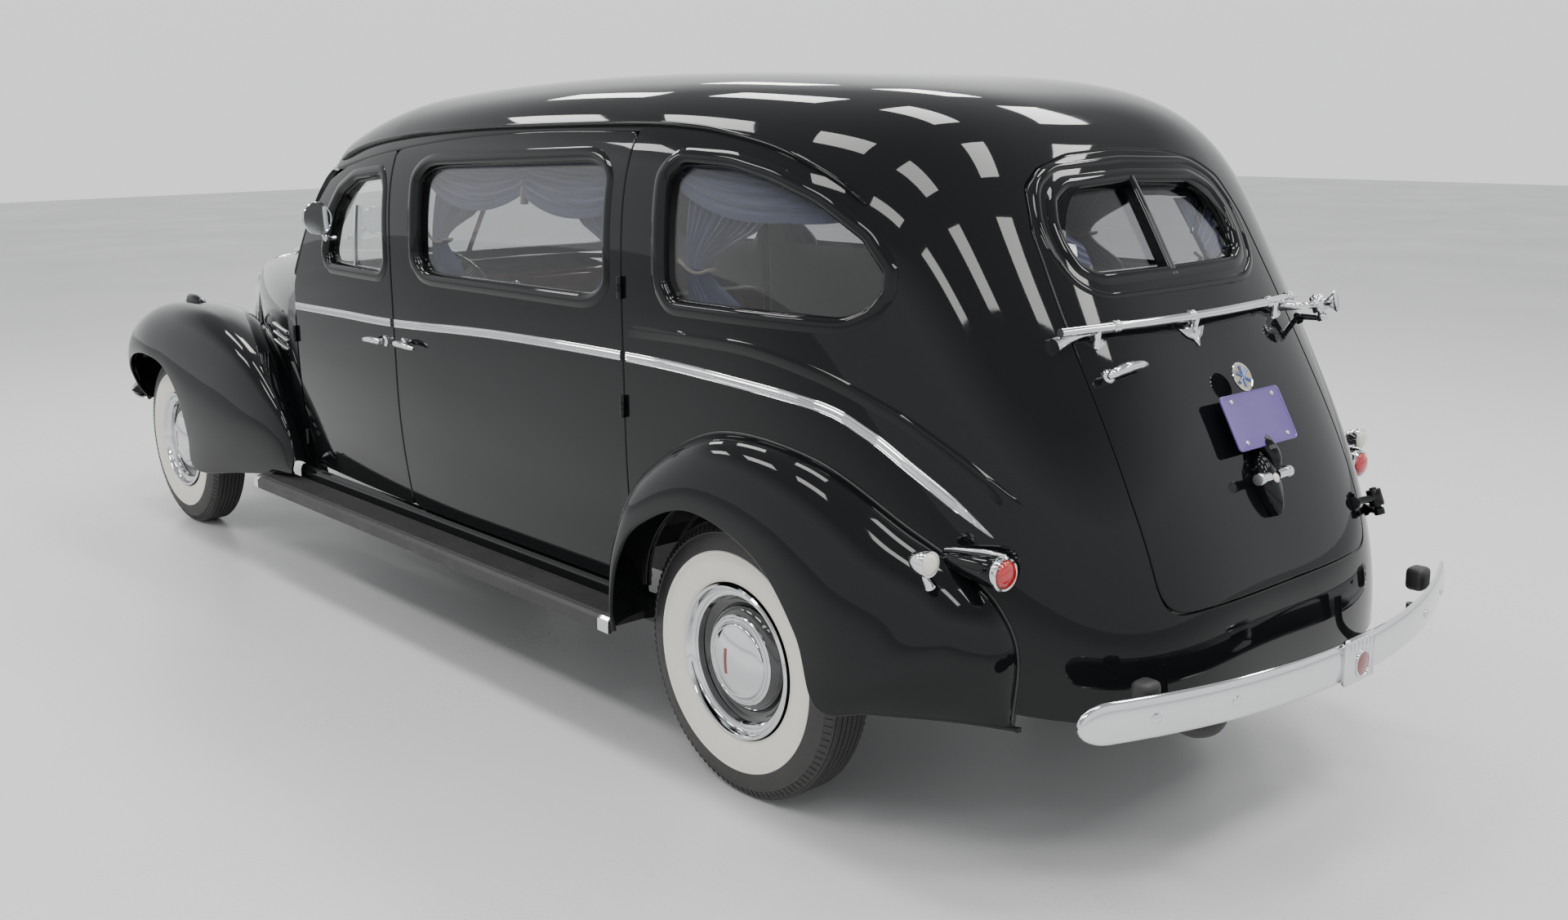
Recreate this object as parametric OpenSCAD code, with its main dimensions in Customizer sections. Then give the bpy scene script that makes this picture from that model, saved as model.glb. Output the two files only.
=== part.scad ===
// Hearse: long wheelbase coach body on a separate frame, with two doors a side and a rear door.
// Front faces -Y, the left side is +X, and the ground is z = 0 midway between the bumpers.

/* [Chassis] */
// Distance between the axles
wheelbase = 3790; // [3200:10:4560]
// Rear axle, measured back from the middle of the car
rear_axle_y = 1675; // [1600:5:1750]
// Distance between the middles of the front tyres
track_front = 1495; // [1440:5:1540]
// Distance between the middles of the rear tyres
track_rear = 1525; // [1460:5:1560]

/* [Wheels] */
// Outer diameter of a tyre
tyre_d = 737; // [640:1:760]
// Width of a tyre at its sidewalls
tyre_w = 165; // [140:1:180]
// Diameter of the rim at the tyre's bead
rim_d = 406; // [380:1:420]

/* [Body] */
// Half width of the body at the belt
body_half = 845; // [760:5:900]
// Height of the roof over the ground
roof_z = 1865; // [1700:5:2000]
// Thickness of doors and body walls
wall = 60; // [40:1:70]
// Gap round each door
door_gap = 5; // [4:0.5:8]
// How far a door's edge slopes in from its outer skin to its inner one
edge_taper = 20; // [12:1:24]
// Thickness of the window glass
glass_t = 6; // [4:0.5:8]
// How deep the glass sits behind the outer skin
glass_depth = 26; // [15:1:40]
// Thickness of fender and hood sheet, with its stiffening
sheet = 10; // [6:1:14]

/* [Doors] */
// Length of a front door along the car
front_door_len = 850; // [760:5:900]
// Half width of the rear door
rear_door_half = 442; // [380:1:460]
// Height of the rear door's lower edge
rear_door_low = 645; // [620:5:700]
// Height of the front and side doors' lower edge
sill_z = 455; // [430:5:480]

/* [Bumpers] */
// Radius of a bumper's bow in plan
bumper_bow_r = 1870; // [1700:10:2400]
// Half span of a bumper
bumper_half = 800; // [700:10:850]
// Height of a bumper's middle
bumper_z = 500; // [450:5:540]
// Height of a bumper's face
bumper_h = 96; // [80:1:110]

/* [Hidden] */
$fn = 64;
clear = 0.3;
tyre_r = tyre_d / 2;
axle_z = tyre_r;
front_axle_y = rear_axle_y - wheelbase;

// Lines across the car: cowl, door posts, start of the rear sweep and the rear face at its foot.
cowl_y = front_axle_y + 1215;
post_y = cowl_y + front_door_len;
rear_post_y = rear_axle_y - 430;
sweep_y = rear_axle_y - 375;
tail_y = rear_axle_y + 1080;

// The body's form: a boxy section with a crowned roof that sweeps down into a sloping tail.
belt_z = 1000;
foot_z = 450;
crown_y = rear_axle_y - 775;
nose_taper = 47;
tuck = 40;
side_power = 5;
tail_power = 3.7;
edge_power = 6;
tail_drop = 560;
tail_wave = 1500;

function clamp(v, low, high) = min(max(v, low), high);
function smooth(t) = let (s = clamp(t, 0, 1)) s * s * (3 - 2 * s);
function mix(a, b, t) = a + (b - a) * t;
function half_width(y, z) = body_half
    - nose_taper * pow(max(0, (post_y + 350 - y) / 1200), 2)
    - tuck * pow(clamp((900 - z) / 450, 0, 1.2), 2) * clamp((rear_axle_y - 75 - y) / 400, 0, 1);
function roof_line(y) = roof_z - 38.5 * pow((y - crown_y) / 1000, 2)
    - 60 * pow(max(0, (post_y - 50 - y) / 500), 2);
function tail_line(z) = tail_y
    - tail_drop * (1 - cos(180 * clamp((z - foot_z) / tail_wave, 0, 1))) / 2;
function power_at(y) = side_power - (side_power - tail_power) * smooth((y - sweep_y + 100) / 900);
// Half width of the form at y and z, with its surface moved in by t.
function form_x(y, z, t = 0) =
    let (
        up = max(0, (z - belt_z) / (roof_line(y) - belt_z - t)),
        back = max(0, (y - sweep_y) / (tail_line(z) - sweep_y - t)),
        g = pow(pow(up, edge_power) + pow(back, edge_power), 1 / edge_power),
        p = power_at(y)
    )
    g >= 1 ? 0 : (half_width(y, z) - t) * pow(1 - pow(g, p), 1 / p);
// Farthest back y at which the form is still wider than x, and highest z likewise, by halving.
function form_y(x, z, t = 0, low = sweep_y, high = tail_y + 50, k = 22) =
    k == 0 ? low :
    let (m = (low + high) / 2)
    form_x(m, z, t) > abs(x) + 0.001 ? form_y(x, z, t, m, high, k - 1) : form_y(x, z, t, low, m, k - 1);
function form_z(x, y, t = 0, low = 1000, high = roof_z + 20, k = 22) =
    k == 0 ? low :
    let (m = (low + high) / 2)
    form_x(y, m, t) > abs(x) + 0.001 ? form_z(x, y, t, m, high, k - 1) : form_z(x, y, t, low, m, k - 1);
// Points round the tail: a is millimetres ahead of the sweep while negative, then 12 mm a degree.
mm_per_degree = 12;
function tail_ray(a, z, t, low = 0, high = 1.4, k = 22) =
    let (ang = a / mm_per_degree, m = (low + high) / 2)
    k == 0 ? low :
    let (
        x = (body_half - t) * m * cos(ang),
        y = sweep_y + (tail_line(z) - t - sweep_y) * m * sin(ang)
    )
    form_x(y, z, t) > x ? tail_ray(a, z, t, m, high, k - 1) : tail_ray(a, z, t, low, m, k - 1);
function wrap_point(a, z, t = 0) =
    a <= 0 ? [form_x(sweep_y + a, z, t), sweep_y + a, z] :
    let (m = tail_ray(a, z, t), ang = a / mm_per_degree)
    [(body_half - t) * m * cos(ang), sweep_y + (tail_line(z) - t - sweep_y) * m * sin(ang), z];
// The wrap distance of a point known by y, or by x, at a height.
function wrap_of_y(y, z) = y < sweep_y ? y - sweep_y :
    mm_per_degree * atan2((y - sweep_y) / (tail_line(z) - sweep_y), form_x(y, z) / body_half);
function wrap_of_x(x, z) =
    mm_per_degree * atan2((form_y(x, z) - sweep_y) / (tail_line(z) - sweep_y), x / body_half);
// Upper edge of the doors, which is also the roof's lower edge as far as the rear post.
function door_top(y) = roof_z - 153 - 60 * pow(min(0, (y - crown_y - 100) / 1000), 2);

// Evenly spaced points along a polyline, without its last point.
function lengths(p, i = 0, acc = [0]) =
    i >= len(p) - 1 ? acc : lengths(p, i + 1, concat(acc, [acc[i] + norm(p[i + 1] - p[i])]));
function along(p, s, l, i = 0) =
    (i >= len(p) - 2 || s <= l[i + 1]) ? mix(p[i], p[i + 1], (s - l[i]) / (l[i + 1] - l[i])) : along(p,
        s, l, i + 1);
function path(p, n) = let (l = lengths(p)) [for (i = [0:n - 1]) along(p, l[len(l) - 1] * i / n, l)];
// A smooth curve through control points, at t from 0 to 1.
function curve(p, t) =
    let (
        n = len(p) - 1,
        s = min(t * n, n - 0.0001),
        i = floor(s),
        f = s - i,
        a = p[max(i - 1, 0)],
        b = p[i],
        c = p[i + 1],
        d = p[min(i + 2, n)]
    )
    0.5 * ((2 * b) + (c - a) * f + (2 * a - 5 * b + 4 * c - d) * f * f + (3 * b - a - 3 * c + d) * f * f
        * f);
function curve_points(p, n) = [for (i = [0:n]) curve(p, i / n)];

// Closed solids from grids of points.
function flat(g) = [for (row = g) for (p = row) p];
function quad(a, b, c, d) = [[a, b, c], [a, c, d]];
function slab_faces(rows, cols, ring) =
    let (n = rows * cols)
    concat(
        [for (i = [0:rows - 2], j = [0:cols - (ring ? 1 : 2)])
            let (k = (j + 1) % cols, a = i * cols + j, b = i * cols + k, c = b + cols, d = a + cols)
            each concat(quad(a, b, c, d), quad(n + a, n + d, n + c, n + b))],
        [for (j = [0:cols - (ring ? 1 : 2)])
            let (k = (j + 1) % cols, d = (rows - 1) * cols + j, c = (rows - 1) * cols + k)
            each concat(quad(k, j, n + j, n + k), quad(d, c, n + c, n + d))],
        ring ? [] : [for (i = [0:rows - 2])
            let (a = i * cols, d = a + cols, b = a + cols - 1, c = b + cols)
            each concat(quad(a, d, n + d, n + a), quad(c, b, n + b, n + c))]
    );
module slab(outer, inner, ring = false, flip = false) {
    f = slab_faces(len(outer), len(outer[0]), ring);
    polyhedron(
        points = concat(flat(outer), flat(inner)),
        faces = flip ? [for (t = f) [t[2], t[1], t[0]]] : f
    );
}
// A sheet thickened by t on the side away from its normal.
function unit(v) = v / norm(v);
function grid_normal(g, i, j) =
    let (
        r = len(g) - 1,
        c = len(g[0]) - 1,
        u = g[min(i + 1, r)][j] - g[max(i - 1, 0)][j],
        v = g[i][min(j + 1, c)] - g[i][max(j - 1, 0)]
    )
    unit(cross(u, v));
function moved(g, t) = [for (i = [0:len(g) - 1]) [for (j = [0:len(g[0]) - 1]) g[i][j] + t *
    grid_normal(g, i, j)]];
module sheet_solid(g, t, flip = false) {
    slab(g, moved(g, t), flip = flip);
}
// Loops between two outlines of equal count.
function loft(a, b, n) = [for (i = [0:n]) [for (k = [0:len(a) - 1]) mix(a[k], b[k], i / n)]];
function shrink(loop, by) =
    let (c = [for (k = [0:1]) (max([for (p = loop) p[k]]) + min([for (p = loop) p[k]])) / 2])
    [for (p = loop) p - by * unit(p - c)];
// A panel of a side door or quarter: outline and window in y and z.
module side_panel(outline, window, rows, depth) {
    rings = loft(outline, window, rows);
    inner_rings = loft(shrink(outline, edge_taper), window, rows);
    slab(
        [for (r = rings) [for (p = r) [form_x(p[0], p[1]), p[0], p[1]]]],
        [for (r = inner_rings) [for (p = r) [form_x(p[0], p[1], depth), p[0], p[1]]]],
        ring = true
    );
}
// A flat or gently curved pane that fills a window, as a stack of shrinking loops.
module pane(loops, skin, near, far) {
    n = len(loops);
    m = len(loops[0]);
    c = [for (k = [0:1]) (max([for (p = loops[0]) p[k]]) + min([for (p = loops[0]) p[k]])) / 2];
    outer = concat([for (l = loops) for (p = l) skin(p[0], p[1], near)], [skin(c[0], c[1], near)]);
    inner = concat([for (l = loops) for (p = l) skin(p[0], p[1], far)], [skin(c[0], c[1], far)]);
    s = n * m + 1;
    polyhedron(
        points = concat(outer, inner),
        faces = concat(
            [for (i = [0:n - 2], j = [0:m - 1])
                let (k = (j + 1) % m, a = i * m + j, b = i * m + k)
                each concat(quad(a, b, b + m, a + m), quad(s + a, s + a + m, s + b + m, s + b))],
            [for (j = [0:m - 1])
                let (k = (j + 1) % m, a = (n - 1) * m)
                each [[a + j, a + k, s - 1], [s + a + k, s + a + j, 2 * s - 1]]],
            [for (j = [0:m - 1]) let (k = (j + 1) % m) each quad(k, j, s + j, s + k)]
        )
    );
}
module both_sides() {
    children();
    mirror([1, 0, 0]) children();
}

// Outlines, each with its four sides in the same order as its window's.
front_door_outline = concat(
    path([[post_y - door_gap / 2, sill_z], [post_y - door_gap / 2, door_top(post_y) - door_gap]], 10),
    path([
        [post_y - door_gap / 2, door_top(post_y) - door_gap],
        [cowl_y + 640, door_top(cowl_y + 640) - door_gap],
        [cowl_y + 480, door_top(cowl_y + 480) - door_gap - 4],
        [cowl_y + 340, 1532]
    ], 8),
    path([[cowl_y + 340, 1532], [cowl_y + 172, 1372], [cowl_y + 82, 1250], [cowl_y + 5, 1140],
        [cowl_y + 5, sill_z]], 10),
    path([[cowl_y + 5, sill_z], [post_y - door_gap / 2, sill_z]], 8)
);
front_window = concat(
    path([[post_y - 45, 1275], [post_y - 45, 1520]], 10),
    path([[post_y - 45, 1520], [post_y - 75, 1568], [cowl_y + 560, 1548], [cowl_y + 450, 1500]], 8),
    path([[cowl_y + 450, 1500], [cowl_y + 380, 1430], [cowl_y + 318, 1275]], 10),
    path([[cowl_y + 318, 1275], [cowl_y + 345, 1235], [post_y - 75, 1235], [post_y - 45, 1275]], 8)
);
side_door_outline = concat(
    path([[rear_post_y - door_gap / 2, sill_z], [rear_post_y - door_gap / 2,
        door_top(rear_post_y) - door_gap]], 10),
    path([for (i = [0:6]) let (y = mix(rear_post_y - door_gap / 2, post_y + door_gap / 2, i / 6)) [y,
        door_top(y) - door_gap]], 12),
    path([[post_y + door_gap / 2, door_top(post_y) - door_gap], [post_y + door_gap / 2, sill_z]], 10),
    path([[post_y + door_gap / 2, sill_z], [rear_post_y - door_gap / 2, sill_z]], 12)
);
side_window = concat(
    path([[rear_post_y - 80, 1300], [rear_post_y - 80, 1590]], 10),
    path([[rear_post_y - 80, 1590], [rear_post_y - 130, 1642], [post_y + 210, 1606], [post_y + 160,
        1560]], 12),
    path([[post_y + 160, 1560], [post_y + 160, 1295]], 10),
    path([[post_y + 160, 1295], [post_y + 205, 1250], [rear_post_y - 130, 1255], [rear_post_y - 80,
        1300]], 12)
);
// The quarter panel is drawn in wrap distance and height; its rear edge is a fixed distance round the tail.
corner_a = 640;
seam_z = door_top(crown_y + 200);
arch_r = tyre_r + 62;
arch_low = 420;
function arch_point(a) = [rear_axle_y - sweep_y - arch_r * cos(a), axle_z + arch_r * sin(a)];
function arch_wrap(a) = let (p = arch_point(a)) [wrap_of_y(p[0] + sweep_y, p[1]), p[1]];
arch_start = asin((arch_low - axle_z + 40) / arch_r);
quarter_outline = concat(
    path([[corner_a, arch_low], [corner_a, seam_z]], 14),
    path([[corner_a, seam_z], [rear_post_y + door_gap / 2 - sweep_y, seam_z]], 14),
    path([[rear_post_y + door_gap / 2 - sweep_y, seam_z], [rear_post_y + door_gap / 2 - sweep_y,
        axle_z + arch_r * sin(arch_start)]], 10),
    path(concat([[rear_post_y + door_gap / 2 - sweep_y, axle_z + arch_r * sin(arch_start)]],
        [for (a = [arch_start:14:180 - arch_start]) arch_wrap(a)], [arch_wrap(180 - arch_start)],
            [[corner_a, arch_low]]), 22)
);
function q_pt(y, z) = [wrap_of_y(y, z), z];
quarter_window = concat(
    path([q_pt(sweep_y + 800, 1305), q_pt(sweep_y + 828, 1350), q_pt(sweep_y + 822, 1400),
        q_pt(sweep_y + 760, 1475)], 14),
    path([q_pt(sweep_y + 760, 1475), q_pt(sweep_y + 630, 1555), q_pt(sweep_y + 480, 1605),
        q_pt(sweep_y + 330, 1635),
        q_pt(sweep_y + 140, 1642), q_pt(sweep_y + 95, 1600)], 14),
    path([q_pt(sweep_y + 95, 1600), q_pt(sweep_y + 105, 1325)], 10),
    path([q_pt(sweep_y + 105, 1325), q_pt(sweep_y + 150, 1272), q_pt(sweep_y + 740, 1275),
        q_pt(sweep_y + 800, 1305)], 22)
);
module quarter_panel() {
    rings = loft(quarter_outline, quarter_window, 6);
    slab(
        [for (r = rings) [for (p = r) wrap_point(p[0], p[1])]],
        [for (r = rings) [for (p = r) wrap_point(p[0], p[1], wall)]],
        ring = true,
        flip = false
    );
}
// The rear door in x and z, left half then right half.
rear_door_top = 1652;
function door_side(gap) = [
    [rear_door_half + gap - 60, rear_door_low - gap], [rear_door_half + gap - 16, rear_door_low + 17 - gap],
    [rear_door_half + gap, rear_door_low + 60], [rear_door_half + gap + 6, 900], [rear_door_half + gap,
        1300],
    [rear_door_half + gap - 12, 1470], [rear_door_half + gap - 50, 1572 + gap],
        [rear_door_half + gap - 130, 1618 + gap],
    [200, rear_door_top - 10 + gap], [0, rear_door_top + gap]
];
function mirrored(p) = [for (i = [len(p) - 1:-1:0]) [-p[i][0], p[i][1]]];
function rear_loop(side, low, n, m) = concat(
    path(concat(side, mirrored(side)), n),
    path([[-side[0][0], side[0][1]], [0, low], side[0]], m)
);
rear_door_outline = rear_loop(door_side(0), rear_door_low, 44, 14);
rear_window_side = [
    [280, 1368], [328, 1392], [345, 1440], [345, 1490], [318, 1545], [260, 1572], [0, 1582]
];
rear_window = rear_loop(rear_window_side, 1366, 44, 14);
module tail_panel(outline, window, rows, depth, taper = 0) {
    rings = loft(outline, window, rows);
    inner_rings = loft(shrink(outline, taper), window, rows);
    slab(
        [for (r = rings) [for (p = r) [p[0], form_y(p[0], p[1]), p[1]]]],
        [for (r = inner_rings) [for (p = r) [p[0], form_y(p[0], p[1], depth), p[1]]]],
        ring = true,
        flip = true
    );
}

module roof_panel() {
    rows = 20;
    cols = 24;
    front_edge = cowl_y + 368;
    rear_edge = wrap_point(corner_a, seam_z)[1];
    function lower(y) = y < crown_y + 200 ? door_top(y) : seam_z;
    function seam_x(t) = let (y = mix(front_edge, rear_edge, t)) form_x(y, lower(y));
    function row_y(s, t) = mix(
        front_edge - 70 * (1 - s * s),
        form_y(s * seam_x(1), seam_z),
        t
    );
    function point(i, j, depth) =
        let (
            t = i / rows,
            s = sin(90 * (2 * j / cols - 1)),
            x = s * seam_x(t),
            y = row_y(s, t),
            edge = (j == 0 || j == cols || i == rows)
        )
        !edge && depth == 0 ? [x, y, max(form_z(x, y), lower(y))] :
        !edge ? let (z = max(form_z(x, y), lower(y))) [x * (1 - depth / body_half), y,
            max(z - depth * 0.9, lower(y) + 3)] :
        i == rows ? (depth == 0 ? [x, y, seam_z] : [x * (1 - depth / 700), form_y(x, seam_z, depth),
            seam_z]) :
        let (ye = mix(front_edge, rear_edge, t)) [sign(s) * form_x(ye, lower(ye), depth), ye, lower(ye)];
    color("black")
        slab(
            [for (i = [0:rows]) [for (j = [0:cols]) point(i, j, 0)]],
            [for (i = [0:rows]) [for (j = [0:cols]) point(i, j, wall)]],
            flip = false
        );
}
seam_clear = 0.8;
module rear_body_frame() {
    edge = corner_a + seam_clear;
    function side(t) = [for (k = [0:12]) let (z = mix(arch_low, seam_z - clear,
        k / 12)) [wrap_point(edge, z, t)[0], z]];
    function outline(t) = let (s = side(t), x = s[12][0]) concat(
        s,
        [for (k = [1:17]) [x * cos(10 * k), seam_z - clear]],
        mirrored(s),
        [for (k = [1:14]) [mix(-s[0][0], s[0][0], k / 15), arch_low]]
    );
    outer = outline(0);
    inner = outline(wall);
    hole = rear_loop(door_side(door_gap), rear_door_low - door_gap, 43, 14);
    color("black") slab(
        [for (r = loft(outer, hole, 4)) [for (p = r) [p[0], form_y(p[0], p[1]), p[1]]]],
        [for (r = loft(inner, hole, 4)) [for (p = r) [p[0], form_y(p[0], p[1], wall), p[1]]]],
        ring = true,
        flip = true
    );
}
module quarter_panel_left() {
    color("black") quarter_panel();
}
module quarter_panel_right() {
    color("black") mirror([1, 0, 0]) quarter_panel();
}
module rear_door() {
    color("black") tail_panel(rear_door_outline, rear_window, 5, wall, edge_taper);
}
module front_door_left() {
    color("black") side_panel(front_door_outline, front_window, 5, wall);
}
module front_door_right() {
    mirror([1, 0, 0]) front_door_left();
}
module side_door_left() {
    color("black") side_panel(side_door_outline, side_window, 5, wall);
}
module side_door_right() {
    mirror([1, 0, 0]) side_door_left();
}
function pane_loops(window) = let (l = shrink(window, clear), n = shrink(window, 60)) [l, n];
module front_door_glass_left() {
    color("gray") pane(pane_loops(front_window), function(y, z, d) [form_x(y, z, d), y, z], glass_depth,
        glass_depth + glass_t);
}
module front_door_glass_right() {
    mirror([1, 0, 0]) front_door_glass_left();
}
module side_door_glass_left() {
    color("gray") pane(pane_loops(side_window), function(y, z, d) [form_x(y, z, d), y, z], glass_depth,
        glass_depth + glass_t);
}
module side_door_glass_right() {
    mirror([1, 0, 0]) side_door_glass_left();
}
module quarter_glass() {
    color("gray") both_sides()
        pane(pane_loops(quarter_window), function(a, z, d) wrap_point(a, z, d), glass_depth,
            glass_depth + glass_t);
}
module rear_door_glass() {
    color("gray") mirror([1, 0, 0])
        pane(pane_loops(rear_window), function(x, z, d) [x, form_y(x, z, d), z], glass_depth,
            glass_depth + glass_t);
}

// Windshield: two panes in a shallow vee that lean back to the roof's header.
screen_foot_z = 1165;
screen_lean = 0.76;
screen_vee = 100;
screen_half = 735;
screen_wall = 34;
function screen_y(x, z) = cowl_y - 28 + (z - screen_foot_z) * screen_lean - screen_vee * pow(1 -
    pow(abs(x) / screen_half, 1.6), 1);
function screen_side(z) = form_x(screen_y(screen_half, z) + 2, z) - 2;
screen_top_z = 1655;
screen_edge = concat(
    [for (k = [0:8]) let (z = mix(screen_foot_z, screen_top_z - 110, k / 8)) [screen_side(z), z]],
    [[screen_side(screen_top_z - 110) - 60, screen_top_z - 38], [screen_side(screen_top_z - 110) - 200,
        screen_top_z - 8], [0, screen_top_z + 12]]
);
screen_hole_side = [
    [600, screen_foot_z + 42], [662, screen_foot_z + 80], [655, screen_foot_z + 200], [628,
        screen_foot_z + 330],
    [560, screen_foot_z + 405], [400, screen_foot_z + 425], [0, screen_foot_z + 435]
];
screen_outline = rear_loop(screen_edge, screen_foot_z + 8, 44, 14);
screen_hole = rear_loop(screen_hole_side, screen_foot_z + 40, 44, 14);
module windshield_frame() {
    rings = loft(screen_outline, screen_hole, 2);
    color("black") slab(
        [for (r = rings) [for (p = r) [p[0], screen_y(p[0], p[1]), p[1]]]],
        [for (r = rings) [for (p = r) [p[0] * 0.985, screen_y(p[0], p[1]) + screen_wall, p[1]]]],
        ring = true
    );
}
module windshield_glass() {
    color("gray")
        pane([shrink(screen_hole, 1.5), shrink(screen_hole, 120)], function(x, z, d) [x * 0.99,
            screen_y(x, z) + d, z], 12, 12 + glass_t);
}
// Cowl: the body's front hoop, closed by the firewall.
cowl_top_z = screen_foot_z + 2.3;
module cowl() {
    front = cowl_y - 105;
    rear = cowl_y - 5;
    function hoop(y, depth) =
        let (side = [for (k = [0:7]) let (z = mix(sill_z - 50, 1010, k / 7)) [half_width(y,
            z) - depth - (y < rear ? 6 : 0), y, z]],
            w = side[7][0])
        concat(side, [for (k = [1:5]) let (a = 90 * k / 6)
            [w * pow(cos(a), 0.35), y, 1010 + (cowl_top_z - depth * 0.5 - 1010) * pow(sin(a) / sin(75),
                0.7)]]);
    function full(y, depth) = let (h = hoop(y, depth))
        concat(h, [for (i = [len(h) - 1:-1:0]) [-h[i][0], h[i][1], h[i][2]]]);
    color("black")
        slab([full(rear, 0), full(front, 0)], [full(rear, 40), full(front, 40)], flip = true);
}

// Hood: a lid over narrow sides that taper to the nose.
hood_rear_y = cowl_y - 110;
hood_front_y = front_axle_y - 470;
hood_edge_z = 965;
hood_rake = 40;
hood_set_back = 12;
function hood_t(y) = (hood_rear_y - y) / (hood_rear_y - hood_front_y);
function hood_half(y) = let (t = hood_t(y)) mix(768, 235, pow(t, 1.25));
function hood_top(y) = let (t = hood_t(y)) screen_foot_z + 6 - 82 * pow(t, 2.2);
function hood_edge(y) = hood_edge_z - 45 * pow(hood_t(y), 2);
module hood() {
    rows = 12;
    cols = 20;
    g = [for (i = [0:rows])
        let (y = mix(hood_rear_y - hood_set_back, hood_front_y, i / rows), w = hood_half(y),
            h = hood_top(y), e = hood_edge(y))
        [for (j = [0:cols]) let (a = 180 * j / cols, c = cos(a), s = sin(a))
            [w * sign(c) * pow(abs(c), 0.62), y + hood_rake * (1 - s) * hood_t(y), e + (h - e) * pow(s,
                0.72)]]];
    color("black") sheet_solid(g, sheet, flip = true);
}
module hood_sides() {
    rows = 12;
    lower = 640;
    color("black") both_sides() {
        g = [for (i = [0:rows]) let (y = mix(hood_rear_y, hood_front_y, i / rows), w = hood_half(y),
            e = hood_edge(y) - 2.5)
            [for (j = [0:4]) [w - 16 * j / 4, y + hood_rake * hood_t(y), mix(e, lower, j / 4)]]];
        sheet_solid(g, -sheet, flip = true);
    }
}
module grille_shell() {
    rows = 8;
    cols = 16;
    depth = 190;
    g = [for (i = [0:rows]) let (t = i / rows, a = 90 * t,
        w = hood_half(hood_front_y) * pow(cos(a * 0.86), 0.5),
            y = hood_front_y - 5 - depth * sin(a), h = mix(hood_top(hood_front_y), 640,
                1 - pow(cos(a * 0.9), 0.5)))
        [for (j = [0:cols]) let (b = 180 * j / cols, c = cos(b), s = sin(b))
            [w * sign(c) * pow(abs(c), 0.62), y + hood_rake * (1 - s) * (1 - t), 560 + (h - 560) * pow(s,
                0.55)]]];
    color("silver") sheet_solid(g, sheet, flip = true);
}

// Fenders: lofted from an inner seam over a crown to the lip round the wheel.
function blend(a, b, ang) = [
    mix(a[0], b[0], sin(ang)), mix(a[1], b[1], 1 - cos(ang)), mix(a[2], b[2], 1 - cos(ang))
];
lip_x = 948;
ff = front_axle_y;
front_crown = [
    [690, ff - 400, 500], [700, ff - 455, 620], [712, ff - 440, 770], [735, ff - 330, 885], [762,
        ff - 110, 955],
    [785, ff + 200, 975], [800, ff + 500, 945], [815, ff + 800, 845], [822, ff + 1030, 700], [826,
        ff + 1140, 590],
    [828, ff + 1195, 470]
];
front_lip = [
    [800, ff - 415, 490], [845, ff - 412, 560], [890, ff - 365, 660], [925, ff - 215, 735], [lip_x, ff,
        765],
    [lip_x, ff + 200, 735], [lip_x, ff + 350, 620], [lip_x, ff + 425, 470], [lip_x - 6, ff + 470, 335],
    [900, ff + 820, 375], [850, ff + 1195, 425]
];
// The inner edge follows the hood's side, then the cowl's.
function hood_seam(y, z) = [hood_half(max(y, hood_front_y + 60)) + 2, y, z];
front_seam = [
    hood_seam(ff - 400, 500), hood_seam(ff - 455, 620), hood_seam(ff - 430, 740), hood_seam(ff - 310, 800),
    hood_seam(ff - 90, 825), hood_seam(ff + 210, 840), hood_seam(ff + 510, 840), hood_seam(ff + 810, 790),
    [770, ff + 1020, 670], [778, ff + 1120, 570], [780, ff + 1195, 440]
];
module front_fender() {
    n = 26;
    k = curve_points(front_crown, n);
    l = curve_points(front_lip, n);
    s = curve_points(front_seam, n);
    g = [for (i = [0:n]) concat(
        [for (a = [90:-18:18]) blend(k[i], s[i], a)],
        [for (a = [0:15:90]) blend(k[i], l[i], a)])];
    sheet_solid(g, sheet, flip = true);
}
module front_fender_left() {
    color("black") front_fender();
}
module front_fender_right() {
    mirror([1, 0, 0]) front_fender_left();
}
fr = rear_axle_y;
seam_gap = 2.2;
rear_seam = [
    [fr - 424, 400], [fr - 424, 520], [fr - 415, 652], [fr - 310, 826], [fr - 35, 966], [fr + 298, 950],
    [fr + 580, 820], [fr + 715, 741], [fr + 790, 660], [fr + 825, 560], [fr + 815, 405]
];
rear_lip = [
    [lip_x - 20, fr - 405, 372], [lip_x - 8, fr - 398, 450], [lip_x - 2, fr - 355, 590], [lip_x,
        fr - 255, 705],
    [lip_x, fr - 40, 785], [lip_x, fr + 210, 720], [lip_x, fr + 360, 565], [lip_x - 6, fr + 425, 400],
    [905, fr + 560, 415], [820, fr + 730, 425], [706, fr + 835, 400]
];
module rear_fender() {
    n = 26;
    s = [for (p = curve_points(rear_seam, n)) [form_x(p[0] - sheet - 2, p[1]) + seam_gap, p[0], p[1]]];
    l = curve_points(rear_lip, n);
    g = [for (i = [0:n]) [for (a = [0:10:90]) blend(s[i], l[i], a)]];
    sheet_solid(g, sheet, flip = true);
}
module rear_fender_left() {
    color("black") rear_fender();
}
module rear_fender_right() {
    mirror([1, 0, 0]) rear_fender_left();
}

// Running boards: one step each side from fender to fender.
board_top = 402;
board_t = 42;
board_in = 800;
board_out = 925;
module running_boards() {
    front = ff + 1020;
    rear = fr - 430;
    color("dimgray") both_sides()
        translate([0, rear, 0]) rotate([90, 0, 0])
            linear_extrude(rear - front) polygon([
                [board_in, board_top], [board_out - 18, board_top - 6], [board_out, board_top - 22],
                [board_out, board_top - board_t - 6], [board_out - 14, board_top - board_t - 6],
                [board_out - 20, board_top - board_t + 14], [board_in, board_top - board_t + 14]
            ]);
}
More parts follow.
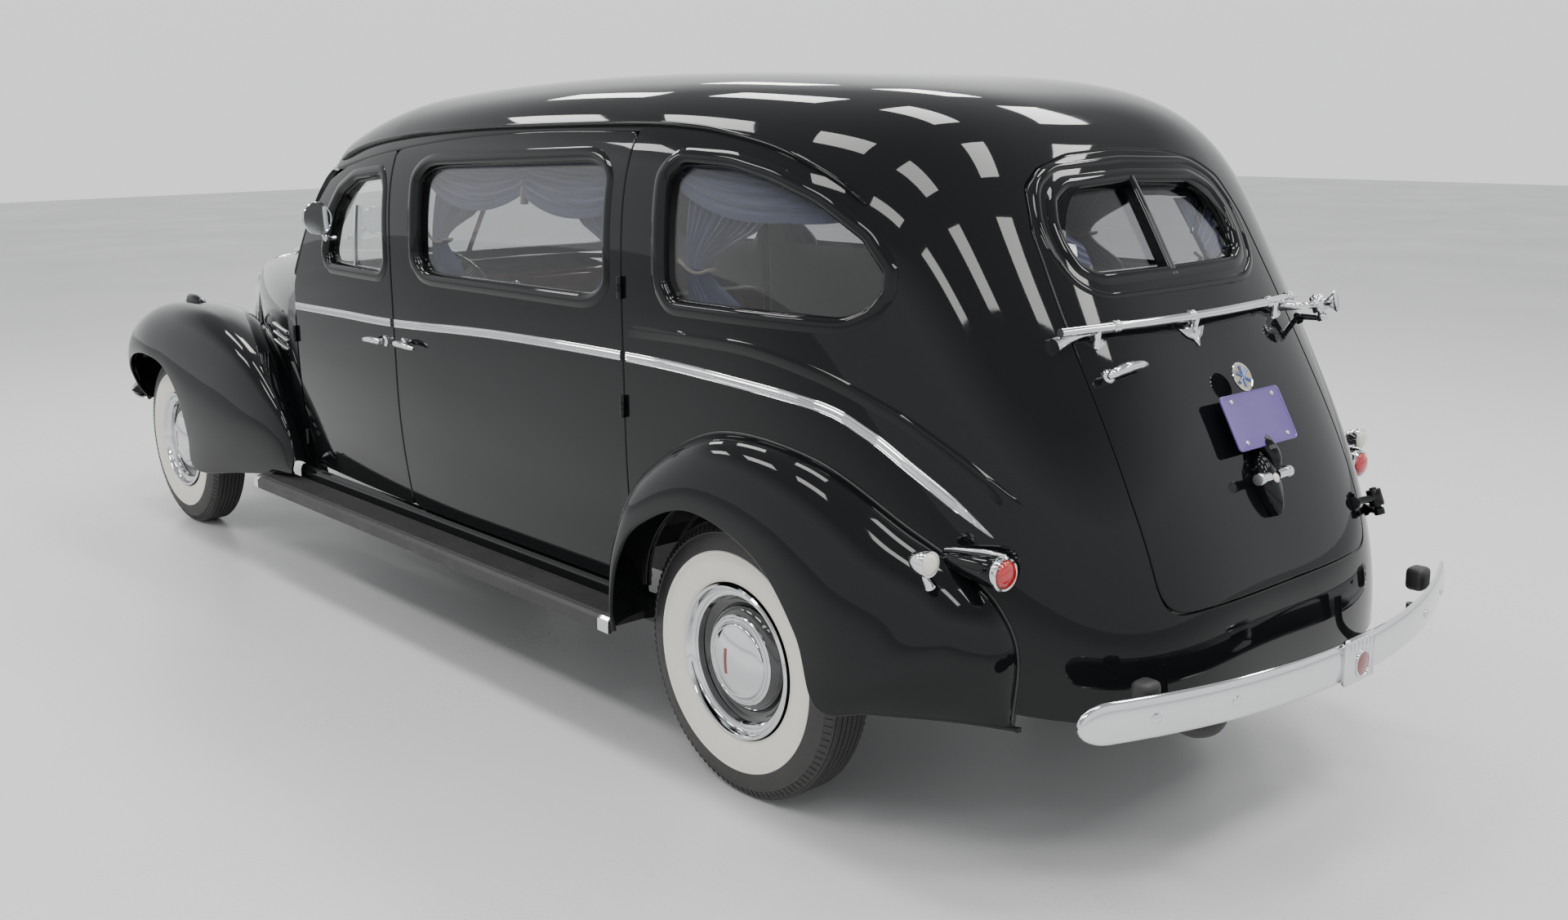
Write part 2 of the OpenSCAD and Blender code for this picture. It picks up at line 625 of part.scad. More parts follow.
// Bumpers: a bowed bar on two brackets.
bumper_t = 14;
module bumper_bar() {
    span = 2 * asin(bumper_half / bumper_bow_r);
    rotate([0, 0, 90 - span / 2]) rotate_extrude(angle = span, $fn = 180)
        translate([bumper_bow_r - bumper_t, 0]) polygon([
            [0, -bumper_h / 2], [6, -bumper_h / 2], [bumper_t, -bumper_h / 2 + 18], [bumper_t,
                bumper_h / 2 - 18],
            [6, bumper_h / 2], [0, bumper_h / 2]
        ]);
}
rail_x = 420;
rail_w = 62;
rear_bumper_y = rear_axle_y + 1250;
front_bumper_y = front_axle_y - 830;
rail_rear = rear_axle_y + 790;
rail_front = front_axle_y - 600;
arm_z = 384;
arm_t = 24;
function bow_back(x) = bumper_bow_r - sqrt(pow(bumper_bow_r, 2) - x * x);
// The rear bumper's arms hang from the rails and pass under the body.
module rear_bumper() {
    back = rear_bumper_y - bow_back(rail_x - 20) - bumper_t - 2;
    color("silver") {
        translate([0, rear_bumper_y - bumper_bow_r, bumper_z]) bumper_bar();
        both_sides() translate([rail_x - 20, 0, 0]) {
            translate([0, rail_rear - 90, arm_z]) cube([40, 30, rear_rail_low - clear - arm_z]);
            translate([0, rail_rear - 90, arm_z]) cube([40, back - rail_rear + 90, arm_t]);
            translate([0, back - 20, arm_z]) cube([40, 22, bumper_z - arm_z + 20]);
        }
    }
}
module front_bumper() {
    color("silver") {
        mirror([0, 1, 0]) translate([0, -front_bumper_y - bumper_bow_r, bumper_z]) bumper_bar();
        face = front_bumper_y + bow_back(rail_x - 20) + bumper_t;
        both_sides() translate([rail_x - 20, face, bumper_z - 30]) cube([40, rail_front - clear - face,
            22]);
    }
}

// Rear door fittings: grab rail, pull handle and the two stand-off hinges. The hinge line leans with the
// tail.
hinge_x = -(rear_door_half + 48);
hinge_low_z = 755;
hinge_top_z = 1243;
hinge_low = [hinge_x, form_y(hinge_x, hinge_low_z) + 42, hinge_low_z];
hinge_top = [hinge_x, form_y(hinge_x, hinge_top_z) + 92, hinge_top_z];
hinge_dir = unit(hinge_top - hinge_low);
// A point out from the tail's surface along its normal, over the point at x and z.
function tail_normal(x, z) = unit([
    form_y(x - 1, z) - form_y(x + 1, z),
    2,
    form_y(x, z - 1) - form_y(x, z + 1)
]);
function off_tail(x, z, d) = [x, form_y(x, z), z] + d * tail_normal(x, z);
pin_r = 9;
sleeve_r = 17;
sleeve_h = 44;
module post(from, to, r) {
    d = to - from;
    h = norm(d);
    translate(from) rotate([0, acos(d[2] / h), atan2(d[1], d[0])]) cylinder(r = r, h = h);
}
rail_z = 1262;
rail_out = 42;
rail_r = 11;
strap_x = -rear_door_half + 46;
module rear_door_fittings() {
    bar_y = form_y(0, rail_z) + rail_out;
    color("silver") {
        post([rear_door_half + 60, bar_y - 44, rail_z], [-14, bar_y + 1.2, rail_z], rail_r);
        post([14, bar_y + 1.2, rail_z], [strap_x - 10, bar_y - 33, rail_z], rail_r);
        for (x = [-300, 40, 300]) {
            post(off_tail(x, rail_z, 0.4), off_tail(x, rail_z, 12), 8);
            post(off_tail(x, rail_z, 10), [x, bar_y - 6 - abs(x) / 15, rail_z], 8);
        }
        for (c = [hinge_low, hinge_top])
            difference() {
                union() {
                    post(c - hinge_dir * sleeve_h / 2, c + hinge_dir * sleeve_h / 2, sleeve_r);
                    post(c + [sleeve_r - 3, 0, 0], off_tail(strap_x, c[2], 16), 8);
                    post(off_tail(strap_x, c[2], 0.4), off_tail(strap_x, c[2], 22), 15);
                }
                post(c - hinge_dir * sleeve_h, c + hinge_dir * sleeve_h, pin_r + 2 * clear);
            }
    }
}
// The fixed halves: a pin with a head, carried on a stand from the body.
module rear_hinge_pins() {
    color("silver")
        for (c = [hinge_low, hinge_top]) {
            foot_x = hinge_x - 42;
            under = c - hinge_dir * (sleeve_h / 2 + 14);
            post(c - hinge_dir * (sleeve_h / 2 + 24), c + hinge_dir * (sleeve_h / 2 + 6), pin_r);
            post(under, off_tail(foot_x, under[2] - 16, 10), 8);
            post(off_tail(foot_x, under[2] - 16, 0.3), off_tail(foot_x, under[2] - 16, 14), 16);
        }
}
plate_x = -46;
plate_z = 1018;
module licence_plate() {
    lean = atan2(form_y(0, 950) - form_y(0, 1090), 140);
    y = form_y(plate_x, plate_z) + 34;
    color("purple") translate([plate_x, y, plate_z]) rotate([lean, 0, 0]) {
        translate([-136, 0, -70]) cube([272, 3, 140]);
        translate([-20, -31, -50]) cube([40, 31, 24]);
    }
}

// Lamps.
module headlamps() {
    color("silver") both_sides()
        translate([705, ff - 462, 775]) rotate([90, 0, 0]) cylinder(r1 = 92, r2 = 80, h = 34);
}
lamp_y = fr + 738;
lamp_z = 770;
lamp_x = form_x(lamp_y, lamp_z) + 30 + clear;
module rear_lamps() {
    color("red") both_sides()
        translate([lamp_x, lamp_y, lamp_z]) rotate([-90, 0, 0]) cylinder(r1 = 30, r2 = 38, h = 90);
}

// Floor, with the raised rear deck and the rear wheelhouses.
floor_z = 470;
floor_t = 30;
deck_z = 590;
module floor() {
    deck_start = fr - 740;
    house_in = 600;
    house_out = 740;
    house_r = arch_r - 12;
    function edge(y, z) = form_x(y, z, wall) - 9;
    function plan(from, to, z, widest) = let (p = [for (k = [0:8]) let (y = mix(from, to,
        k / 8)) [min(widest, edge(y, z)), y]])
        concat(p, mirrored(p));
    color("dimgray") difference() {
        union() {
            translate([0, 0, floor_z]) linear_extrude(floor_t) polygon(plan(cowl_y - 3, deck_start,
                floor_z, 760));
            translate([0, 0, floor_z]) linear_extrude(deck_z + floor_t - floor_z)
                polygon(plan(deck_start, deck_start + floor_t, floor_z, 760));
            translate([0, 0, deck_z]) linear_extrude(floor_t) polygon(plan(deck_start, fr - 436, deck_z,
                760));
            translate([0, 0, deck_z]) linear_extrude(floor_t) polygon(plan(deck_start, tail_y - 170,
                deck_z, house_in));
            for (s = [-1, 1])
                translate([s > 0 ? house_in : -house_out, fr, axle_z]) rotate([0, 90,
                    0]) cylinder(r = house_r, h = house_out - house_in);
        }
        for (s = [-1, 1]) {
            translate([s > 0 ? house_in : -house_out - 20, fr, axle_z]) rotate([0, 90,
                0]) cylinder(r = house_r - 12, h = house_out - house_in + 20);
            translate([s > 0 ? house_in : -house_out - 20, fr - 500,
                -300]) cube([house_out - house_in + 20, 1000, 300 + axle_z + 20]);
        }
    }
}
module casket_deck() {
    color("saddlebrown") translate([-480, post_y + 420, deck_z + floor_t + clear]) cube([960,
        tail_y - 300 - post_y - 420, 24]);
}
module front_seat() {
    color("brown") {
        translate([-620, post_y - 350, floor_z + floor_t + clear]) cube([1240, 460, 300]);
        translate([-620, post_y + 112, floor_z + floor_t + clear]) cube([1240, 130, 640]);
    }
}
module dashboard() {
    shelf_half = half_width(cowl_y - 105, 960) - 46 - clear;
    color("saddlebrown") difference() {
        union() {
            translate([-shelf_half, cowl_y - 105, 900]) cube([2 * shelf_half, 92, 95]);
            translate([-640, cowl_y - 14, 900]) cube([1280, 90, 95]);
            translate([-620, cowl_y - 14, 994]) cube([1240, 64, 110]);
        }
        at_steering() translate([0, 0, -column - 1]) cylinder(r = column_r + clear, h = column);
    }
}
wheel_x = 340;
wheel_lean = 52;
column = 470;
column_r = 20;
module at_steering() {
    translate([wheel_x, cowl_y + 300, 1090]) rotate([-wheel_lean, 0, 0]) children();
}
module steering_wheel() {
    color("black") at_steering() {
        translate([0, 0, -column]) cylinder(r = column_r, h = column);
        rotate_extrude($fn = 48) translate([200, 0]) circle(r = 11, $fn = 24);
        cylinder(r = 30, h = 40, center = true);
        for (a = [0, 120, 240])
            rotate([0, 0, a]) translate([20, -8, -6]) cube([172, 16, 12]);
    }
}
engine_front = ff - 200;
engine_low = 480;
engine_len = 900;
gearbox_len = 190;
shaft_z = 405;
module engine() {
    color("gray") {
        translate([-250, engine_front, engine_low]) cube([500, engine_len, 430]);
        translate([-90, engine_front + engine_len - 1, shaft_z - 60]) cube([180, gearbox_len + 1, 200]);
    }
}

// Chassis: two rails with crossmembers, kicked up over the rear axle.
front_rail_low = 400;
rear_rail_low = 470;
axle_tube_r = 38;
module chassis_frame() {
    color("dimgray") {
        both_sides()
            translate([rail_x - rail_w / 2, 0, 0]) rotate([90, 0, 90]) linear_extrude(rail_w) polygon([
                [rail_front, front_rail_low], [ff + 500, front_rail_low], [ff + 800, 350], [fr - 700, 350],
                [fr - 420, rear_rail_low], [rail_rear, rear_rail_low], [rail_rear, 540], [fr + 420, 570],
                    [fr - 420, 570],
                [fr - 700, floor_z - clear], [ff + 800, floor_z - clear],
                [ff + 500, 500], [rail_front, 500]
            ]);
        translate([-rail_x + rail_w / 2 - 1, rail_front + 60, 400]) cube([2 * rail_x - rail_w + 2, 60, 50]);
        for (y = [ff + 960, post_y + 300])
            translate([-rail_x + rail_w / 2 - 1, y, shaft_z + 38]) cube([2 * rail_x - rail_w + 2, 60, 22]);
        translate([-rail_x + rail_w / 2 - 1, engine_front + 120, 420]) cube([2 * rail_x - rail_w + 2, 80,
            engine_low - clear - 420]);
        translate([-rail_x + rail_w / 2 - 1, rail_rear - 60, 450]) cube([2 * rail_x - rail_w + 2, 50, 80]);
    }
}
// Leaf springs, each bowed from the rail's underside down to the axle.
spring_w = 50;
module leaf_spring(y, low, high) {
    reach = 400;
    both_sides()
        translate([rail_x - spring_w / 2, y, 0]) rotate([90, 0, 90]) linear_extrude(spring_w) polygon([
            [-reach, high - clear], [-reach, high - 18], [-reach / 2, low + 12], [-90, low + clear], [90,
                low + clear],
            [reach / 2, low + 12], [reach, high - 18], [reach, high - clear], [reach - 50, high - clear],
            [reach / 2, low + 34], [90, low + 36], [-90, low + 36], [-reach / 2, low + 34], [-reach + 50,
                high - clear]
        ]);
}
module leaf_springs() {
    color("dimgray") {
        leaf_spring(fr, axle_z + axle_tube_r, rear_rail_low);
        leaf_spring(ff, axle_z - 35, front_rail_low);
    }
}
module fuel_tank() {
    tank_half = rail_x - rail_w / 2 - clear;
    color("dimgray")
        translate([-tank_half, fr + 300, rear_rail_low - 110]) cube([2 * tank_half,
            rail_rear - 60 - clear - fr - 300, 120]);
}
pipe_x = -210;
pipe_z = 318;
module exhaust() {
    color("silver") {
        start = engine_front + engine_len - 60;
        translate([pipe_x, start, pipe_z]) cylinder(r = 24, h = engine_low - clear - pipe_z);
        translate([pipe_x, start - 24, pipe_z]) rotate([-90, 0, 0]) cylinder(r = 24, h = fr - 240 - start);
        translate([pipe_x, post_y + 380, pipe_z]) rotate([-90, 0, 0]) cylinder(r = 46, h = 520);
    }
}
king_x = 650;
king_r = 15;
fit = 0.05;
stub_r = 22;
module front_axle() {
    color("dimgray") difference() {
        union() {
            translate([-king_x, ff - 30, axle_z - 95]) cube([2 * king_x, 60, 60]);
            for (s = [-1, 1])
                translate([s * king_x, ff, axle_z - 100]) cylinder(r = 34, h = 70);
        }
        for (s = [-1, 1])
            translate([s * king_x, ff, axle_z - 101]) cylinder(r = king_r + fit, h = 72);
    }
}
module knuckle() {
    translate([king_x, ff, axle_z - 130]) cylinder(r = king_r, h = 150);
    translate([king_x - 26, ff - 26, axle_z - 130]) cube([52, 52, 29.5]);
    translate([king_x - 26, ff - 26, axle_z - 29.5]) cube([52, 52, 62]);
    translate([king_x, ff, axle_z]) rotate([0, 90, 0]) cylinder(r = stub_r,
        h = track_front / 2 - king_x + 30);
}
module knuckle_left() {
    color("dimgray") knuckle();
}
module knuckle_right() {
    color("dimgray") mirror([1, 0, 0]) knuckle();
}
module rear_axle() {
    color("dimgray") {
        tube_half = track_rear / 2 - 80;
        stub_half = track_rear / 2 + 30;
        translate([0, fr, axle_z]) rotate([0, 90, 0]) rotate_extrude() polygon([
            [0, -stub_half], [stub_r, -stub_half], [stub_r, -tube_half], [axle_tube_r, -tube_half],
            [axle_tube_r, -130], [112, -50], [112, 50], [axle_tube_r, 130],
            [axle_tube_r, tube_half], [stub_r, tube_half], [stub_r, stub_half], [0, stub_half]
        ]);
        post([0, fr - 60, axle_z], [0, engine_front + engine_len + gearbox_len + 1, shaft_z], 30);
    }
}
// One tyre and one wheel, with the outer face towards +X and the middle at the origin.
module tyre() {
    bead = rim_d / 2 + clear;
    w = tyre_w / 2;
    rotate([0, 90, 0]) rotate_extrude($fn = 96) polygon([
        [bead, -w + 22], [bead + 30, -w + 7], [bead + 70, -w], [bead + 105, -w + 4], [tyre_r - 26, -w + 16],
        [tyre_r - 6, -w + 34], [tyre_r, -w + 55], [tyre_r, w - 55], [tyre_r - 6, w - 34], [tyre_r - 26,
            w - 16],
        [bead + 105, w - 4], [bead + 70, w], [bead + 30, w - 7], [bead, w - 22]
    ]);
}
module wheel() {
    r = rim_d / 2;
    w = tyre_w / 2;
    rotate([0, 90, 0]) rotate_extrude($fn = 96) polygon([
        [stub_r + fit, -40], [60, -40], [90, -10], [r - 45, -4], [r - 30, -w + 40], [r - 8, -w + 20], [r,
            -w + 20],
        [r, w - 14], [r - 18, w - 12], [r - 30, w - 40], [r - 60, w - 30], [110, w - 44], [98, w - 16],
            [60, w + 2],
        [0, w + 6], [0, w - 20], [stub_r + fit, w - 20]
    ]);
}
module at_wheel(side, front) {
    x = (front ? track_front : track_rear) / 2;
    y = front ? ff : fr;
    if (side > 0) translate([x, y, axle_z]) children();
    else mirror([1, 0, 0]) translate([x, y, axle_z]) children();
}

roof_panel();
quarter_panel_left();
quarter_panel_right();
rear_body_frame();
cowl();
windshield_frame();
windshield_glass();
quarter_glass();
hood();
hood_sides();
grille_shell();
front_fender_left();
front_fender_right();
rear_fender_left();
rear_fender_right();
running_boards();
front_door_left();
front_door_right();
front_door_glass_left();
front_door_glass_right();
side_door_left();
side_door_right();
side_door_glass_left();
side_door_glass_right();
rear_door();
rear_door_glass();
rear_door_fittings();
rear_hinge_pins();
licence_plate();
front_bumper();
rear_bumper();
headlamps();
rear_lamps();
floor();
casket_deck();
front_seat();
dashboard();
steering_wheel();
engine();
chassis_frame();
leaf_springs();
fuel_tank();
exhaust();
front_axle();
knuckle_left();
knuckle_right();
rear_axle();
color("black") at_wheel(1, true) tyre();  // tyre_front_left
color("black") at_wheel(-1, true) tyre();  // tyre_front_right
color("black") at_wheel(1, false) tyre();  // tyre_rear_left
color("black") at_wheel(-1, false) tyre();  // tyre_rear_right
color("silver") at_wheel(1, true) wheel();  // wheel_front_left
color("silver") at_wheel(-1, true) wheel();  // wheel_front_right
color("silver") at_wheel(1, false) wheel();  // wheel_rear_left
color("silver") at_wheel(-1, false) wheel();  // wheel_rear_right
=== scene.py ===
import math

import bmesh
import bpy
import numpy as np
from bpy.props import FloatProperty, FloatVectorProperty, IntProperty, PointerProperty
from mathutils import Matrix, Vector


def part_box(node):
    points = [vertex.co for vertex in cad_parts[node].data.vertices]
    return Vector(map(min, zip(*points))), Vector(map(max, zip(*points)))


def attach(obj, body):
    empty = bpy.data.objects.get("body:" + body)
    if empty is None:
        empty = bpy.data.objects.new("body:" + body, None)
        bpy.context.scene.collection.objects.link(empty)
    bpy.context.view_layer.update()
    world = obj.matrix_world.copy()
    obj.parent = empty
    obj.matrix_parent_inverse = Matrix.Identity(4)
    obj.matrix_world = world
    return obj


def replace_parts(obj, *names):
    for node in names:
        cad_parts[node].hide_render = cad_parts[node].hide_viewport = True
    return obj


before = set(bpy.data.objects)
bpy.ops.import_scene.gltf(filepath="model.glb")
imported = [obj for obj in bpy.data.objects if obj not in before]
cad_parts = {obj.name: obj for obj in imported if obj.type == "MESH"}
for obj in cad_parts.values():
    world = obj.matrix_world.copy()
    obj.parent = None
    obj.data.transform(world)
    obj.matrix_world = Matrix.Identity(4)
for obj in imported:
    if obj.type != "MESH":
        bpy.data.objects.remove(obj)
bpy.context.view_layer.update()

bl_info = {
    "name": "Hearse",
    "version": (1, 0, 0),
    "blender": (4, 5, 0),
    "location": "View3D > Sidebar > Hearse",
    "description": "Bodywork, brightwork, wheels and furnishings of a long black hearse",
    "category": "Add Mesh",
}


def middle(node):
    low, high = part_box(node)
    return (Vector(low) + Vector(high)) / 2


# Lines of the body, in metres, from the wheels that carry it.
FRONT_HUB = middle("tyre_front_left")
REAR_HUB = middle("tyre_rear_left")
TYRE_R = FRONT_HUB.z
FF, FR = FRONT_HUB.y, REAR_HUB.y
COWL_Y = FF + 1.215
POST_Y = COWL_Y + 0.85
REAR_POST_Y = FR - 0.43
SWEEP_Y = FR - 0.375
TAIL_Y = FR + 1.08
CROWN_Y = FR - 0.775
BODY_HALF = 0.845
ROOF_Z = 1.865
BELT_Z = 1.0
SILL_Z = 0.455
WALL = 0.06
GAP = 0.005
CORNER_A = 0.64
METRES_PER_TURN = 0.012 * 360
BOTH = (1, -1)
SIDE = {1: "left", -1: "right"}

# Where a piece rides, its slot and its finish.
BRIGHT = ("body", "chrome", ["chrome"])
TAIL_BRIGHT = ("tail_door", "chrome", ["chrome"])
PAINTED = ("body", "black_paint", ["black_paint"])
DARK_TRIM = ("body", "chrome", ["black_paint"])
IRON = ("body", "engine_iron", ["engine_iron"])


# The body's form: a boxy section with a crowned roof that sweeps down into a sloping tail.
def half_width(y, z):
    nose = 0.047 * np.maximum(0, (POST_Y + 0.35 - y) / 1.2) ** 2
    tuck = 0.04 * np.clip((0.9 - z) / 0.45, 0, 1.2) ** 2
    return BODY_HALF - nose - tuck * np.clip((FR - 0.075 - y) / 0.4, 0, 1)


def roof_line(y):
    return ROOF_Z - 0.0385 * (y - CROWN_Y) ** 2 - 0.06 * np.maximum(0, (POST_Y - 0.05 - y) / 0.5) ** 2


def tail_line(z):
    return TAIL_Y - 0.28 * (1 - np.cos(np.pi * np.clip((z - 0.45) / 1.5, 0, 1)))


def power_at(y):
    s = np.clip((y - SWEEP_Y + 0.1) / 0.9, 0, 1)
    return 5 - 1.3 * s * s * (3 - 2 * s)


def fullness(y, z, t=0.0):
    up = np.maximum(0, (z - BELT_Z) / (roof_line(y) - BELT_Z - t))
    back = np.maximum(0, (y - SWEEP_Y) / (tail_line(z) - SWEEP_Y - t))
    return (up**6 + back**6) ** (1 / 6)


def form_x(y, z, t=0.0):
    y, z = np.asarray(y, float), np.asarray(z, float)
    g, p = np.minimum(fullness(y, z, t), 1), power_at(y)
    return (half_width(y, z) - t) * (1 - g**p) ** (1 / p)


def halve(wider, low, high):
    low, high = np.array(low, float), np.array(high, float)
    for _ in range(36):
        m = (low + high) / 2
        w = wider(m)
        low, high = np.where(w, m, low), np.where(w, high, m)
    return low


def form_y(x, z, t=0.0):
    x, z = np.broadcast_arrays(np.asarray(x, float), np.asarray(z, float))
    return halve(lambda m: form_x(m, z, t) > np.abs(x) + 1e-6, np.full(x.shape, SWEEP_Y),
        np.full(x.shape, TAIL_Y + 0.05))


def form_z(x, y, t=0.0):
    x, y = np.broadcast_arrays(np.asarray(x, float), np.asarray(y, float))
    return halve(lambda m: form_x(y, m, t) > np.abs(x) + 1e-6, np.full(x.shape, 1.0),
        np.full(x.shape, ROOF_Z + 0.02))


def wrap_point(a, z, t=0.0):
    """A point a metres along the side, then round the tail."""
    a, z = np.broadcast_arrays(np.asarray(a, float), np.asarray(z, float))
    turn = np.maximum(a, 0) / METRES_PER_TURN * 2 * np.pi
    wide, deep = (BODY_HALF - t) * np.cos(turn), (tail_line(z) - t - SWEEP_Y) * np.sin(turn)
    m = halve(lambda k: form_x(SWEEP_Y + deep * k, z, t) > wide * k, np.zeros(a.shape), np.full(a.shape, 1.4))
    side = a <= 0
    x = np.where(side, form_x(SWEEP_Y + a, z, t), wide * m)
    return np.stack([x, np.where(side, SWEEP_Y + a, SWEEP_Y + deep * m), z], -1)


def wrap_of_y(y, z):
    y = np.asarray(y, float)
    turn = np.arctan2((y - SWEEP_Y) / (tail_line(z) - SWEEP_Y), form_x(y, z) / BODY_HALF)
    return np.where(y < SWEEP_Y, y - SWEEP_Y, turn / 2 / np.pi * METRES_PER_TURN)


def form_level(p):
    x, y, z = np.abs(p[..., 0]), p[..., 1], p[..., 2]
    q = power_at(y)
    return (x / half_width(y, z)) ** q + fullness(y, z) ** q - 1


def form_normal(p):
    p = np.asarray(p, float)
    h = 1e-5
    step = np.eye(3) * h
    n = np.stack([form_level(p + step[k]) - form_level(p - step[k]) for k in range(3)], -1)
    return n / np.maximum(np.linalg.norm(n, axis=-1, keepdims=True), 1e-12)


def door_top(y):
    return ROOF_Z - 0.153 - 0.06 * np.minimum(0, (y - CROWN_Y - 0.1)) ** 2


SEAM_Z = float(door_top(CROWN_Y + 0.2))


# Outlines and grids.
def even(points, n, last=False):
    p = np.array(points, float)
    s = np.concatenate([[0], np.cumsum(np.linalg.norm(np.diff(p, axis=0), axis=1))])
    t = np.linspace(0, s[-1], n + (1 if last else 0), endpoint=last)
    return np.stack([np.interp(t, s, p[:, k]) for k in range(p.shape[1])], -1)


def curve(points, n):
    """n + 1 points on a smooth curve through the points given."""
    p = np.array(points, float)
    p = np.vstack([p[0], p, p[-1]])
    t = np.minimum(np.linspace(0, len(p) - 3, n + 1), len(p) - 3 - 1e-9)
    i, f = t.astype(int), (t % 1)[:, None]
    a, b, c, d = p[i], p[i + 1], p[i + 2], p[i + 3]
    return 0.5 * (2 * b + (c - a) * f + (2 * a - 5 * b + 4 * c - d) * f**2 + (3 * b - a - 3 * c + d) * f**3)


def soften(loop, passes, closed=True):
    p = np.array(loop, float)
    for _ in range(passes):
        q = (np.roll(p, 1, 0) + 2 * p + np.roll(p, -1, 0)) / 4
        if not closed:
            q[0], q[-1] = p[0], p[-1]
        p = q
    return p


def spread(loop, d):
    """The loop moved outwards by d in its own plane, whichever way it runs."""
    p = np.asarray(loop, float)
    t = np.roll(p, -1, 0) - np.roll(p, 1, 0)
    n = np.stack([t[:, 1], -t[:, 0]], -1)
    n /= np.maximum(np.linalg.norm(n, axis=1, keepdims=True), 1e-9)
    area = np.sum(p[:, 0] * np.roll(p[:, 1], -1) - np.roll(p[:, 0], -1) * p[:, 1])
    return p + n * d * np.sign(area)


def mix(a, b, t):
    return a + (b - a) * t


def smooth(t):
    t = np.clip(t, 0, 1)
    return t * t * (3 - 2 * t)


# Putting pieces into the scene.
def finish_piece(o, body, slot, materials=(), angle=35, outward=True):
    for m in materials:
        o.data.materials.append(MATERIALS[m])
    bpy.ops.object.select_all(action="DESELECT")
    o.select_set(True)
    bpy.context.view_layer.objects.active = o
    bpy.ops.object.transform_apply(location=True, rotation=True, scale=True)
    if outward:
        bm = bmesh.new()
        bm.from_mesh(o.data)
        bmesh.ops.remove_doubles(bm, verts=bm.verts, dist=1e-6)
        bmesh.ops.recalc_face_normals(bm, faces=bm.faces)
        bm.to_mesh(o.data)
        bm.free()
    if angle:
        bpy.ops.object.shade_smooth_by_angle(angle=math.radians(angle))
    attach(o, body)
    return o


def mesh_piece(name, verts, faces, body, slot, materials=(), angle=35, outward=True):
    me = bpy.data.meshes.new(name)
    me.from_pydata(np.asarray(verts).reshape(-1, 3).tolist(), [], [tuple(map(int, f)) for f in faces])
    me.update()
    o = bpy.data.objects.new(name, me)
    bpy.context.scene.collection.objects.link(o)
    return finish_piece(o, body, slot, materials, angle, outward)


def grid_faces(rows, cols, ring=False, tube=False):
    i, j = np.meshgrid(np.arange(rows if tube else rows - 1), np.arange(cols if ring else cols - 1),
        indexing="ij")
    k, l = (i + 1) % rows, (j + 1) % cols
    return np.stack([i * cols + j, i * cols + l, k * cols + l, k * cols + j], -1).reshape(-1, 4)


def modify(o, kind, **settings):
    bpy.ops.object.select_all(action="DESELECT")
    o.select_set(True)
    bpy.context.view_layer.objects.active = o
    m = o.modifiers.new(kind.title(), kind)
    for k, v in settings.items():
        setattr(m, k, v)
    bpy.ops.object.modifier_apply(modifier=m.name)


def true_normals(o):
    """Every vertex that lies on the body's form takes the form's own normal."""
    p = np.empty(len(o.data.vertices) * 3)
    o.data.vertices.foreach_get("co", p)
    p = p.reshape(-1, 3)
    n = form_normal(p)
    off = np.abs(form_level(p)) > 2e-4
    n[off] = 0
    o.data.normals_split_custom_set_from_vertices(n.tolist())


def sweep(name, path, normals, section, body, slot, materials, closed=False, scale=None, angle=40):
    """A strip with its section (across, out) carried along a path that lies on a panel."""
    p, n = np.asarray(path, float), np.asarray(normals, float)
    t = np.roll(p, -1, 0) - np.roll(p, 1, 0)
    if not closed:
        t[0], t[-1] = p[1] - p[0], p[-1] - p[-2]
    t /= np.linalg.norm(t, axis=1, keepdims=True)
    b = np.cross(n, t)
    b /= np.linalg.norm(b, axis=1, keepdims=True)
    n = np.cross(t, b)
    s = np.asarray(section, float)
    k = np.ones((len(p), 2)) if scale is None else np.asarray(scale, float)
    g = p[:, None] + b[:, None] * (s[:, 0] * k[:, :1])[..., None] + n[:, None] * (s[:, 1] * k[:, 1:])[..., None]
    faces = grid_faces(len(p), len(s), ring=True, tube=closed).tolist()
    if not closed:
        m = len(s)
        faces += [list(range(m)), list(range((len(p) - 1) * m, len(p) * m))]
    return mesh_piece(name, g, faces, body, slot, materials, angle)


def arc_section(width, height, n=10, foot=0.002):
    """A strip's section: a flat foot a little under the surface and a rounded top."""
    a = np.linspace(0, np.pi, n)
    top = [(width / 2 * math.cos(t), height * math.sin(t) ** 0.8) for t in a]
    return [(width / 2, -foot)] + top + [(-width / 2, -foot)]


def tube(name, points, radius, body, slot, materials, smoothing=24, radii=None, sides=6):
    """A rod along a smooth curve, made as a bevelled curve and turned into a mesh."""
    p = curve(points, smoothing) if smoothing else np.array(points, float)
    data = bpy.data.curves.new(name, "CURVE")
    data.dimensions = "3D"
    data.bevel_depth = radius
    data.bevel_resolution = sides
    data.use_fill_caps = True
    s = data.splines.new("POLY")
    s.points.add(len(p) - 1)
    for q, c in zip(s.points, p):
        q.co = (*c, 1)
    if radii is not None:
        for q, r in zip(s.points, np.interp(np.linspace(0, 1, len(p)), np.linspace(0, 1, len(radii)), radii)):
            q.radius = float(r)
    o = bpy.data.objects.new(name, data)
    bpy.context.scene.collection.objects.link(o)
    bpy.ops.object.select_all(action="DESELECT")
    o.select_set(True)
    bpy.context.view_layer.objects.active = o
    bpy.ops.object.convert(target="MESH")
    return finish_piece(bpy.context.view_layer.objects.active, body, slot, materials, 50)


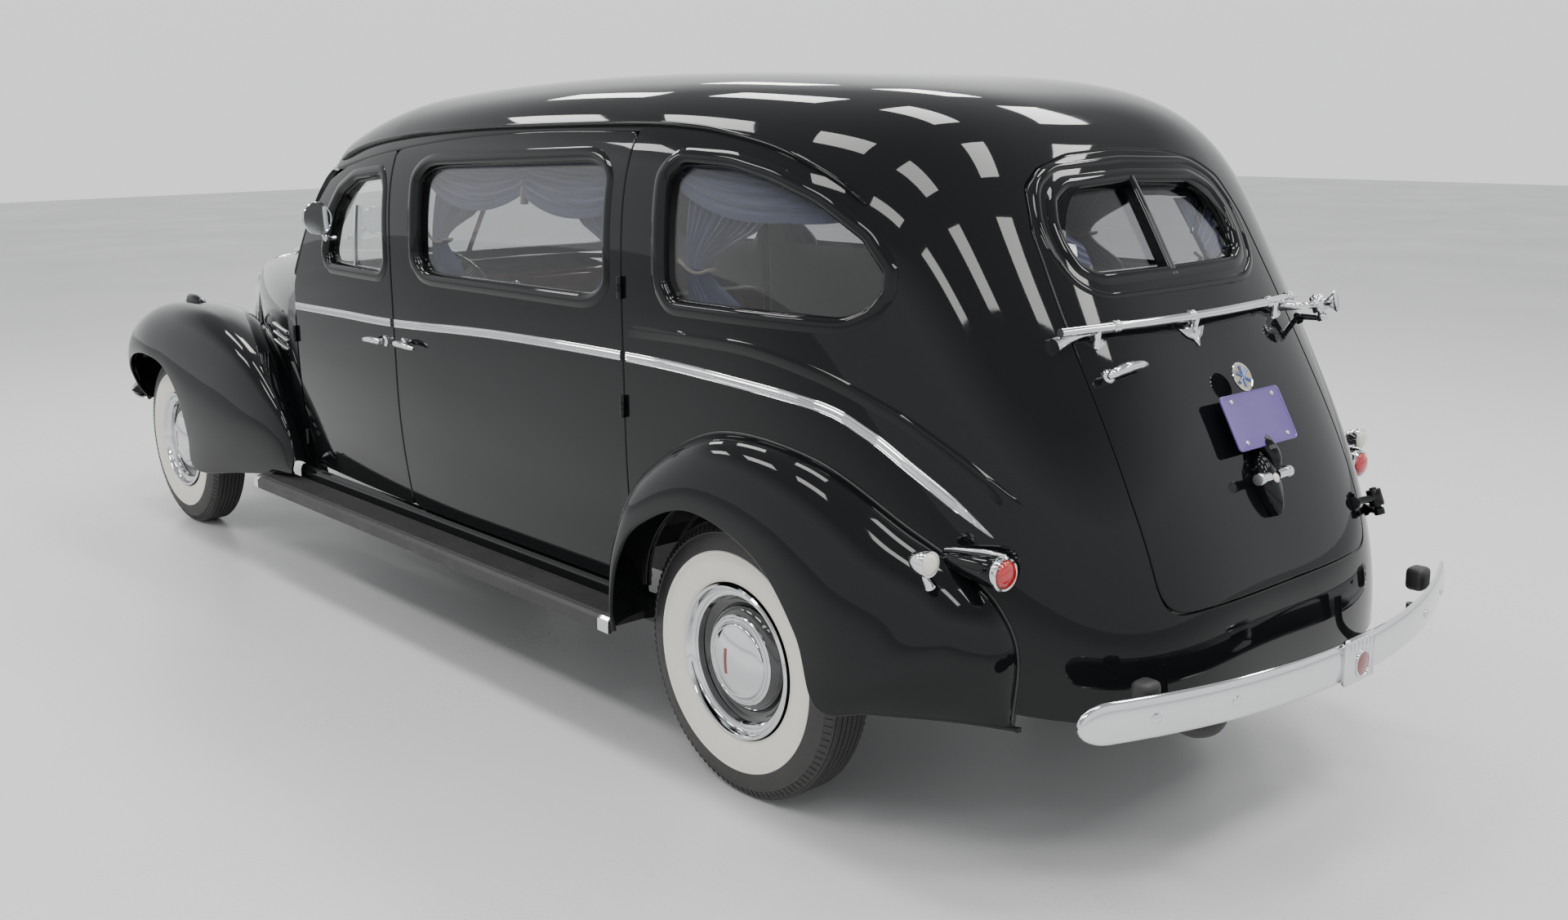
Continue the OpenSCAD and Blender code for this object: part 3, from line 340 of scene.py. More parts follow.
def spun(name, profile, centre, axis, body, slot, materials, steps=64, pick=None, angle=35):
    """A turned piece: the profile's (along, radius) points are spun round the axis."""
    axis = Vector(axis).normalized()
    side = axis.orthogonal().normalized()
    c = Vector(centre)
    me = bpy.data.meshes.new(name)
    pts = [c + axis * a + side * r for a, r in profile]
    me.from_pydata(pts, [(i, i + 1) for i in range(len(pts) - 1)], [])
    o = bpy.data.objects.new(name, me)
    bpy.context.scene.collection.objects.link(o)
    bpy.ops.object.select_all(action="DESELECT")
    o.select_set(True)
    bpy.context.view_layer.objects.active = o
    bpy.ops.object.mode_set(mode="EDIT")
    bpy.ops.mesh.select_all(action="SELECT")
    bpy.ops.mesh.spin(steps=steps, angle=math.tau, center=c, axis=axis)
    bpy.ops.mesh.select_all(action="SELECT")
    bpy.ops.mesh.remove_doubles(threshold=0.00002)
    bpy.ops.mesh.normals_make_consistent(inside=False)
    bpy.ops.object.mode_set(mode="OBJECT")
    o = finish_piece(o, body, slot, materials, angle)
    if pick:
        for f in o.data.polygons:
            d = f.center - c
            along = d.dot(axis)
            f.material_index = pick(along, (d - axis * along).length, f.normal.dot(axis))
    return o


def block(name, low, high, bevel, body, slot, materials, segments=3):
    """A block between two corners, with its edges rounded."""
    low, high = Vector(low), Vector(high)
    bpy.ops.object.select_all(action="DESELECT")
    bpy.ops.mesh.primitive_cube_add(size=1, location=(low + high) / 2)
    o = bpy.context.active_object
    o.name = o.data.name = name
    o.scale = high - low
    bpy.ops.object.transform_apply(location=True, rotation=True, scale=True)
    bpy.ops.object.mode_set(mode="EDIT")
    bpy.ops.mesh.select_all(action="SELECT")
    bpy.ops.mesh.bevel(offset=bevel, segments=segments, profile=0.5, affect="EDGES")
    bpy.ops.object.mode_set(mode="OBJECT")
    return finish_piece(o, body, slot, materials, 50)


def joined(name, pieces):
    bpy.ops.object.select_all(action="DESELECT")
    for p in pieces:
        p.select_set(True)
    bpy.context.view_layer.objects.active = pieces[0]
    bpy.ops.object.join()
    o = bpy.context.view_layer.objects.active
    o.name = o.data.name = name
    return o


# Materials.
MATERIALS = {}


def add_node(tree, kind, values=None, **settings):
    n = tree.nodes.new(kind)
    for k, v in settings.items():
        setattr(n, k, v)
    for k, v in (values or {}).items():
        if isinstance(v, bpy.types.NodeSocket):
            tree.links.new(v, n.inputs[k])
        else:
            n.inputs[k].default_value = v
    return n


def shader_group(name, inputs, outputs):
    g = bpy.data.node_groups.new(name, "ShaderNodeTree")
    for label, kind, value in inputs:
        s = g.interface.new_socket(name=label, in_out="INPUT", socket_type=kind)
        s.default_value = value
    for label, kind in outputs:
        g.interface.new_socket(name=label, in_out="OUTPUT", socket_type=kind)
    return g, g.nodes.new("NodeGroupInput").outputs, g.nodes.new("NodeGroupOutput").inputs


def haze_group():
    """Polishing haze: a roughness that varies in patches and fine marks, and a height for a faint ripple."""
    g, i, out = shader_group(
        "polish_haze",
        [("Patch Scale", "NodeSocketFloat", 3.0), ("Ripple Scale", "NodeSocketFloat", 260.0),
         ("Low", "NodeSocketFloat", 0.03), ("High", "NodeSocketFloat", 0.08)],
        [("Roughness", "NodeSocketFloat"), ("Height", "NodeSocketFloat"), ("Patch", "NodeSocketFloat")],
    )
    place = add_node(g, "ShaderNodeTexCoord").outputs["Object"]
    patch = add_node(g, "ShaderNodeTexNoise", {"Vector": place, "Scale": i[0], "Detail": 6.0, "Roughness": 0.6})
    marks = add_node(g, "ShaderNodeTexNoise", {"Vector": place, "Scale": 90.0, "Detail": 4.0, "Roughness": 0.7})
    both = add_node(g, "ShaderNodeMath", {0: patch.outputs[0], 1: marks.outputs[0]}, operation="MULTIPLY")
    rough = add_node(g, "ShaderNodeMapRange", {"Value": both.outputs[0], "From Min": 0.12, "From Max": 0.42,
        "To Min": i[2], "To Max": i[3]})
    ripple = add_node(g, "ShaderNodeTexNoise", {"Vector": place, "Scale": i[1], "Detail": 2.0})
    g.links.new(rough.outputs[0], out[0])
    g.links.new(ripple.outputs[0], out[1])
    g.links.new(patch.outputs[0], out[2])
    return g


def film_group():
    """Road film: a mask that is strongest near the ground and broken up by fine spots."""
    g, i, out = shader_group(
        "road_film",
        [("Top", "NodeSocketFloat", 0.7), ("Spots", "NodeSocketFloat", 40.0),
            ("Amount", "NodeSocketFloat", 0.3)],
        [("Mask", "NodeSocketFloat")],
    )
    place = add_node(g, "ShaderNodeTexCoord").outputs["Object"]
    z = add_node(g, "ShaderNodeSeparateXYZ", {0: place}).outputs[2]
    low = add_node(g, "ShaderNodeMapRange", {"Value": z, "From Min": 0.0, "From Max": i[0], "To Min": 1.0,
        "To Max": 0.0})
    spots = add_node(g, "ShaderNodeTexNoise", {"Vector": place, "Scale": i[1], "Detail": 8.0,
        "Roughness": 0.75})
    m = add_node(g, "ShaderNodeMath", {0: low.outputs[0], 1: spots.outputs[0]}, operation="MULTIPLY")
    m = add_node(g, "ShaderNodeMath", {0: m.outputs[0], 1: i[2]}, operation="MULTIPLY", use_clamp=True)
    g.links.new(m.outputs[0], out[0])
    return g


def weave_group():
    """Crossed threads: a height and a mask for the thread that lies on top."""
    g, i, out = shader_group(
        "crossed_threads",
        [("Threads", "NodeSocketFloat", 600.0)],
        [("Height", "NodeSocketFloat"), ("Mask", "NodeSocketFloat")],
    )
    place = add_node(g, "ShaderNodeTexCoord").outputs["Object"]
    warp = add_node(g, "ShaderNodeTexWave", {"Vector": place, "Scale": i[0], "Distortion": 0.6},
        bands_direction="Z")
    turned = add_node(g, "ShaderNodeMapping", {"Vector": place, "Rotation": (0, 0, 0.785)})
    weft = add_node(g, "ShaderNodeTexWave", {"Vector": turned.outputs[0], "Scale": i[0], "Distortion": 0.6},
        bands_direction="X")
    h = add_node(g, "ShaderNodeMath", {0: warp.outputs[1], 1: weft.outputs[1]}, operation="MAXIMUM")
    m = add_node(g, "ShaderNodeMath", {0: warp.outputs[1], 1: weft.outputs[1]}, operation="GREATER_THAN")
    g.links.new(h.outputs[0], out[0])
    g.links.new(m.outputs[0], out[1])
    return g


def finish(name, low, high, rough=(0.3, 0.5), patch=4.0, ripple=200.0, bump=0.1, depth=0.0002, film=0.0,
    film_colour=(0.12, 0.11, 0.1), weave=0.0, **plain):
    """A Principled finish whose colour, roughness and bump all vary over the surface."""
    m = bpy.data.materials.new(name)
    m.use_nodes = True
    t = m.node_tree
    shader = t.nodes["Principled BSDF"]
    haze = add_node(t, "ShaderNodeGroup", node_tree=bpy.data.node_groups["polish_haze"])
    for k, v in {"Patch Scale": patch, "Ripple Scale": ripple, "Low": rough[0], "High": rough[1]}.items():
        haze.inputs[k].default_value = v
    colour = add_node(t, "ShaderNodeMix", {"Factor": haze.outputs["Patch"], 6: (*low, 1), 7: (*high, 1)},
        data_type="RGBA").outputs[2]
    height = haze.outputs["Height"]
    if weave:
        threads = add_node(t, "ShaderNodeGroup", node_tree=bpy.data.node_groups["crossed_threads"])
        threads.inputs["Threads"].default_value = weave
        dark = add_node(t, "ShaderNodeMix", {"Factor": threads.outputs["Mask"], 6: (0.8, 0.8, 0.8, 1),
            7: (1.1, 1.1, 1.1, 1)}, data_type="RGBA")
        colour = add_node(t, "ShaderNodeMix", {"Factor": 1.0, 6: colour, 7: dark.outputs[2]},
            data_type="RGBA", blend_type="MULTIPLY").outputs[2]
        height = add_node(t, "ShaderNodeMath", {0: threads.outputs["Height"], 1: haze.outputs["Height"]},
            operation="ADD").outputs[0]
    roughness = haze.outputs["Roughness"]
    if film:
        dust = add_node(t, "ShaderNodeGroup", node_tree=bpy.data.node_groups["road_film"])
        dust.inputs["Amount"].default_value = film
        colour = add_node(t, "ShaderNodeMix", {"Factor": dust.outputs[0], 6: colour, 7: (*film_colour, 1)},
            data_type="RGBA").outputs[2]
        roughness = add_node(t, "ShaderNodeMath", {0: roughness, 1: dust.outputs[0]}, operation="ADD",
            use_clamp=True).outputs[0]
    b = add_node(t, "ShaderNodeBump", {"Height": height, "Strength": bump, "Distance": depth})
    t.links.new(colour, shader.inputs["Base Color"])
    t.links.new(roughness, shader.inputs["Roughness"])
    t.links.new(b.outputs[0], shader.inputs["Normal"])
    for k, v in plain.items():
        shader.inputs[k.replace("_", " ")].default_value = v
    MATERIALS[name] = m
    return m


def glass(name, tint, rough=(0.0, 0.02)):
    """Window glass that lets lamps through, with faint smears."""
    m = finish(name, tint, tuple(c * 0.97 for c in tint), rough, 2.0, 30.0, 0.01, 0.0001,
        Transmission_Weight=1.0, IOR=1.45)
    t = m.node_tree
    out, shader = t.nodes["Material Output"], t.nodes["Principled BSDF"]
    through = add_node(t, "ShaderNodeBsdfTransparent", {"Color": (*tint, 1)})
    shadow = add_node(t, "ShaderNodeLightPath").outputs["Is Shadow Ray"]
    both = add_node(t, "ShaderNodeMixShader", {0: shadow, 1: shader.outputs[0], 2: through.outputs[0]})
    t.links.new(both.outputs[0], out.inputs["Surface"])
    return m


# Outlines of the openings, as four sides each.
ARCH_LOW = 0.42
ARCH_R = TYRE_R + 0.062
REAR_DOOR_HALF = 0.442
REAR_DOOR_LOW = 0.645
REAR_DOOR_TOP = 1.652


def loop_of(sides, counts, passes):
    return soften(np.vstack([even(s, n) for s, n in zip(sides, counts)]), passes)


def front_door_sides():
    edge, front = POST_Y - GAP / 2, COWL_Y + 0.005
    top = float(door_top(edge)) - GAP
    a = [(edge, SILL_Z), (edge, top)]
    b = [(edge, top)] + [(y, float(door_top(y)) - GAP) for y in np.linspace(edge, COWL_Y + 0.64, 5)[1:]]
    b += [(COWL_Y + 0.48, float(door_top(COWL_Y + 0.48)) - GAP - 0.004), (COWL_Y + 0.34, 1.532)]
    c = [(COWL_Y + 0.34, 1.532), (COWL_Y + 0.172, 1.372), (COWL_Y + 0.082, 1.25), (front, 1.14),
        (front, SILL_Z)]
    return [a, b, c, [(front, SILL_Z), (edge, SILL_Z)]]


def front_window_sides():
    r, f = POST_Y - 0.045, COWL_Y
    return [
        [(r, 1.275), (r, 1.52)],
        [(r, 1.52), (r - 0.03, 1.568), (f + 0.56, 1.548), (f + 0.45, 1.5)],
        [(f + 0.45, 1.5), (f + 0.38, 1.43), (f + 0.318, 1.275)],
        [(f + 0.318, 1.275), (f + 0.345, 1.235), (r - 0.03, 1.235), (r, 1.275)],
    ]


def side_door_sides():
    r, f = REAR_POST_Y - GAP / 2, POST_Y + GAP / 2
    top = [(y, float(door_top(y)) - GAP) for y in np.linspace(r, f, 9)]
    return [[(r, SILL_Z), top[0]], top, [top[-1], (f, SILL_Z)], [(f, SILL_Z), (r, SILL_Z)]]


def side_window_sides():
    r, f = REAR_POST_Y - 0.08, POST_Y + 0.16
    return [
        [(r, 1.3), (r, 1.59)],
        [(r, 1.59), (r - 0.05, 1.642), (f + 0.05, 1.606), (f, 1.56)],
        [(f, 1.56), (f, 1.295)],
        [(f, 1.295), (f + 0.045, 1.25), (r - 0.05, 1.255), (r, 1.3)],
    ]


def quarter_window_sides():
    def q(y, z):
        return (float(wrap_of_y(SWEEP_Y + y, z)), z)

    return [
        [q(0.8, 1.305), q(0.828, 1.35), q(0.822, 1.4), q(0.76, 1.475)],
        [q(0.76, 1.475), q(0.63, 1.555), q(0.48, 1.605), q(0.33, 1.635), q(0.14, 1.642), q(0.095, 1.6)],
        [q(0.095, 1.6), q(0.105, 1.325)],
        [q(0.105, 1.325), q(0.15, 1.272), q(0.74, 1.275), q(0.8, 1.305)],
    ]


def mirrored(points):
    return [(-x, z) for x, z in points[::-1]]


def rear_loop(side, low, n, m, passes=3):
    round_top = even(side + mirrored(side)[1:], n)
    foot = even([(-side[0][0], side[0][1]), (0, low), side[0]], m)
    return soften(np.vstack([round_top, foot]), passes)


def rear_door_side(gap):
    h, low, top = REAR_DOOR_HALF + gap, REAR_DOOR_LOW - gap, REAR_DOOR_TOP + gap
    return [
        (h - 0.06, low), (h - 0.016, low + 0.017), (h, REAR_DOOR_LOW + 0.06), (h + 0.006, 0.9), (h, 1.3),
        (h - 0.012, 1.47), (h - 0.05, 1.572 + gap), (h - 0.13, 1.618 + gap), (0.2, top - 0.01), (0, top),
    ]


REAR_WINDOW = [(0.28, 1.368), (0.328, 1.392), (0.345, 1.44), (0.345, 1.49), (0.318, 1.545), (0.26, 1.572),
    (0, 1.582)]


def on_side(s):
    return lambda p, t=0.0: np.stack([s * form_x(p[..., 0], p[..., 1], t), p[..., 0], p[..., 1]], -1)


def on_quarter(s):
    return lambda p, t=0.0: wrap_point(p[..., 0], p[..., 1], t) * (s, 1, 1)


def on_tail(p, t=0.0):
    return np.stack([p[..., 0], form_y(p[..., 0], p[..., 1], t), p[..., 1]], -1)


def panel(name, outline, window, place, body, slot, rings=30):
    """A pressed panel with a rolled outer edge, a window opening, and a trimmed inner side."""
    edge = [(0, 0.014), (0, 0.004), (0.0012, 0.0012), (0.004, 0.0)]
    layers = [place(spread(outline, -d), t) for d, t in edge]
    start = spread(outline, -0.004)
    layers += [place(mix(start, window, k / rings)) for k in range(1, rings + 1)]
    layers += [place(window, 0.012), place(window, WALL)]
    inner = spread(outline, -0.02)
    layers += [place(mix(window, inner, k / 8), WALL) for k in range(1, 9)]
    g = np.stack(layers)
    o = mesh_piece(name, g, grid_faces(len(g), g.shape[1], ring=True, tube=True), body, slot,
        ["black_paint", "trim_cloth"])
    p = np.array([f.center for f in o.data.polygons])
    if place is on_tail:
        inside = p[:, 1] < form_y(p[:, 0], p[:, 2], WALL * 0.85)
    else:
        inside = np.abs(p[:, 0]) < form_x(p[:, 1], p[:, 2], WALL * 0.85)
    o.data.polygons.foreach_set("material_index", inside.astype(np.int32))
    true_normals(o)
    return o


def pane(name, window, place, body, slot, material, depth=0.026, thick=0.005):
    c = window.mean(0)
    rings = [mix(spread(window, -0.001), c, k / 8) for k in range(8)]
    front = [place(r, depth) for r in rings] + [np.repeat(place(c[None], depth), len(window), 0)]
    back = [place(r, depth + thick) for r in rings] + [np.repeat(place(c[None], depth + thick), len(window), 0)]
    g = np.stack(front[::-1] + back)
    return mesh_piece(name, g, grid_faces(len(g), g.shape[1], ring=True), body, slot, [material])


SURROUND = [
    (-0.013, -0.028), (-0.013, -0.012), (-0.009, -0.003), (-0.003, 0.003), (0.004, 0.0052), (0.012, 0.005),
    (0.02, 0.0032), (0.027, 0.0006), (0.028, -0.003), (0.004, -0.004), (-0.005, -0.028),
]


def surround(name, window, place, body, section=SURROUND, slot="black_paint", material="black_paint", move=0.0):
    p = place(spread(window, move))
    n = form_normal(p)
    out = place(spread(window, move + 0.01)) - p
    t = np.roll(p, -1, 0) - np.roll(p, 1, 0)
    flip = np.sum(np.cross(n, t) * out) < 0
    if flip:
        p, n = p[::-1], n[::-1]
    return sweep(name, p, n, section, body, slot, [material], closed=True)


class HEARSE_OT_shell(bpy.types.Operator):
    """Roof, quarters and tail as one continuous pressing with its lining"""

    bl_idname = "hearse.shell"
    bl_label = "Body Shell"
    bl_options = {"REGISTER", "UNDO"}

    def execute(self, context):
        self.build(context.scene.hearse_sizes)
        return {"FINISHED"}

    def build(self, sizes):
        n_rear, n_top, n_front, n_arch, n_cross, rings = 90, 84, 60, 100, 84, 30
        start = REAR_POST_Y + GAP / 2 - SWEEP_Y
        seam = np.linspace(start, CORNER_A, n_top + 1)
        rear_z = np.linspace(ARCH_LOW, SEAM_Z, n_rear + 1)
        low_angle = math.asin((ARCH_LOW - TYRE_R + 0.04) / ARCH_R)
        arch = [(FR - ARCH_R * math.cos(a), TYRE_R + ARCH_R * math.sin(a)) for a in np.linspace(low_angle,
            math.pi - low_angle, 40)]
        arch = [(float(wrap_of_y(y, z)), z) for y, z in arch]
        foot = [(start, arch[0][1])] + arch + [(CORNER_A, ARCH_LOW)]
        outline = np.vstack([
            [(CORNER_A, z) for z in rear_z[:-1]],
            [(a, SEAM_Z) for a in seam[:0:-1]],
            even([(start, SEAM_Z), (start, foot[0][1])], n_front),
            even(foot, n_arch),
        ])
        window = loop_of(quarter_window_sides(), (n_rear, n_top, n_front, n_arch), 16)
        verts, faces, base = [], [], 0
        for s in BOTH:
            g = np.stack([on_quarter(s)(mix(outline, window, k / rings)) for k in range(rings + 1)])
            verts.append(g.reshape(-1, 3))
            f = grid_faces(rings + 1, len(outline), ring=True) + base
            faces.append(f if s > 0 else f[:, ::-1])
            base += g[..., 0].size
        corner = wrap_point(CORNER_A, rear_z)
        seam_end = corner[-1]
        cross = np.sin(np.pi / 2 * np.linspace(-1, 1, n_cross + 1))
        frame_loop = np.vstack([
            corner[:-1, [0, 2]], np.stack([cross[:0:-1] * seam_end[0], np.full(n_cross, SEAM_Z)], -1),
            corner[:0:-1, [0, 2]] * (-1, 1), even([(-corner[0, 0], ARCH_LOW), (corner[0, 0], ARCH_LOW)], 40),
        ])
        hole = rear_loop(rear_door_side(GAP), REAR_DOOR_LOW - GAP, 2 * n_rear + n_cross, 40)
        g = np.stack([on_tail(mix(frame_loop, hole, k / 14)) for k in range(15)])
        g[0, :n_rear] = corner[:-1]
        g[0, n_rear + n_cross:2 * n_rear + n_cross] = (corner * (-1, 1, 1))[:0:-1]
        verts.append(g.reshape(-1, 3))
        faces.append(grid_faces(15, len(frame_loop), ring=True)[:, ::-1] + base)
        base += g[..., 0].size
        front = COWL_Y + 0.368
        ye = np.linspace(front, REAR_POST_Y + GAP / 2, 86)[:-1]
        low = np.where(ye < CROWN_Y + 0.2, door_top(ye), SEAM_Z)
        edge = np.vstack([np.stack([form_x(ye, low), ye, low], -1), wrap_point(seam, SEAM_Z)])
        t = (edge[:, 1] - front) / (edge[-1, 1] - front)
        x = edge[:, :1] * cross
        tail = form_y(cross * seam_end[0], SEAM_Z)
        y = mix(front - 0.07 * (1 - cross**2), tail, t[:, None])
        z = np.maximum(form_z(x, y), edge[:, 2:])
        z[:, 0] = z[:, -1] = edge[:, 2]
        z[-1] = SEAM_Z
        y[:, 0] = y[:, -1] = edge[:, 1]
        g = np.stack([x, y, z], -1)
        verts.append(g.reshape(-1, 3))
        faces.append(grid_faces(len(edge), n_cross + 1)[:, ::-1] + base)
        me = bpy.data.meshes.new("body_shell")
        me.from_pydata(np.vstack(verts).tolist(), [], np.vstack(faces).tolist())
        bm = bmesh.new()
        bm.from_mesh(me)
        bmesh.ops.remove_doubles(bm, verts=bm.verts, dist=0.0004)
        bmesh.ops.recalc_face_normals(bm, faces=bm.faces)
        bm.to_mesh(me)
        bm.free()
        centre = np.array([f.center for f in me.polygons])
        if np.sum(form_normal(centre) * np.array([f.normal for f in me.polygons])) < 0:
            me.flip_normals()
        o = bpy.data.objects.new("body_shell", me)
        bpy.context.scene.collection.objects.link(o)
        for m in ("black_paint", "headliner"):
            me.materials.append(MATERIALS[m])
        modify(o, "SOLIDIFY", thickness=0.03, offset=-1, material_offset=1)
        finish_piece(o, "body", "black_paint", outward=False)
        true_normals(o)
        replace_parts(o, "roof_panel", "quarter_panel_left", "quarter_panel_right", "rear_body_frame")
        glasses = []
        for s in BOTH:
            surround(f"quarter_window_surround_{SIDE[s]}", window, on_quarter(s), "body")
            glasses.append(pane(f"quarter_pane_{SIDE[s]}", window, on_quarter(s), "body", "tinted_glass",
                "tinted_glass"))
        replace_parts(joined("quarter_panes", glasses), "quarter_glass")


class HEARSE_OT_doors(bpy.types.Operator):
    """Front, side and rear doors with their windows, surrounds and glass"""

    bl_idname = "hearse.doors"
    bl_label = "Doors"
    bl_options = {"REGISTER", "UNDO"}

    def execute(self, context):
        self.build(context.scene.hearse_sizes)
        return {"FINISHED"}

    def build(self, sizes):
        counts = (90, 80, 90, 80)
        for s in BOTH:
            for kind, sides, hole, tint in (
                ("front", front_door_sides(), front_window_sides(), "clear_glass"),
                ("side", side_door_sides(), side_window_sides(), "tinted_glass"),
            ):
                body, node = f"{SIDE[s]}_{kind}_door", f"{kind}_door_{SIDE[s]}"
                outline, window = loop_of(sides, counts, 4), loop_of(hole, counts, 22)
                o = panel(f"{kind}_door_skin_{SIDE[s]}", outline, window, on_side(s), body, "black_paint")
                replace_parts(o, node)
                surround(f"{kind}_window_surround_{SIDE[s]}", window, on_side(s), body)
                p = pane(f"{kind}_pane_{SIDE[s]}", window, on_side(s), body, tint, tint)
                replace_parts(p, f"{kind}_door_glass_{SIDE[s]}")
        outline = rear_loop(rear_door_side(0), REAR_DOOR_LOW, 260, 80)
        window = rear_loop(REAR_WINDOW, 1.366, 260, 80, 16)
        o = panel("rear_door_skin", outline, window, on_tail, "tail_door", "black_paint")
        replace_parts(o, "rear_door")
        surround("rear_window_surround", window, on_tail, "tail_door")
        low = [(0.026, -0.003), (0.03, 0.001), (0.036, 0.0035), (0.044, 0.0035), (0.05, 0.001), (0.054, -0.003)]
        surround("rear_window_bead", window, on_tail, "tail_door", low, move=0.012)
        p = pane("rear_pane", window, on_tail, "tail_door", "tinted_glass", "tinted_glass")
        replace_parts(p, "rear_door_glass")
        z = np.linspace(1.35, 1.585, 24)
        path = np.stack([np.zeros(24), form_y(0, z), z], -1)
        sweep("rear_window_bar", path, form_normal(path),
            [(-0.013, -0.03), (-0.013, 0.001), (-0.008, 0.005), (0.008, 0.005), (0.013, 0.001),
            (0.013, -0.03)], "tail_door", "black_paint", ["black_paint"])


def blend(a, b, angles):
    s, c = np.sin(angles), 1 - np.cos(angles)
    return np.stack([mix(a[:, None, k], b[:, None, k], s if k == 0 else c) for k in range(3)], -1)


HOOD_REAR = COWL_Y - 0.11
HOOD_FRONT = FF - 0.47
SCREEN_FOOT = 1.165


def hood_t(y):
    return (HOOD_REAR - y) / (HOOD_REAR - HOOD_FRONT)


def hood_half(y):
    return mix(0.768, 0.235, hood_t(y) ** 1.25)


def hood_top(y):
    return SCREEN_FOOT + 0.006 - 0.082 * hood_t(y) ** 2.2


def hood_edge(y):
    return 0.965 - 0.045 * hood_t(y) ** 2


LIP_X = 0.948
FRONT_CROWN = [
    (0.69, -0.4, 0.5), (0.7, -0.455, 0.62), (0.712, -0.44, 0.77), (0.735, -0.33, 0.885), (0.762, -0.11, 0.955),
    (0.785, 0.2, 0.975), (0.8, 0.5, 0.945), (0.815, 0.8, 0.845), (0.822, 1.03, 0.7), (0.826, 1.14, 0.59),
        (0.828, 1.195, 0.47),
]
FRONT_LIP = [
    (0.8, -0.415, 0.49), (0.845, -0.412, 0.56), (0.89, -0.365, 0.66), (0.925, -0.215, 0.735), (LIP_X, 0, 0.765),
    (LIP_X, 0.2, 0.735), (LIP_X, 0.35, 0.62), (LIP_X, 0.425, 0.47), (LIP_X - 0.006, 0.47, 0.335),
        (0.9, 0.82, 0.375), (0.85, 1.195, 0.425),
]
FRONT_SEAM = [
    (float(hood_half(max(FF + y, HOOD_FRONT + 0.06))) + 0.002, y, z)
    for y, z in ((-0.4, 0.5), (-0.455, 0.62), (-0.43, 0.74), (-0.31, 0.8), (-0.09, 0.825), (0.21, 0.84),
        (0.51, 0.84), (0.81, 0.79))
] + [(0.77, 1.02, 0.67), (0.778, 1.12, 0.57), (0.78, 1.195, 0.44)]
REAR_SEAM = [
    (-0.424, 0.4), (-0.424, 0.52), (-0.415, 0.652), (-0.31, 0.826), (-0.035, 0.966), (0.298, 0.95),
        (0.58, 0.82),
    (0.715, 0.741), (0.79, 0.66), (0.825, 0.56), (0.815, 0.405),
]
REAR_LIP = [
    (LIP_X - 0.02, -0.405, 0.372), (LIP_X - 0.008, -0.398, 0.45), (LIP_X - 0.002, -0.355, 0.59),
        (LIP_X, -0.255, 0.705),
    (LIP_X, -0.04, 0.785), (LIP_X, 0.21, 0.72), (LIP_X, 0.36, 0.565), (LIP_X - 0.006, 0.425, 0.4),
        (0.905, 0.56, 0.415),
    (0.82, 0.73, 0.425), (0.706, 0.835, 0.4),
]


class HEARSE_OT_fenders(bpy.types.Operator):
    """Front and rear fenders with rolled lips and the welting against the body"""

    bl_idname = "hearse.fenders"
    bl_label = "Fenders"
    bl_options = {"REGISTER", "UNDO"}

    def execute(self, context):
        self.build(context.scene.hearse_sizes)
        return {"FINISHED"}

    def build(self, sizes):
        n = 150
        for s in BOTH:
            flip = np.array((s, 1, 1))
            crown, lip, seam = (curve(np.array(c) + (0, FF, 0), n) for c in (FRONT_CROWN, FRONT_LIP,
                FRONT_SEAM))
            inner = (seam + (-0.05, 0, -0.02))[:, None]
            g = np.hstack([inner, blend(crown, seam, np.radians(np.arange(90, 0, -4))),
                blend(crown, lip, np.radians(np.arange(0, 91, 3)))])
            o = mesh_piece(f"front_fender_skin_{SIDE[s]}", g * flip, grid_faces(n + 1, g.shape[1]),
                *PAINTED, outward=False)
            self.thicken(o, s, f"front_fender_{SIDE[s]}")
            tube(f"front_fender_bead_{SIDE[s]}", (lip + (-0.006, 0, 0)) * flip, 0.006, *PAINTED, 0)
            line = curve(np.array(REAR_SEAM) + (FR, 0), n)
            seam = np.column_stack([form_x(line[:, 0] - 0.01, line[:, 1]) + 0.0015, line])
            lip = curve(np.array(REAR_LIP) + (0, FR, 0), n)
            g = np.hstack([(seam + (-0.02, 0, -0.004))[:, None],
                blend(seam, lip, np.radians(np.arange(0, 91, 2.5)))])
            o = mesh_piece(f"rear_fender_skin_{SIDE[s]}", g * flip, grid_faces(n + 1, g.shape[1]), *PAINTED,
                outward=False)
            self.thicken(o, s, f"rear_fender_{SIDE[s]}")
            tube(f"rear_fender_bead_{SIDE[s]}", (lip + (-0.006, 0, 0)) * flip, 0.006, *PAINTED, 0)
            on_body = np.stack([form_x(seam[:, 1], seam[:, 2]) + 0.001, seam[:, 1], seam[:, 2]], -1)
            tube(f"rear_fender_welt_{SIDE[s]}", on_body * flip, 0.004, "body", "step_rubber", ["welting"], 0)

    def thicken(self, o, s, node):
        """Gives the sheet its thickness on the inner side, then hides the plain panel that it stands for."""
        n = np.array([f.normal for f in o.data.polygons])
        if n[:, 0].sum() * s < 0:
            o.data.flip_normals()
        modify(o, "SOLIDIFY", thickness=0.008, offset=-1)
        bpy.ops.object.shade_smooth_by_angle(angle=math.radians(40))
        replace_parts(o, node)


def signed_power(c, k):
    return np.sign(c) * np.abs(c) ** k


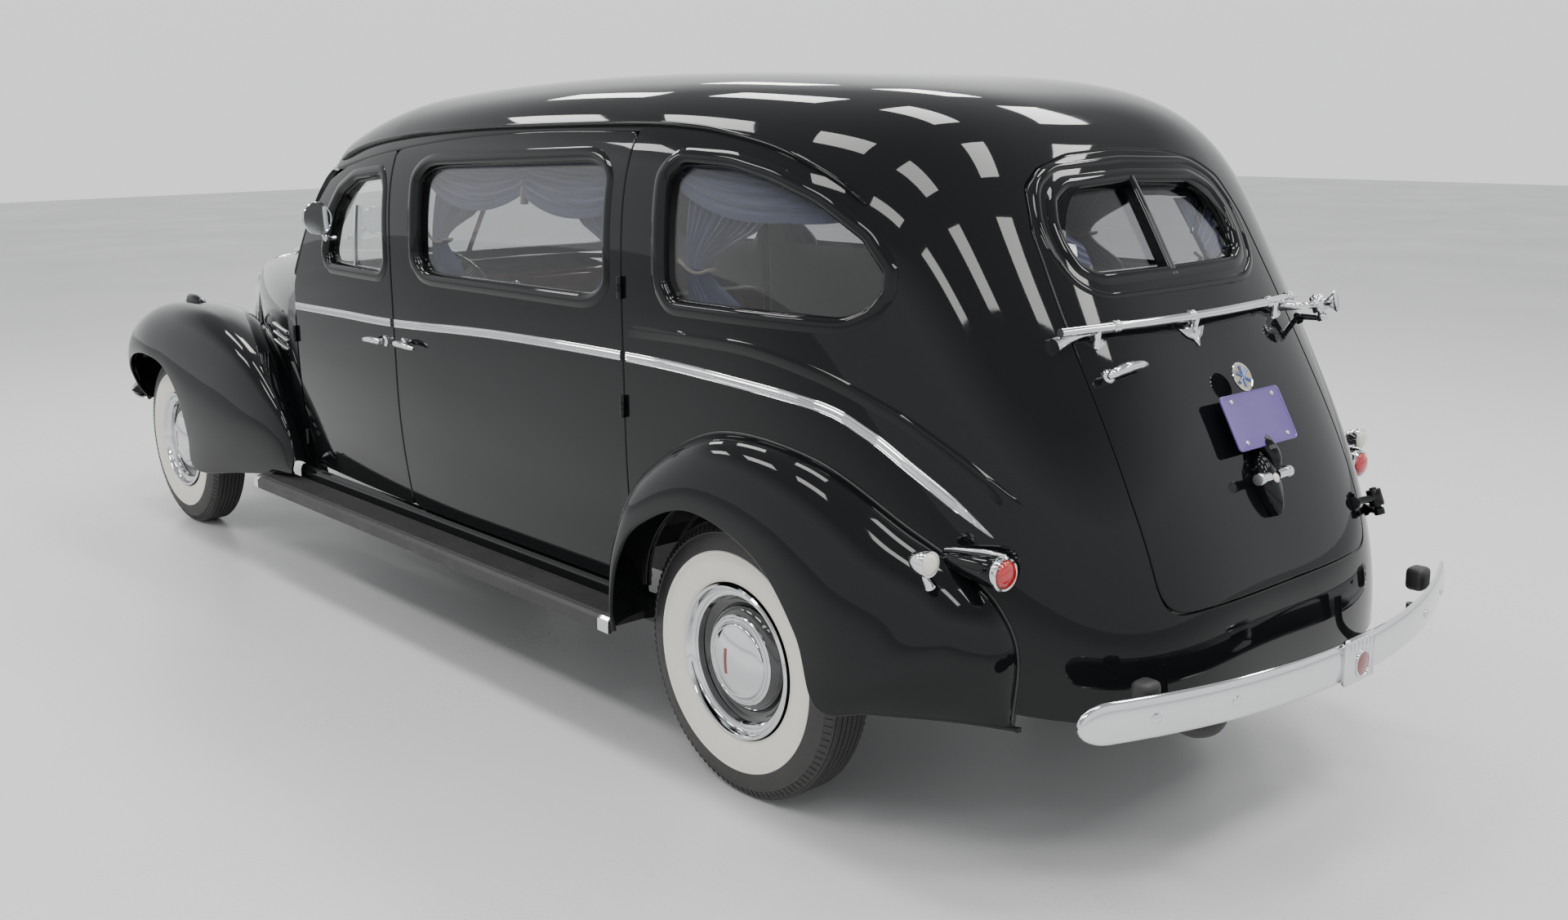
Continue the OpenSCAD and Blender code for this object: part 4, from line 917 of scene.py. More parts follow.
class HEARSE_OT_nose(bpy.types.Operator):
    """Hood, its sides, the nose with its grille bars, the cowl and the windshield frame"""

    bl_idname = "hearse.nose"
    bl_label = "Hood and Nose"
    bl_options = {"REGISTER", "UNDO"}

    def execute(self, context):
        self.build(context.scene.hearse_sizes)
        return {"FINISHED"}

    def build(self, sizes):
        y = np.linspace(HOOD_REAR, HOOD_FRONT, 90)[:, None]
        a = np.linspace(0, np.pi, 81)[None]
        w, h, e, t = hood_half(y), hood_top(y), hood_edge(y), hood_t(y)
        s = np.sin(a)
        ridge = 0.008 * np.exp(-((np.cos(a) * w / 0.035) ** 2)) * smooth(t * 4)
        g = np.stack([w * signed_power(np.cos(a), 0.62), y + 0.04 * (1 - s) * t,
            e + (h - e) * s**0.72 + ridge], -1)
        self.thin("hood_skin", g, "hood_lid", "black_paint", 0.008, "hood")
        parts = []
        for side in BOTH:
            u = np.linspace(0, 1, 14)[None]
            g = np.stack([side * (w - 0.016 * u), y + 0.04 * t + 0 * u, mix(e - 0.001, 0.64, u)], -1)
            parts.append(self.thin(f"hood_side_{SIDE[side]}", g, "body", "black_paint", 0.008))
            for k in range(3):
                z = 0.935 - 0.034 * k
                ys = np.linspace(HOOD_REAR - 0.06, HOOD_REAR - 0.36, 30)
                path = np.stack([side * (hood_half(ys) - 0.001), ys, np.full(30, z)], -1)
                sweep(f"hood_louvre_{SIDE[side]}_{k}", path, np.tile((side, 0, 0.0), (30, 1)),
                    arc_section(0.016, 0.007), *BRIGHT)
        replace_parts(joined("hood_side_panels", parts), "hood_sides")
        t = np.linspace(0, 1, 60)[:, None]
        ang = np.pi / 2 * t
        w = float(hood_half(HOOD_FRONT)) * np.cos(ang * 0.86) ** 0.5
        top = float(hood_top(HOOD_FRONT))
        h = mix(top, 0.64, 1 - np.cos(ang * 0.9) ** 0.5)
        b = np.linspace(0, np.pi, 81)[None]
        g = np.stack([w * signed_power(np.cos(b), 0.62),
            HOOD_FRONT - 0.005 - 0.19 * np.sin(ang) + 0.04 * (1 - np.sin(b)) * (1 - t),
            0.56 + (h - 0.56) * np.sin(b) ** 0.55], -1)
        self.thin("nose_skin", g, "body", "black_paint", 0.008, "grille_shell")
        rows = np.linspace(8, 56, 9).astype(int)
        for i, r in enumerate(rows):
            path = g[r, 4:-4]
            n = path - (0, HOOD_FRONT + 0.1, 0.62)
            n /= np.linalg.norm(n, axis=1, keepdims=True)
            sweep(f"grille_bar_{i}", path, n, arc_section(0.009, 0.007, 8), *BRIGHT)
        self.mouth(g[-1])
        set_materials(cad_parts["cowl"], "black_paint")
        self.screen()
        self.ornament()

    def mouth(self, arch):
        base = arch * (1, 1, 0) + (0, 0, 0.56)
        fill = np.stack([mix(arch, base, u) + (0, 0.014, 0) for u in np.linspace(0, 1, 6)])
        self.thin("nose_mouth", fill, "body", "black_paint", 0.004)
        half = float(arch[:, 0].max())
        for k in range(9):
            x = half * (k - 4) / 4.6
            top = float(np.interp(x, arch[::-1, 0], arch[::-1, 2])) - 0.006
            tube(f"mouth_bar_{k}", [(x, arch[0, 1] + 0.006, 0.565), (x, arch[0, 1] + 0.006, top)], 0.0032,
                *BRIGHT, 4)

    def thin(self, name, g, body, slot, thick, node=None):
        o = mesh_piece(name, g, grid_faces(*g.shape[:2]), body, slot, ["black_paint"], outward=False)
        n = np.array([f.normal for f in o.data.polygons])
        c = np.array([f.center for f in o.data.polygons])
        if np.sum(n * (c - (0, HOOD_FRONT + 0.45, 0.7))) < 0:
            o.data.flip_normals()
        modify(o, "SOLIDIFY", thickness=thick, offset=-1)
        bpy.ops.object.shade_smooth_by_angle(angle=math.radians(40))
        if node:
            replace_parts(o, node)
        return o

    def screen(self):
        def plane(x, z):
            return COWL_Y - 0.028 + (z - SCREEN_FOOT) * 0.76 - 0.1 * (1 - (np.abs(x) / 0.735) ** 1.6)

        top = 1.655
        side = []
        for z in np.linspace(SCREEN_FOOT, top - 0.11, 9):
            side.append((float(form_x(plane(0.735, z) + 0.002, z)) - 0.002, float(z)))
        last = side[-1][0]
        side += [(last - 0.06, top - 0.038), (last - 0.2, top - 0.008), (0, top + 0.012)]
        f = SCREEN_FOOT
        hole_side = [(0.6, f + 0.042), (0.662, f + 0.08), (0.655, f + 0.2), (0.628, f + 0.33),
            (0.56, f + 0.405), (0.4, f + 0.425), (0, f + 0.435)]
        outline, hole = rear_loop(side, f + 0.008, 240, 80, 4), rear_loop(hole_side, f + 0.04, 240, 80, 10)

        def place(p, d=0.0):
            return np.stack([p[:, 0] * (1 - 0.44 * d), plane(p[:, 0], p[:, 1]) + d, p[:, 1]], -1)

        layers = [place(outline, 0.004)] + [place(mix(spread(outline, -0.003), hole, k / 8)) for k in range(9)]
        layers += [place(spread(hole, -0.004), 0.006), place(hole,
            0.034)] + [place(mix(hole, outline, k / 4), 0.034) for k in range(1, 5)]
        g = np.stack(layers)
        o = mesh_piece("windshield_surround", g, grid_faces(len(g), g.shape[1], ring=True, tube=True), *PAINTED)
        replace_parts(o, "windshield_frame")
        c = np.array([0, f + 0.23])
        front = [place(mix(hole * (0.998, 1), c, k / 8), 0.012) for k in range(9)]
        back = [place(mix(hole * (0.998, 1), c, k / 8), 0.017) for k in range(9)]
        g = np.stack(front[::-1] + back)
        o = mesh_piece("windshield_panes", g, grid_faces(len(g), g.shape[1], ring=True), "body",
            "clear_glass", ["clear_glass"])
        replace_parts(o, "windshield_glass")
        z = np.linspace(f + 0.03, f + 0.44, 30)
        path = np.stack([np.zeros(30), plane(0, z) + 0.004, z], -1)
        n = np.tile((0, -0.796, 0.605), (30, 1))
        sweep("windshield_bar", path, n, arc_section(0.024, 0.012), *BRIGHT)

    def ornament(self):
        y, z = HOOD_FRONT - 0.02, float(hood_top(HOOD_FRONT))
        path = [(0, y + 0.42, z + 0.06), (0, y + 0.25, z + 0.048), (0, y + 0.1, z + 0.034),
            (0, y - 0.02, z + 0.012), (0, y - 0.06, z - 0.012)]
        tube("hood_ornament", path, 0.014, "hood_lid", "chrome", ["chrome"], 30, [0.3, 0.7, 1.0, 1.25, 0.5])


def set_materials(o, *names):
    o.data.materials.clear()
    for n in names:
        o.data.materials.append(MATERIALS[n])


def side_line(points, s, n=120, out=0.0, smoothing=True):
    """A line on the body's side, from its y and z, with the normals there."""
    p = curve(points, n) if smoothing else even(points, n, True)
    q = on_side(s)(p)
    m = form_normal(q)
    return q + m * out, m


BELT = [(-0.9, 1.06), (-0.47, 1.072), (-0.05, 1.08), (0.6, 1.108), (1.25, 1.116), (1.62, 1.108),
    (1.97, 1.08), (2.12, 1.03), (2.243, 0.957), (2.34, 0.893), (2.428, 0.827)]
CREASE = [(1.27, 1.194), (1.55, 1.2), (1.78, 1.194), (1.99, 1.155), (2.173, 1.09), (2.3, 1.02),
    (2.41, 0.942), (2.47, 0.89)]
DRIP = [(-0.5, 1.6), (-0.3, 1.65), (-0.01, 1.684), (0.35, 1.706), (0.68, 1.716), (1.218, 1.724),
    (1.45, 1.716), (1.6, 1.698), (1.75, 1.67), (1.87, 1.633), (1.97, 1.59), (2.044, 1.542)]


class HEARSE_OT_mouldings(bpy.types.Operator):
    """Belt mouldings, drip rails, the raised crease of the quarters and the vent bars on the front doors"""

    bl_idname = "hearse.mouldings"
    bl_label = "Mouldings"
    bl_options = {"REGISTER", "UNDO"}

    def execute(self, context):
        self.build(context.scene.hearse_sizes)
        return {"FINISHED"}

    def build(self, sizes):
        h = sizes.belt_width / 2
        section = [(-h, -0.001), (-h, 0.002)]
        for k in range(5):
            c = mix(-h * 0.8, h * 0.8, k / 4)
            section += [(c - h * 0.14, 0.0045), (c, 0.0075 - 0.0008 * abs(k - 2)), (c + h * 0.14, 0.0045)]
        section += [(h, 0.002), (h, -0.001)]
        edges = ((COWL_Y + 0.012, POST_Y - 0.006, "front_door"),
            (POST_Y + 0.006, REAR_POST_Y - 0.006, "side_door"), (REAR_POST_Y + 0.006, 2.43, "body"))
        for s in BOTH:
            p, n = side_line(BELT, s, 400)
            for low, high, where in edges:
                keep = (p[:, 1] > low) & (p[:, 1] < high)
                q, m = p[keep], n[keep]
                k = np.ones((len(q), 2))
                if where == "body":
                    k[:, 0] = np.clip((1.02 - np.linspace(0, 1, len(q))) * 5, 0.12, 1)
                body = "body" if where == "body" else f"{SIDE[s]}_{where}"
                sweep(f"belt_moulding_{where}_{SIDE[s]}", q, m, section, body, "chrome", ["chrome"], scale=k)
            p, n = side_line(CREASE, s, 160)
            ridge = [(-0.03, -0.002), (-0.018, 0.0022), (-0.004, 0.0065), (0.002, 0.0062), (0.0065, 0.002),
                (0.01, -0.002)]
            k = np.ones((len(p), 2))
            k[:, 1] = np.minimum(1, np.minimum(np.linspace(0, 8, len(p)), np.linspace(6, 0, len(p))) + 0.02)
            sweep(f"quarter_crease_{SIDE[s]}", p, n, [(s * u, v) for u, v in ridge], *PAINTED, scale=k)
            p, n = side_line(DRIP, s, 200, 0.001)
            k = np.ones((len(p), 2)) * np.clip(np.minimum(np.linspace(0, 20, len(p)),
                np.linspace(14, 0, len(p))) + 0.3, 0, 1)[:, None]
            sweep(f"drip_rail_{SIDE[s]}", p, n, [(-0.006, -0.002), (-0.0065, 0.006), (-0.0035, 0.011),
                (0.0, 0.012), (0.0035, 0.011), (0.0065, 0.006), (0.006, -0.002)], *PAINTED, scale=k)
        z = np.linspace(1.24, 1.452, 20)
        for s in BOTH:
            y = POST_Y - 0.305 + (z - 1.24) * 0.06
            p = on_side(s)(np.stack([y, z], -1), 0.018)
            n = form_normal(on_side(s)(np.stack([y, z], -1)))
            sweep(f"vent_bar_{SIDE[s]}", p, n, [(-0.006, -0.006), (-0.006, 0.004), (0, 0.007),
                (0.006, 0.004), (0.006, -0.006)], f"{SIDE[s]}_front_door", "chrome", ["chrome"])


class HEARSE_OT_wheels(bpy.types.Operator):
    """Tyres with whitewalls and a ribbed tread, wheels with trim rings and caps"""

    bl_idname = "hearse.wheels"
    bl_label = "Wheels"
    bl_options = {"REGISTER", "UNDO"}

    def execute(self, context):
        self.build(context.scene.hearse_sizes)
        return {"FINISHED"}

    def build(self, sizes):
        for end, x in (("front", FRONT_HUB.x), ("rear", REAR_HUB.x)):
            y = FF if end == "front" else FR
            for s in BOTH:
                self.one(sizes, Vector((s * x, y, TYRE_R)), s, f"{end}_{SIDE[s]}", f"{SIDE[s]}_{end}_wheel")

    def one(self, sizes, hub, s, tail, body):
        white = sizes.whitewall_radius
        bead = 0.2045
        wall = [
            (bead, 0.056), (bead + 0.004, 0.066), (bead + 0.012, 0.0715), (bead + 0.03, 0.0765),
                (0.25, 0.0802), (0.27, 0.0808),
            (white - 0.008, 0.08), (white - 0.0055, 0.0792), (white - 0.004, 0.0803), (white, 0.0802),
                (white + 0.002, 0.0784), (0.305, 0.0768),
            (0.322, 0.073), (0.336, 0.0685), (0.3385, 0.0692), (0.341, 0.067), (0.349, 0.0625),
                (0.355, 0.058), (0.3625, 0.0525),
        ]
        tread = []
        for k in range(6):
            a, b = 0.048 - k * 0.0165, 0.048 - k * 0.0165 - 0.0125
            crown = TYRE_R - 0.0004 - 0.0022 * ((a + b) / 2 / 0.055) ** 2
            tread += [(crown - 0.0062, a + 0.0012), (crown, a), (crown, b), (crown - 0.0062, b - 0.0012)]
        profile = [(z, r) for r, z in wall] + [(z, r) for r, z in tread] + [(-z, r) for r, z in wall[::-1]]
        profile += [(-0.045, bead - 0.001), (0.045, bead - 0.001)]
        profile.append(profile[0])
        o = spun(
            f"tyre_{tail}", profile, hub, (s, 0, 0), body, "whitewall_tyre", ["tyre_black", "whitewall"], 144,
            lambda a, r, n: 1 if a > 0.05 and bead + 0.002 < r < white + 0.001 else 0, 30,
        )
        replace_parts(o, f"tyre_{tail.split('_')[0]}_{tail.split('_')[1]}")
        self.shoulder(hub, s, tail, body)
        disc = [(0.058, 0.2025), (0.0665, 0.2), (0.0655, 0.194), (0.049, 0.187), (0.038, 0.176),
            (0.034, 0.165), (0.028, 0.158), (0.024, 0.152)]
        disc += [(0.024, 0.146), (0.04, 0.138), (0.049, 0.125), (0.05, 0.112), (0.047, 0.105),
            (0.0475, 0.022), (-0.05, 0.022), (-0.05, 0.12), (-0.06, 0.19), (-0.058, 0.2025), (-0.02, 0.2),
            (0.02, 0.2), (0.058, 0.2025)]
        o = spun(f"wheel_disc_{tail}", disc, hub, (s, 0, 0), body, "wheel_black", ["wheel_black"], 96)
        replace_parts(o, f"wheel_{tail}")
        ring = [(0.0665, 0.2035), (0.0735, 0.2045), (0.0775, 0.2005), (0.077, 0.196), (0.0715, 0.1925),
            (0.064, 0.1905), (0.058, 0.187), (0.0555, 0.182), (0.057, 0.178), (0.0575, 0.174),
            (0.0545, 0.1705), (0.048, 0.169), (0.042, 0.1675), (0.039, 0.1665), (0.0385, 0.168),
            (0.05, 0.1765), (0.052, 0.189), (0.064, 0.1995), (0.0665, 0.2035)]
        spun(f"trim_ring_{tail}", ring, hub, (s, 0, 0), body, "chrome", ["chrome"], 128)
        cap = [(0.048, 0.119), (0.0525, 0.1195), (0.0545, 0.1175), (0.0545, 0.1145), (0.052, 0.1125),
            (0.0535, 0.1105), (0.057, 0.1095), (0.0575, 0.1065), (0.055, 0.1045), (0.0565, 0.1025),
            (0.0615, 0.101), (0.0655, 0.0975), (0.0675, 0.0935), (0.067, 0.0905), (0.0685, 0.0875)]
        cap += [(0.0685 + 0.0165 * (1 - (r / 0.0875) ** 2.2), r) for r in (0.08, 0.07, 0.06, 0.05, 0.04,
            0.03, 0.02, 0.01, 0.0)]
        cap += [(0.046, 0.0), (0.046, 0.119), (0.048, 0.119)]
        spun(f"hub_cap_{tail}", cap, hub, (s, 0, 0), body, "chrome", ["chrome"], 96)
        t = np.linspace(-0.034, 0.034, 15)
        path = np.stack([s * (0.0688 + 0.0165 * (1 - (np.hypot(t, 0.022) / 0.0875) ** 2.2)) + hub.x,
            np.full(15, hub.y - 0.022), hub.z + t], -1)
        sweep(f"cap_inlay_{tail}", path, np.tile((s, 0.0, 0.0), (15, 1)),
            arc_section(0.013, 0.0012, 6, 0.0004), body, "lamp_glass", ["red_enamel"])
        valve = hub + Vector((s * 0.06, 0.118, 0.118))
        tube(f"valve_{tail}", [valve, valve + Vector((s * 0.012, 0.006, 0.006)),
            valve + Vector((s * 0.022, 0.012, 0.012))], 0.004, body, "chrome", ["chrome"], 6)

    def shoulder(self, hub, s, tail, body):
        """The row of short bars moulded round each shoulder of the tread."""
        bars, n = [], 110
        for side in BOTH:
            for k in range(n):
                a = 2 * math.pi * k / n
                u, v = math.cos(a), math.sin(a)
                tu, tv = -v, u
                pts = []
                for along in (-0.0042, 0.0042):
                    for r, z in ((0.3405, 0.0665), (0.357, 0.0572), (0.3595, 0.0582), (0.3425, 0.0688)):
                        pts.append((hub.x + side * z, hub.y + u * r + tu * along, hub.z + v * r + tv * along))
                bars.append(pts)
        v = np.array(bars).reshape(-1, 3)
        f = np.array([(0, 1, 2, 3), (4, 7, 6, 5), (0, 4, 5, 1), (1, 5, 6, 2), (2, 6, 7, 3), (3, 7, 4, 0)])
        faces = (f[None] + 8 * np.arange(len(bars))[:, None, None]).reshape(-1, 4)
        mesh_piece(f"tread_bars_{tail}", v, faces, body, "whitewall_tyre", ["tyre_black"], 20)


class HEARSE_OT_running_boards(bpy.types.Operator):
    """Running boards with ribbed rubber tops and bright tips"""

    bl_idname = "hearse.running_boards"
    bl_label = "Running Boards"
    bl_options = {"REGISTER", "UNDO"}

    def execute(self, context):
        self.build(context.scene.hearse_sizes)
        return {"FINISHED"}

    def build(self, sizes):
        low, high = (Vector(c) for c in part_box("running_boards"))
        y0, y1, top = low.y, high.y, high.z
        out = high.x
        pieces = []
        for s in BOTH:
            section = [(0.8, top - 0.03), (0.8, top - 0.004)]
            x = 0.803
            while x < out - 0.022:
                section += [(x, top - 0.004), (x + 0.001, top - 0.0005), (x + 0.0042, top - 0.0005),
                    (x + 0.0052, top - 0.004)]
                x += 0.0078
            section += [(out - 0.014, top - 0.006), (out - 0.004, top - 0.014), (out, top - 0.024),
                (out, top - 0.046), (out - 0.012, top - 0.047), (out - 0.016, top - 0.03)]
            y = np.linspace(y0, y1, 9)
            g = np.array([[(s * a, b, c) for a, c in section] for b in y])
            m = len(section)
            faces = grid_faces(len(y), m, ring=True).tolist() + [list(range(m)), list(range(8 * m, 9 * m))]
            pieces.append(mesh_piece(f"board_{SIDE[s]}", g, faces, "body", "step_rubber", ["step_rubber"], 25))
            for end, a, b in (("front", y0, y0 + 0.03), ("rear", y1 - 0.05, y1)):
                cap = [(0.862, top + 0.0008), (out - 0.012, top - 0.0035), (out + 0.0012, top - 0.013),
                    (out + 0.0015, top - 0.046), (out - 0.004, top - 0.048), (out - 0.004, top - 0.02),
                    (out - 0.02, top - 0.008), (0.862, top - 0.004)]
                g = np.array([[(s * u, yy, w) for u, w in cap] for yy in np.linspace(a, b, 6)])
                m = len(cap)
                faces = grid_faces(6, m, ring=True).tolist() + [list(range(m)), list(range(5 * m, 6 * m))]
                o = mesh_piece(f"board_tip_{end}_{SIDE[s]}", g, faces, *BRIGHT, 35)
                modify(o, "BEVEL", width=0.0015, segments=2)
        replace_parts(joined("running_board_treads", pieces), "running_boards")
        self.aprons()

    def aprons(self):
        for s in BOTH:
            section = [(0.786, 0.449), (0.796, 0.44), (0.8, 0.425), (0.8, 0.405), (0.803, 0.372),
                (0.797, 0.372), (0.794, 0.405), (0.794, 0.424), (0.785, 0.436), (0.78, 0.445)]
            rows = [[(s * x, y, z) for x, z in section] for y in np.linspace(-0.95, 1.3, 13)]
            m = len(section)
            faces = grid_faces(13, m, ring=True).tolist() + [list(range(m)), list(range(12 * m, 13 * m))]
            mesh_piece(f"sill_apron_{SIDE[s]}", np.array(rows), faces, *PAINTED, 25)


class HEARSE_OT_bumpers(bpy.types.Operator):
    """Bowed bumper bars with rounded ends, bolts, guards and the centre medallion"""

    bl_idname = "hearse.bumpers"
    bl_label = "Bumpers"
    bl_options = {"REGISTER", "UNDO"}

    def execute(self, context):
        self.build(context.scene.hearse_sizes)
        return {"FINISHED"}

    def build(self, sizes):
        for end, way in (("rear", 1), ("front", -1)):
            low, high = (Vector(c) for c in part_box(f"{end}_bumper"))
            face = high.y if way > 0 else low.y
            half, z = high.x, 0.5
            bow = 1.87
            x = half * np.sin(np.linspace(-np.pi / 2, np.pi / 2, 121))
            y = face - way * (bow - np.sqrt(bow**2 - x**2))
            n = np.stack([x / bow, way * np.sqrt(1 - (x / bow) ** 2), 0 * x], -1)
            path = np.stack([x, y, np.full(121, z)], -1)
            tip = np.sqrt(np.clip(1 - np.maximum(0, (np.abs(x) - half + 0.07) / 0.0705) ** 2, 0.0, 1))
            face_side = [(0.048 * math.sin(a),
                -0.013 * (1 - math.cos(a) ** 0.9)) for a in np.linspace(-1.45, 1.45, 15)]
            section = [(u, v - 0.0002) for u, v in face_side] + [(u * 0.97, v - 0.005) for u,
                v in face_side[::-1]]
            k = np.stack([np.maximum(tip, 0.02), np.ones(121)], -1)
            o = sweep(f"{end}_bumper_bar", path, n, section, *BRIGHT, scale=k, angle=50)
            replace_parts(o, f"{end}_bumper")
            for i, bx in enumerate((-0.63, -0.423, 0.423, 0.63)):
                by = face - way * (bow - math.sqrt(bow**2 - bx * bx))
                m = Vector((bx / bow, way * math.sqrt(1 - (bx / bow) ** 2), 0))
                c = Vector((bx, by, z)) - m * 0.0005
                bolt = [(0, 0.013), (0.0025, 0.0125), (0.005, 0.0095), (0.0066, 0.005), (0.007, 0.0),
                    (-0.004, 0.0), (-0.004, 0.013), (0, 0.013)]
                spun(f"{end}_bumper_bolt_{i}", bolt, c - m * 0.001, m, *BRIGHT, 20)
            self.arms(end, way, face, z)
            if end == "rear":
                self.medallion(face, z)

    def arms(self, end, way, face, z):
        if end == "rear":
            back = face - 0.09
            for s in BOTH:
                path = [(s * 0.42, 2.39, 0.396), (s * 0.42, 2.7, 0.396), (s * 0.42, back - 0.05, 0.4),
                    (s * 0.42, back, 0.44), (s * 0.42, back + 0.005, 0.52)]
                tube(f"rear_bumper_arm_{SIDE[s]}", path, 0.014, "body", "frame_steel", ["frame_steel"], 24)
                block(f"rear_bumper_guard_{SIDE[s]}", (s * 0.6 - 0.028, face - 0.185, 0.5),
                    (s * 0.6 + 0.028, face - 0.135, 0.562), 0.014, "body", "chrome", ["step_rubber"])
        else:
            for s in BOTH:
                tube(f"front_bumper_arm_{SIDE[s]}", [(s * 0.42, face + 0.06, z - 0.01),
                    (s * 0.42, face + 0.2, z - 0.02)], 0.016, "body", "frame_steel", ["frame_steel"], 6)
                block(f"front_bumper_guard_{SIDE[s]}", (s * 0.34 - 0.022, face, 0.462),
                    (s * 0.34 + 0.022, face + 0.05, 0.6), 0.012, *BRIGHT)

    def medallion(self, face, z):
        x0, x1 = -0.065, 0.065
        y = face - 0.008
        parts = [block("medallion_base", (x0, y, z - 0.052), (x1, y + 0.0175, z + 0.06), 0.008, *BRIGHT)]
        for k in range(7):
            x = mix(x0 + 0.012, x1 - 0.012, k / 6)
            parts.append(block(f"medallion_rib_{k}", (x - 0.005, y + 0.008, z - 0.046),
                (x + 0.005, y + 0.0195, z + 0.056), 0.0035, *BRIGHT, 2))
        joined("bumper_medallion", parts)
        rim = [(0, 0.033), (0.004, 0.0335), (0.0055, 0.031), (0.0045, 0.0285), (0.0025, 0.0275),
            (0, 0.0275), (0, 0.033)]
        spun("medallion_rim", rim, (0, face + 0.0092, z - 0.006), (0, 1, 0), *BRIGHT, 48)
        face_disc = [(0, 0.0275), (0.002, 0.0272), (0.0035, 0.02), (0.0045, 0.01), (0.005, 0), (-0.002, 0),
            (-0.002, 0.0275), (0, 0.0275)]
        spun("medallion_enamel", face_disc, (0, face + 0.0092, z - 0.006), (0, 1, 0), "body", "lamp_glass",
            ["red_enamel"], 48)


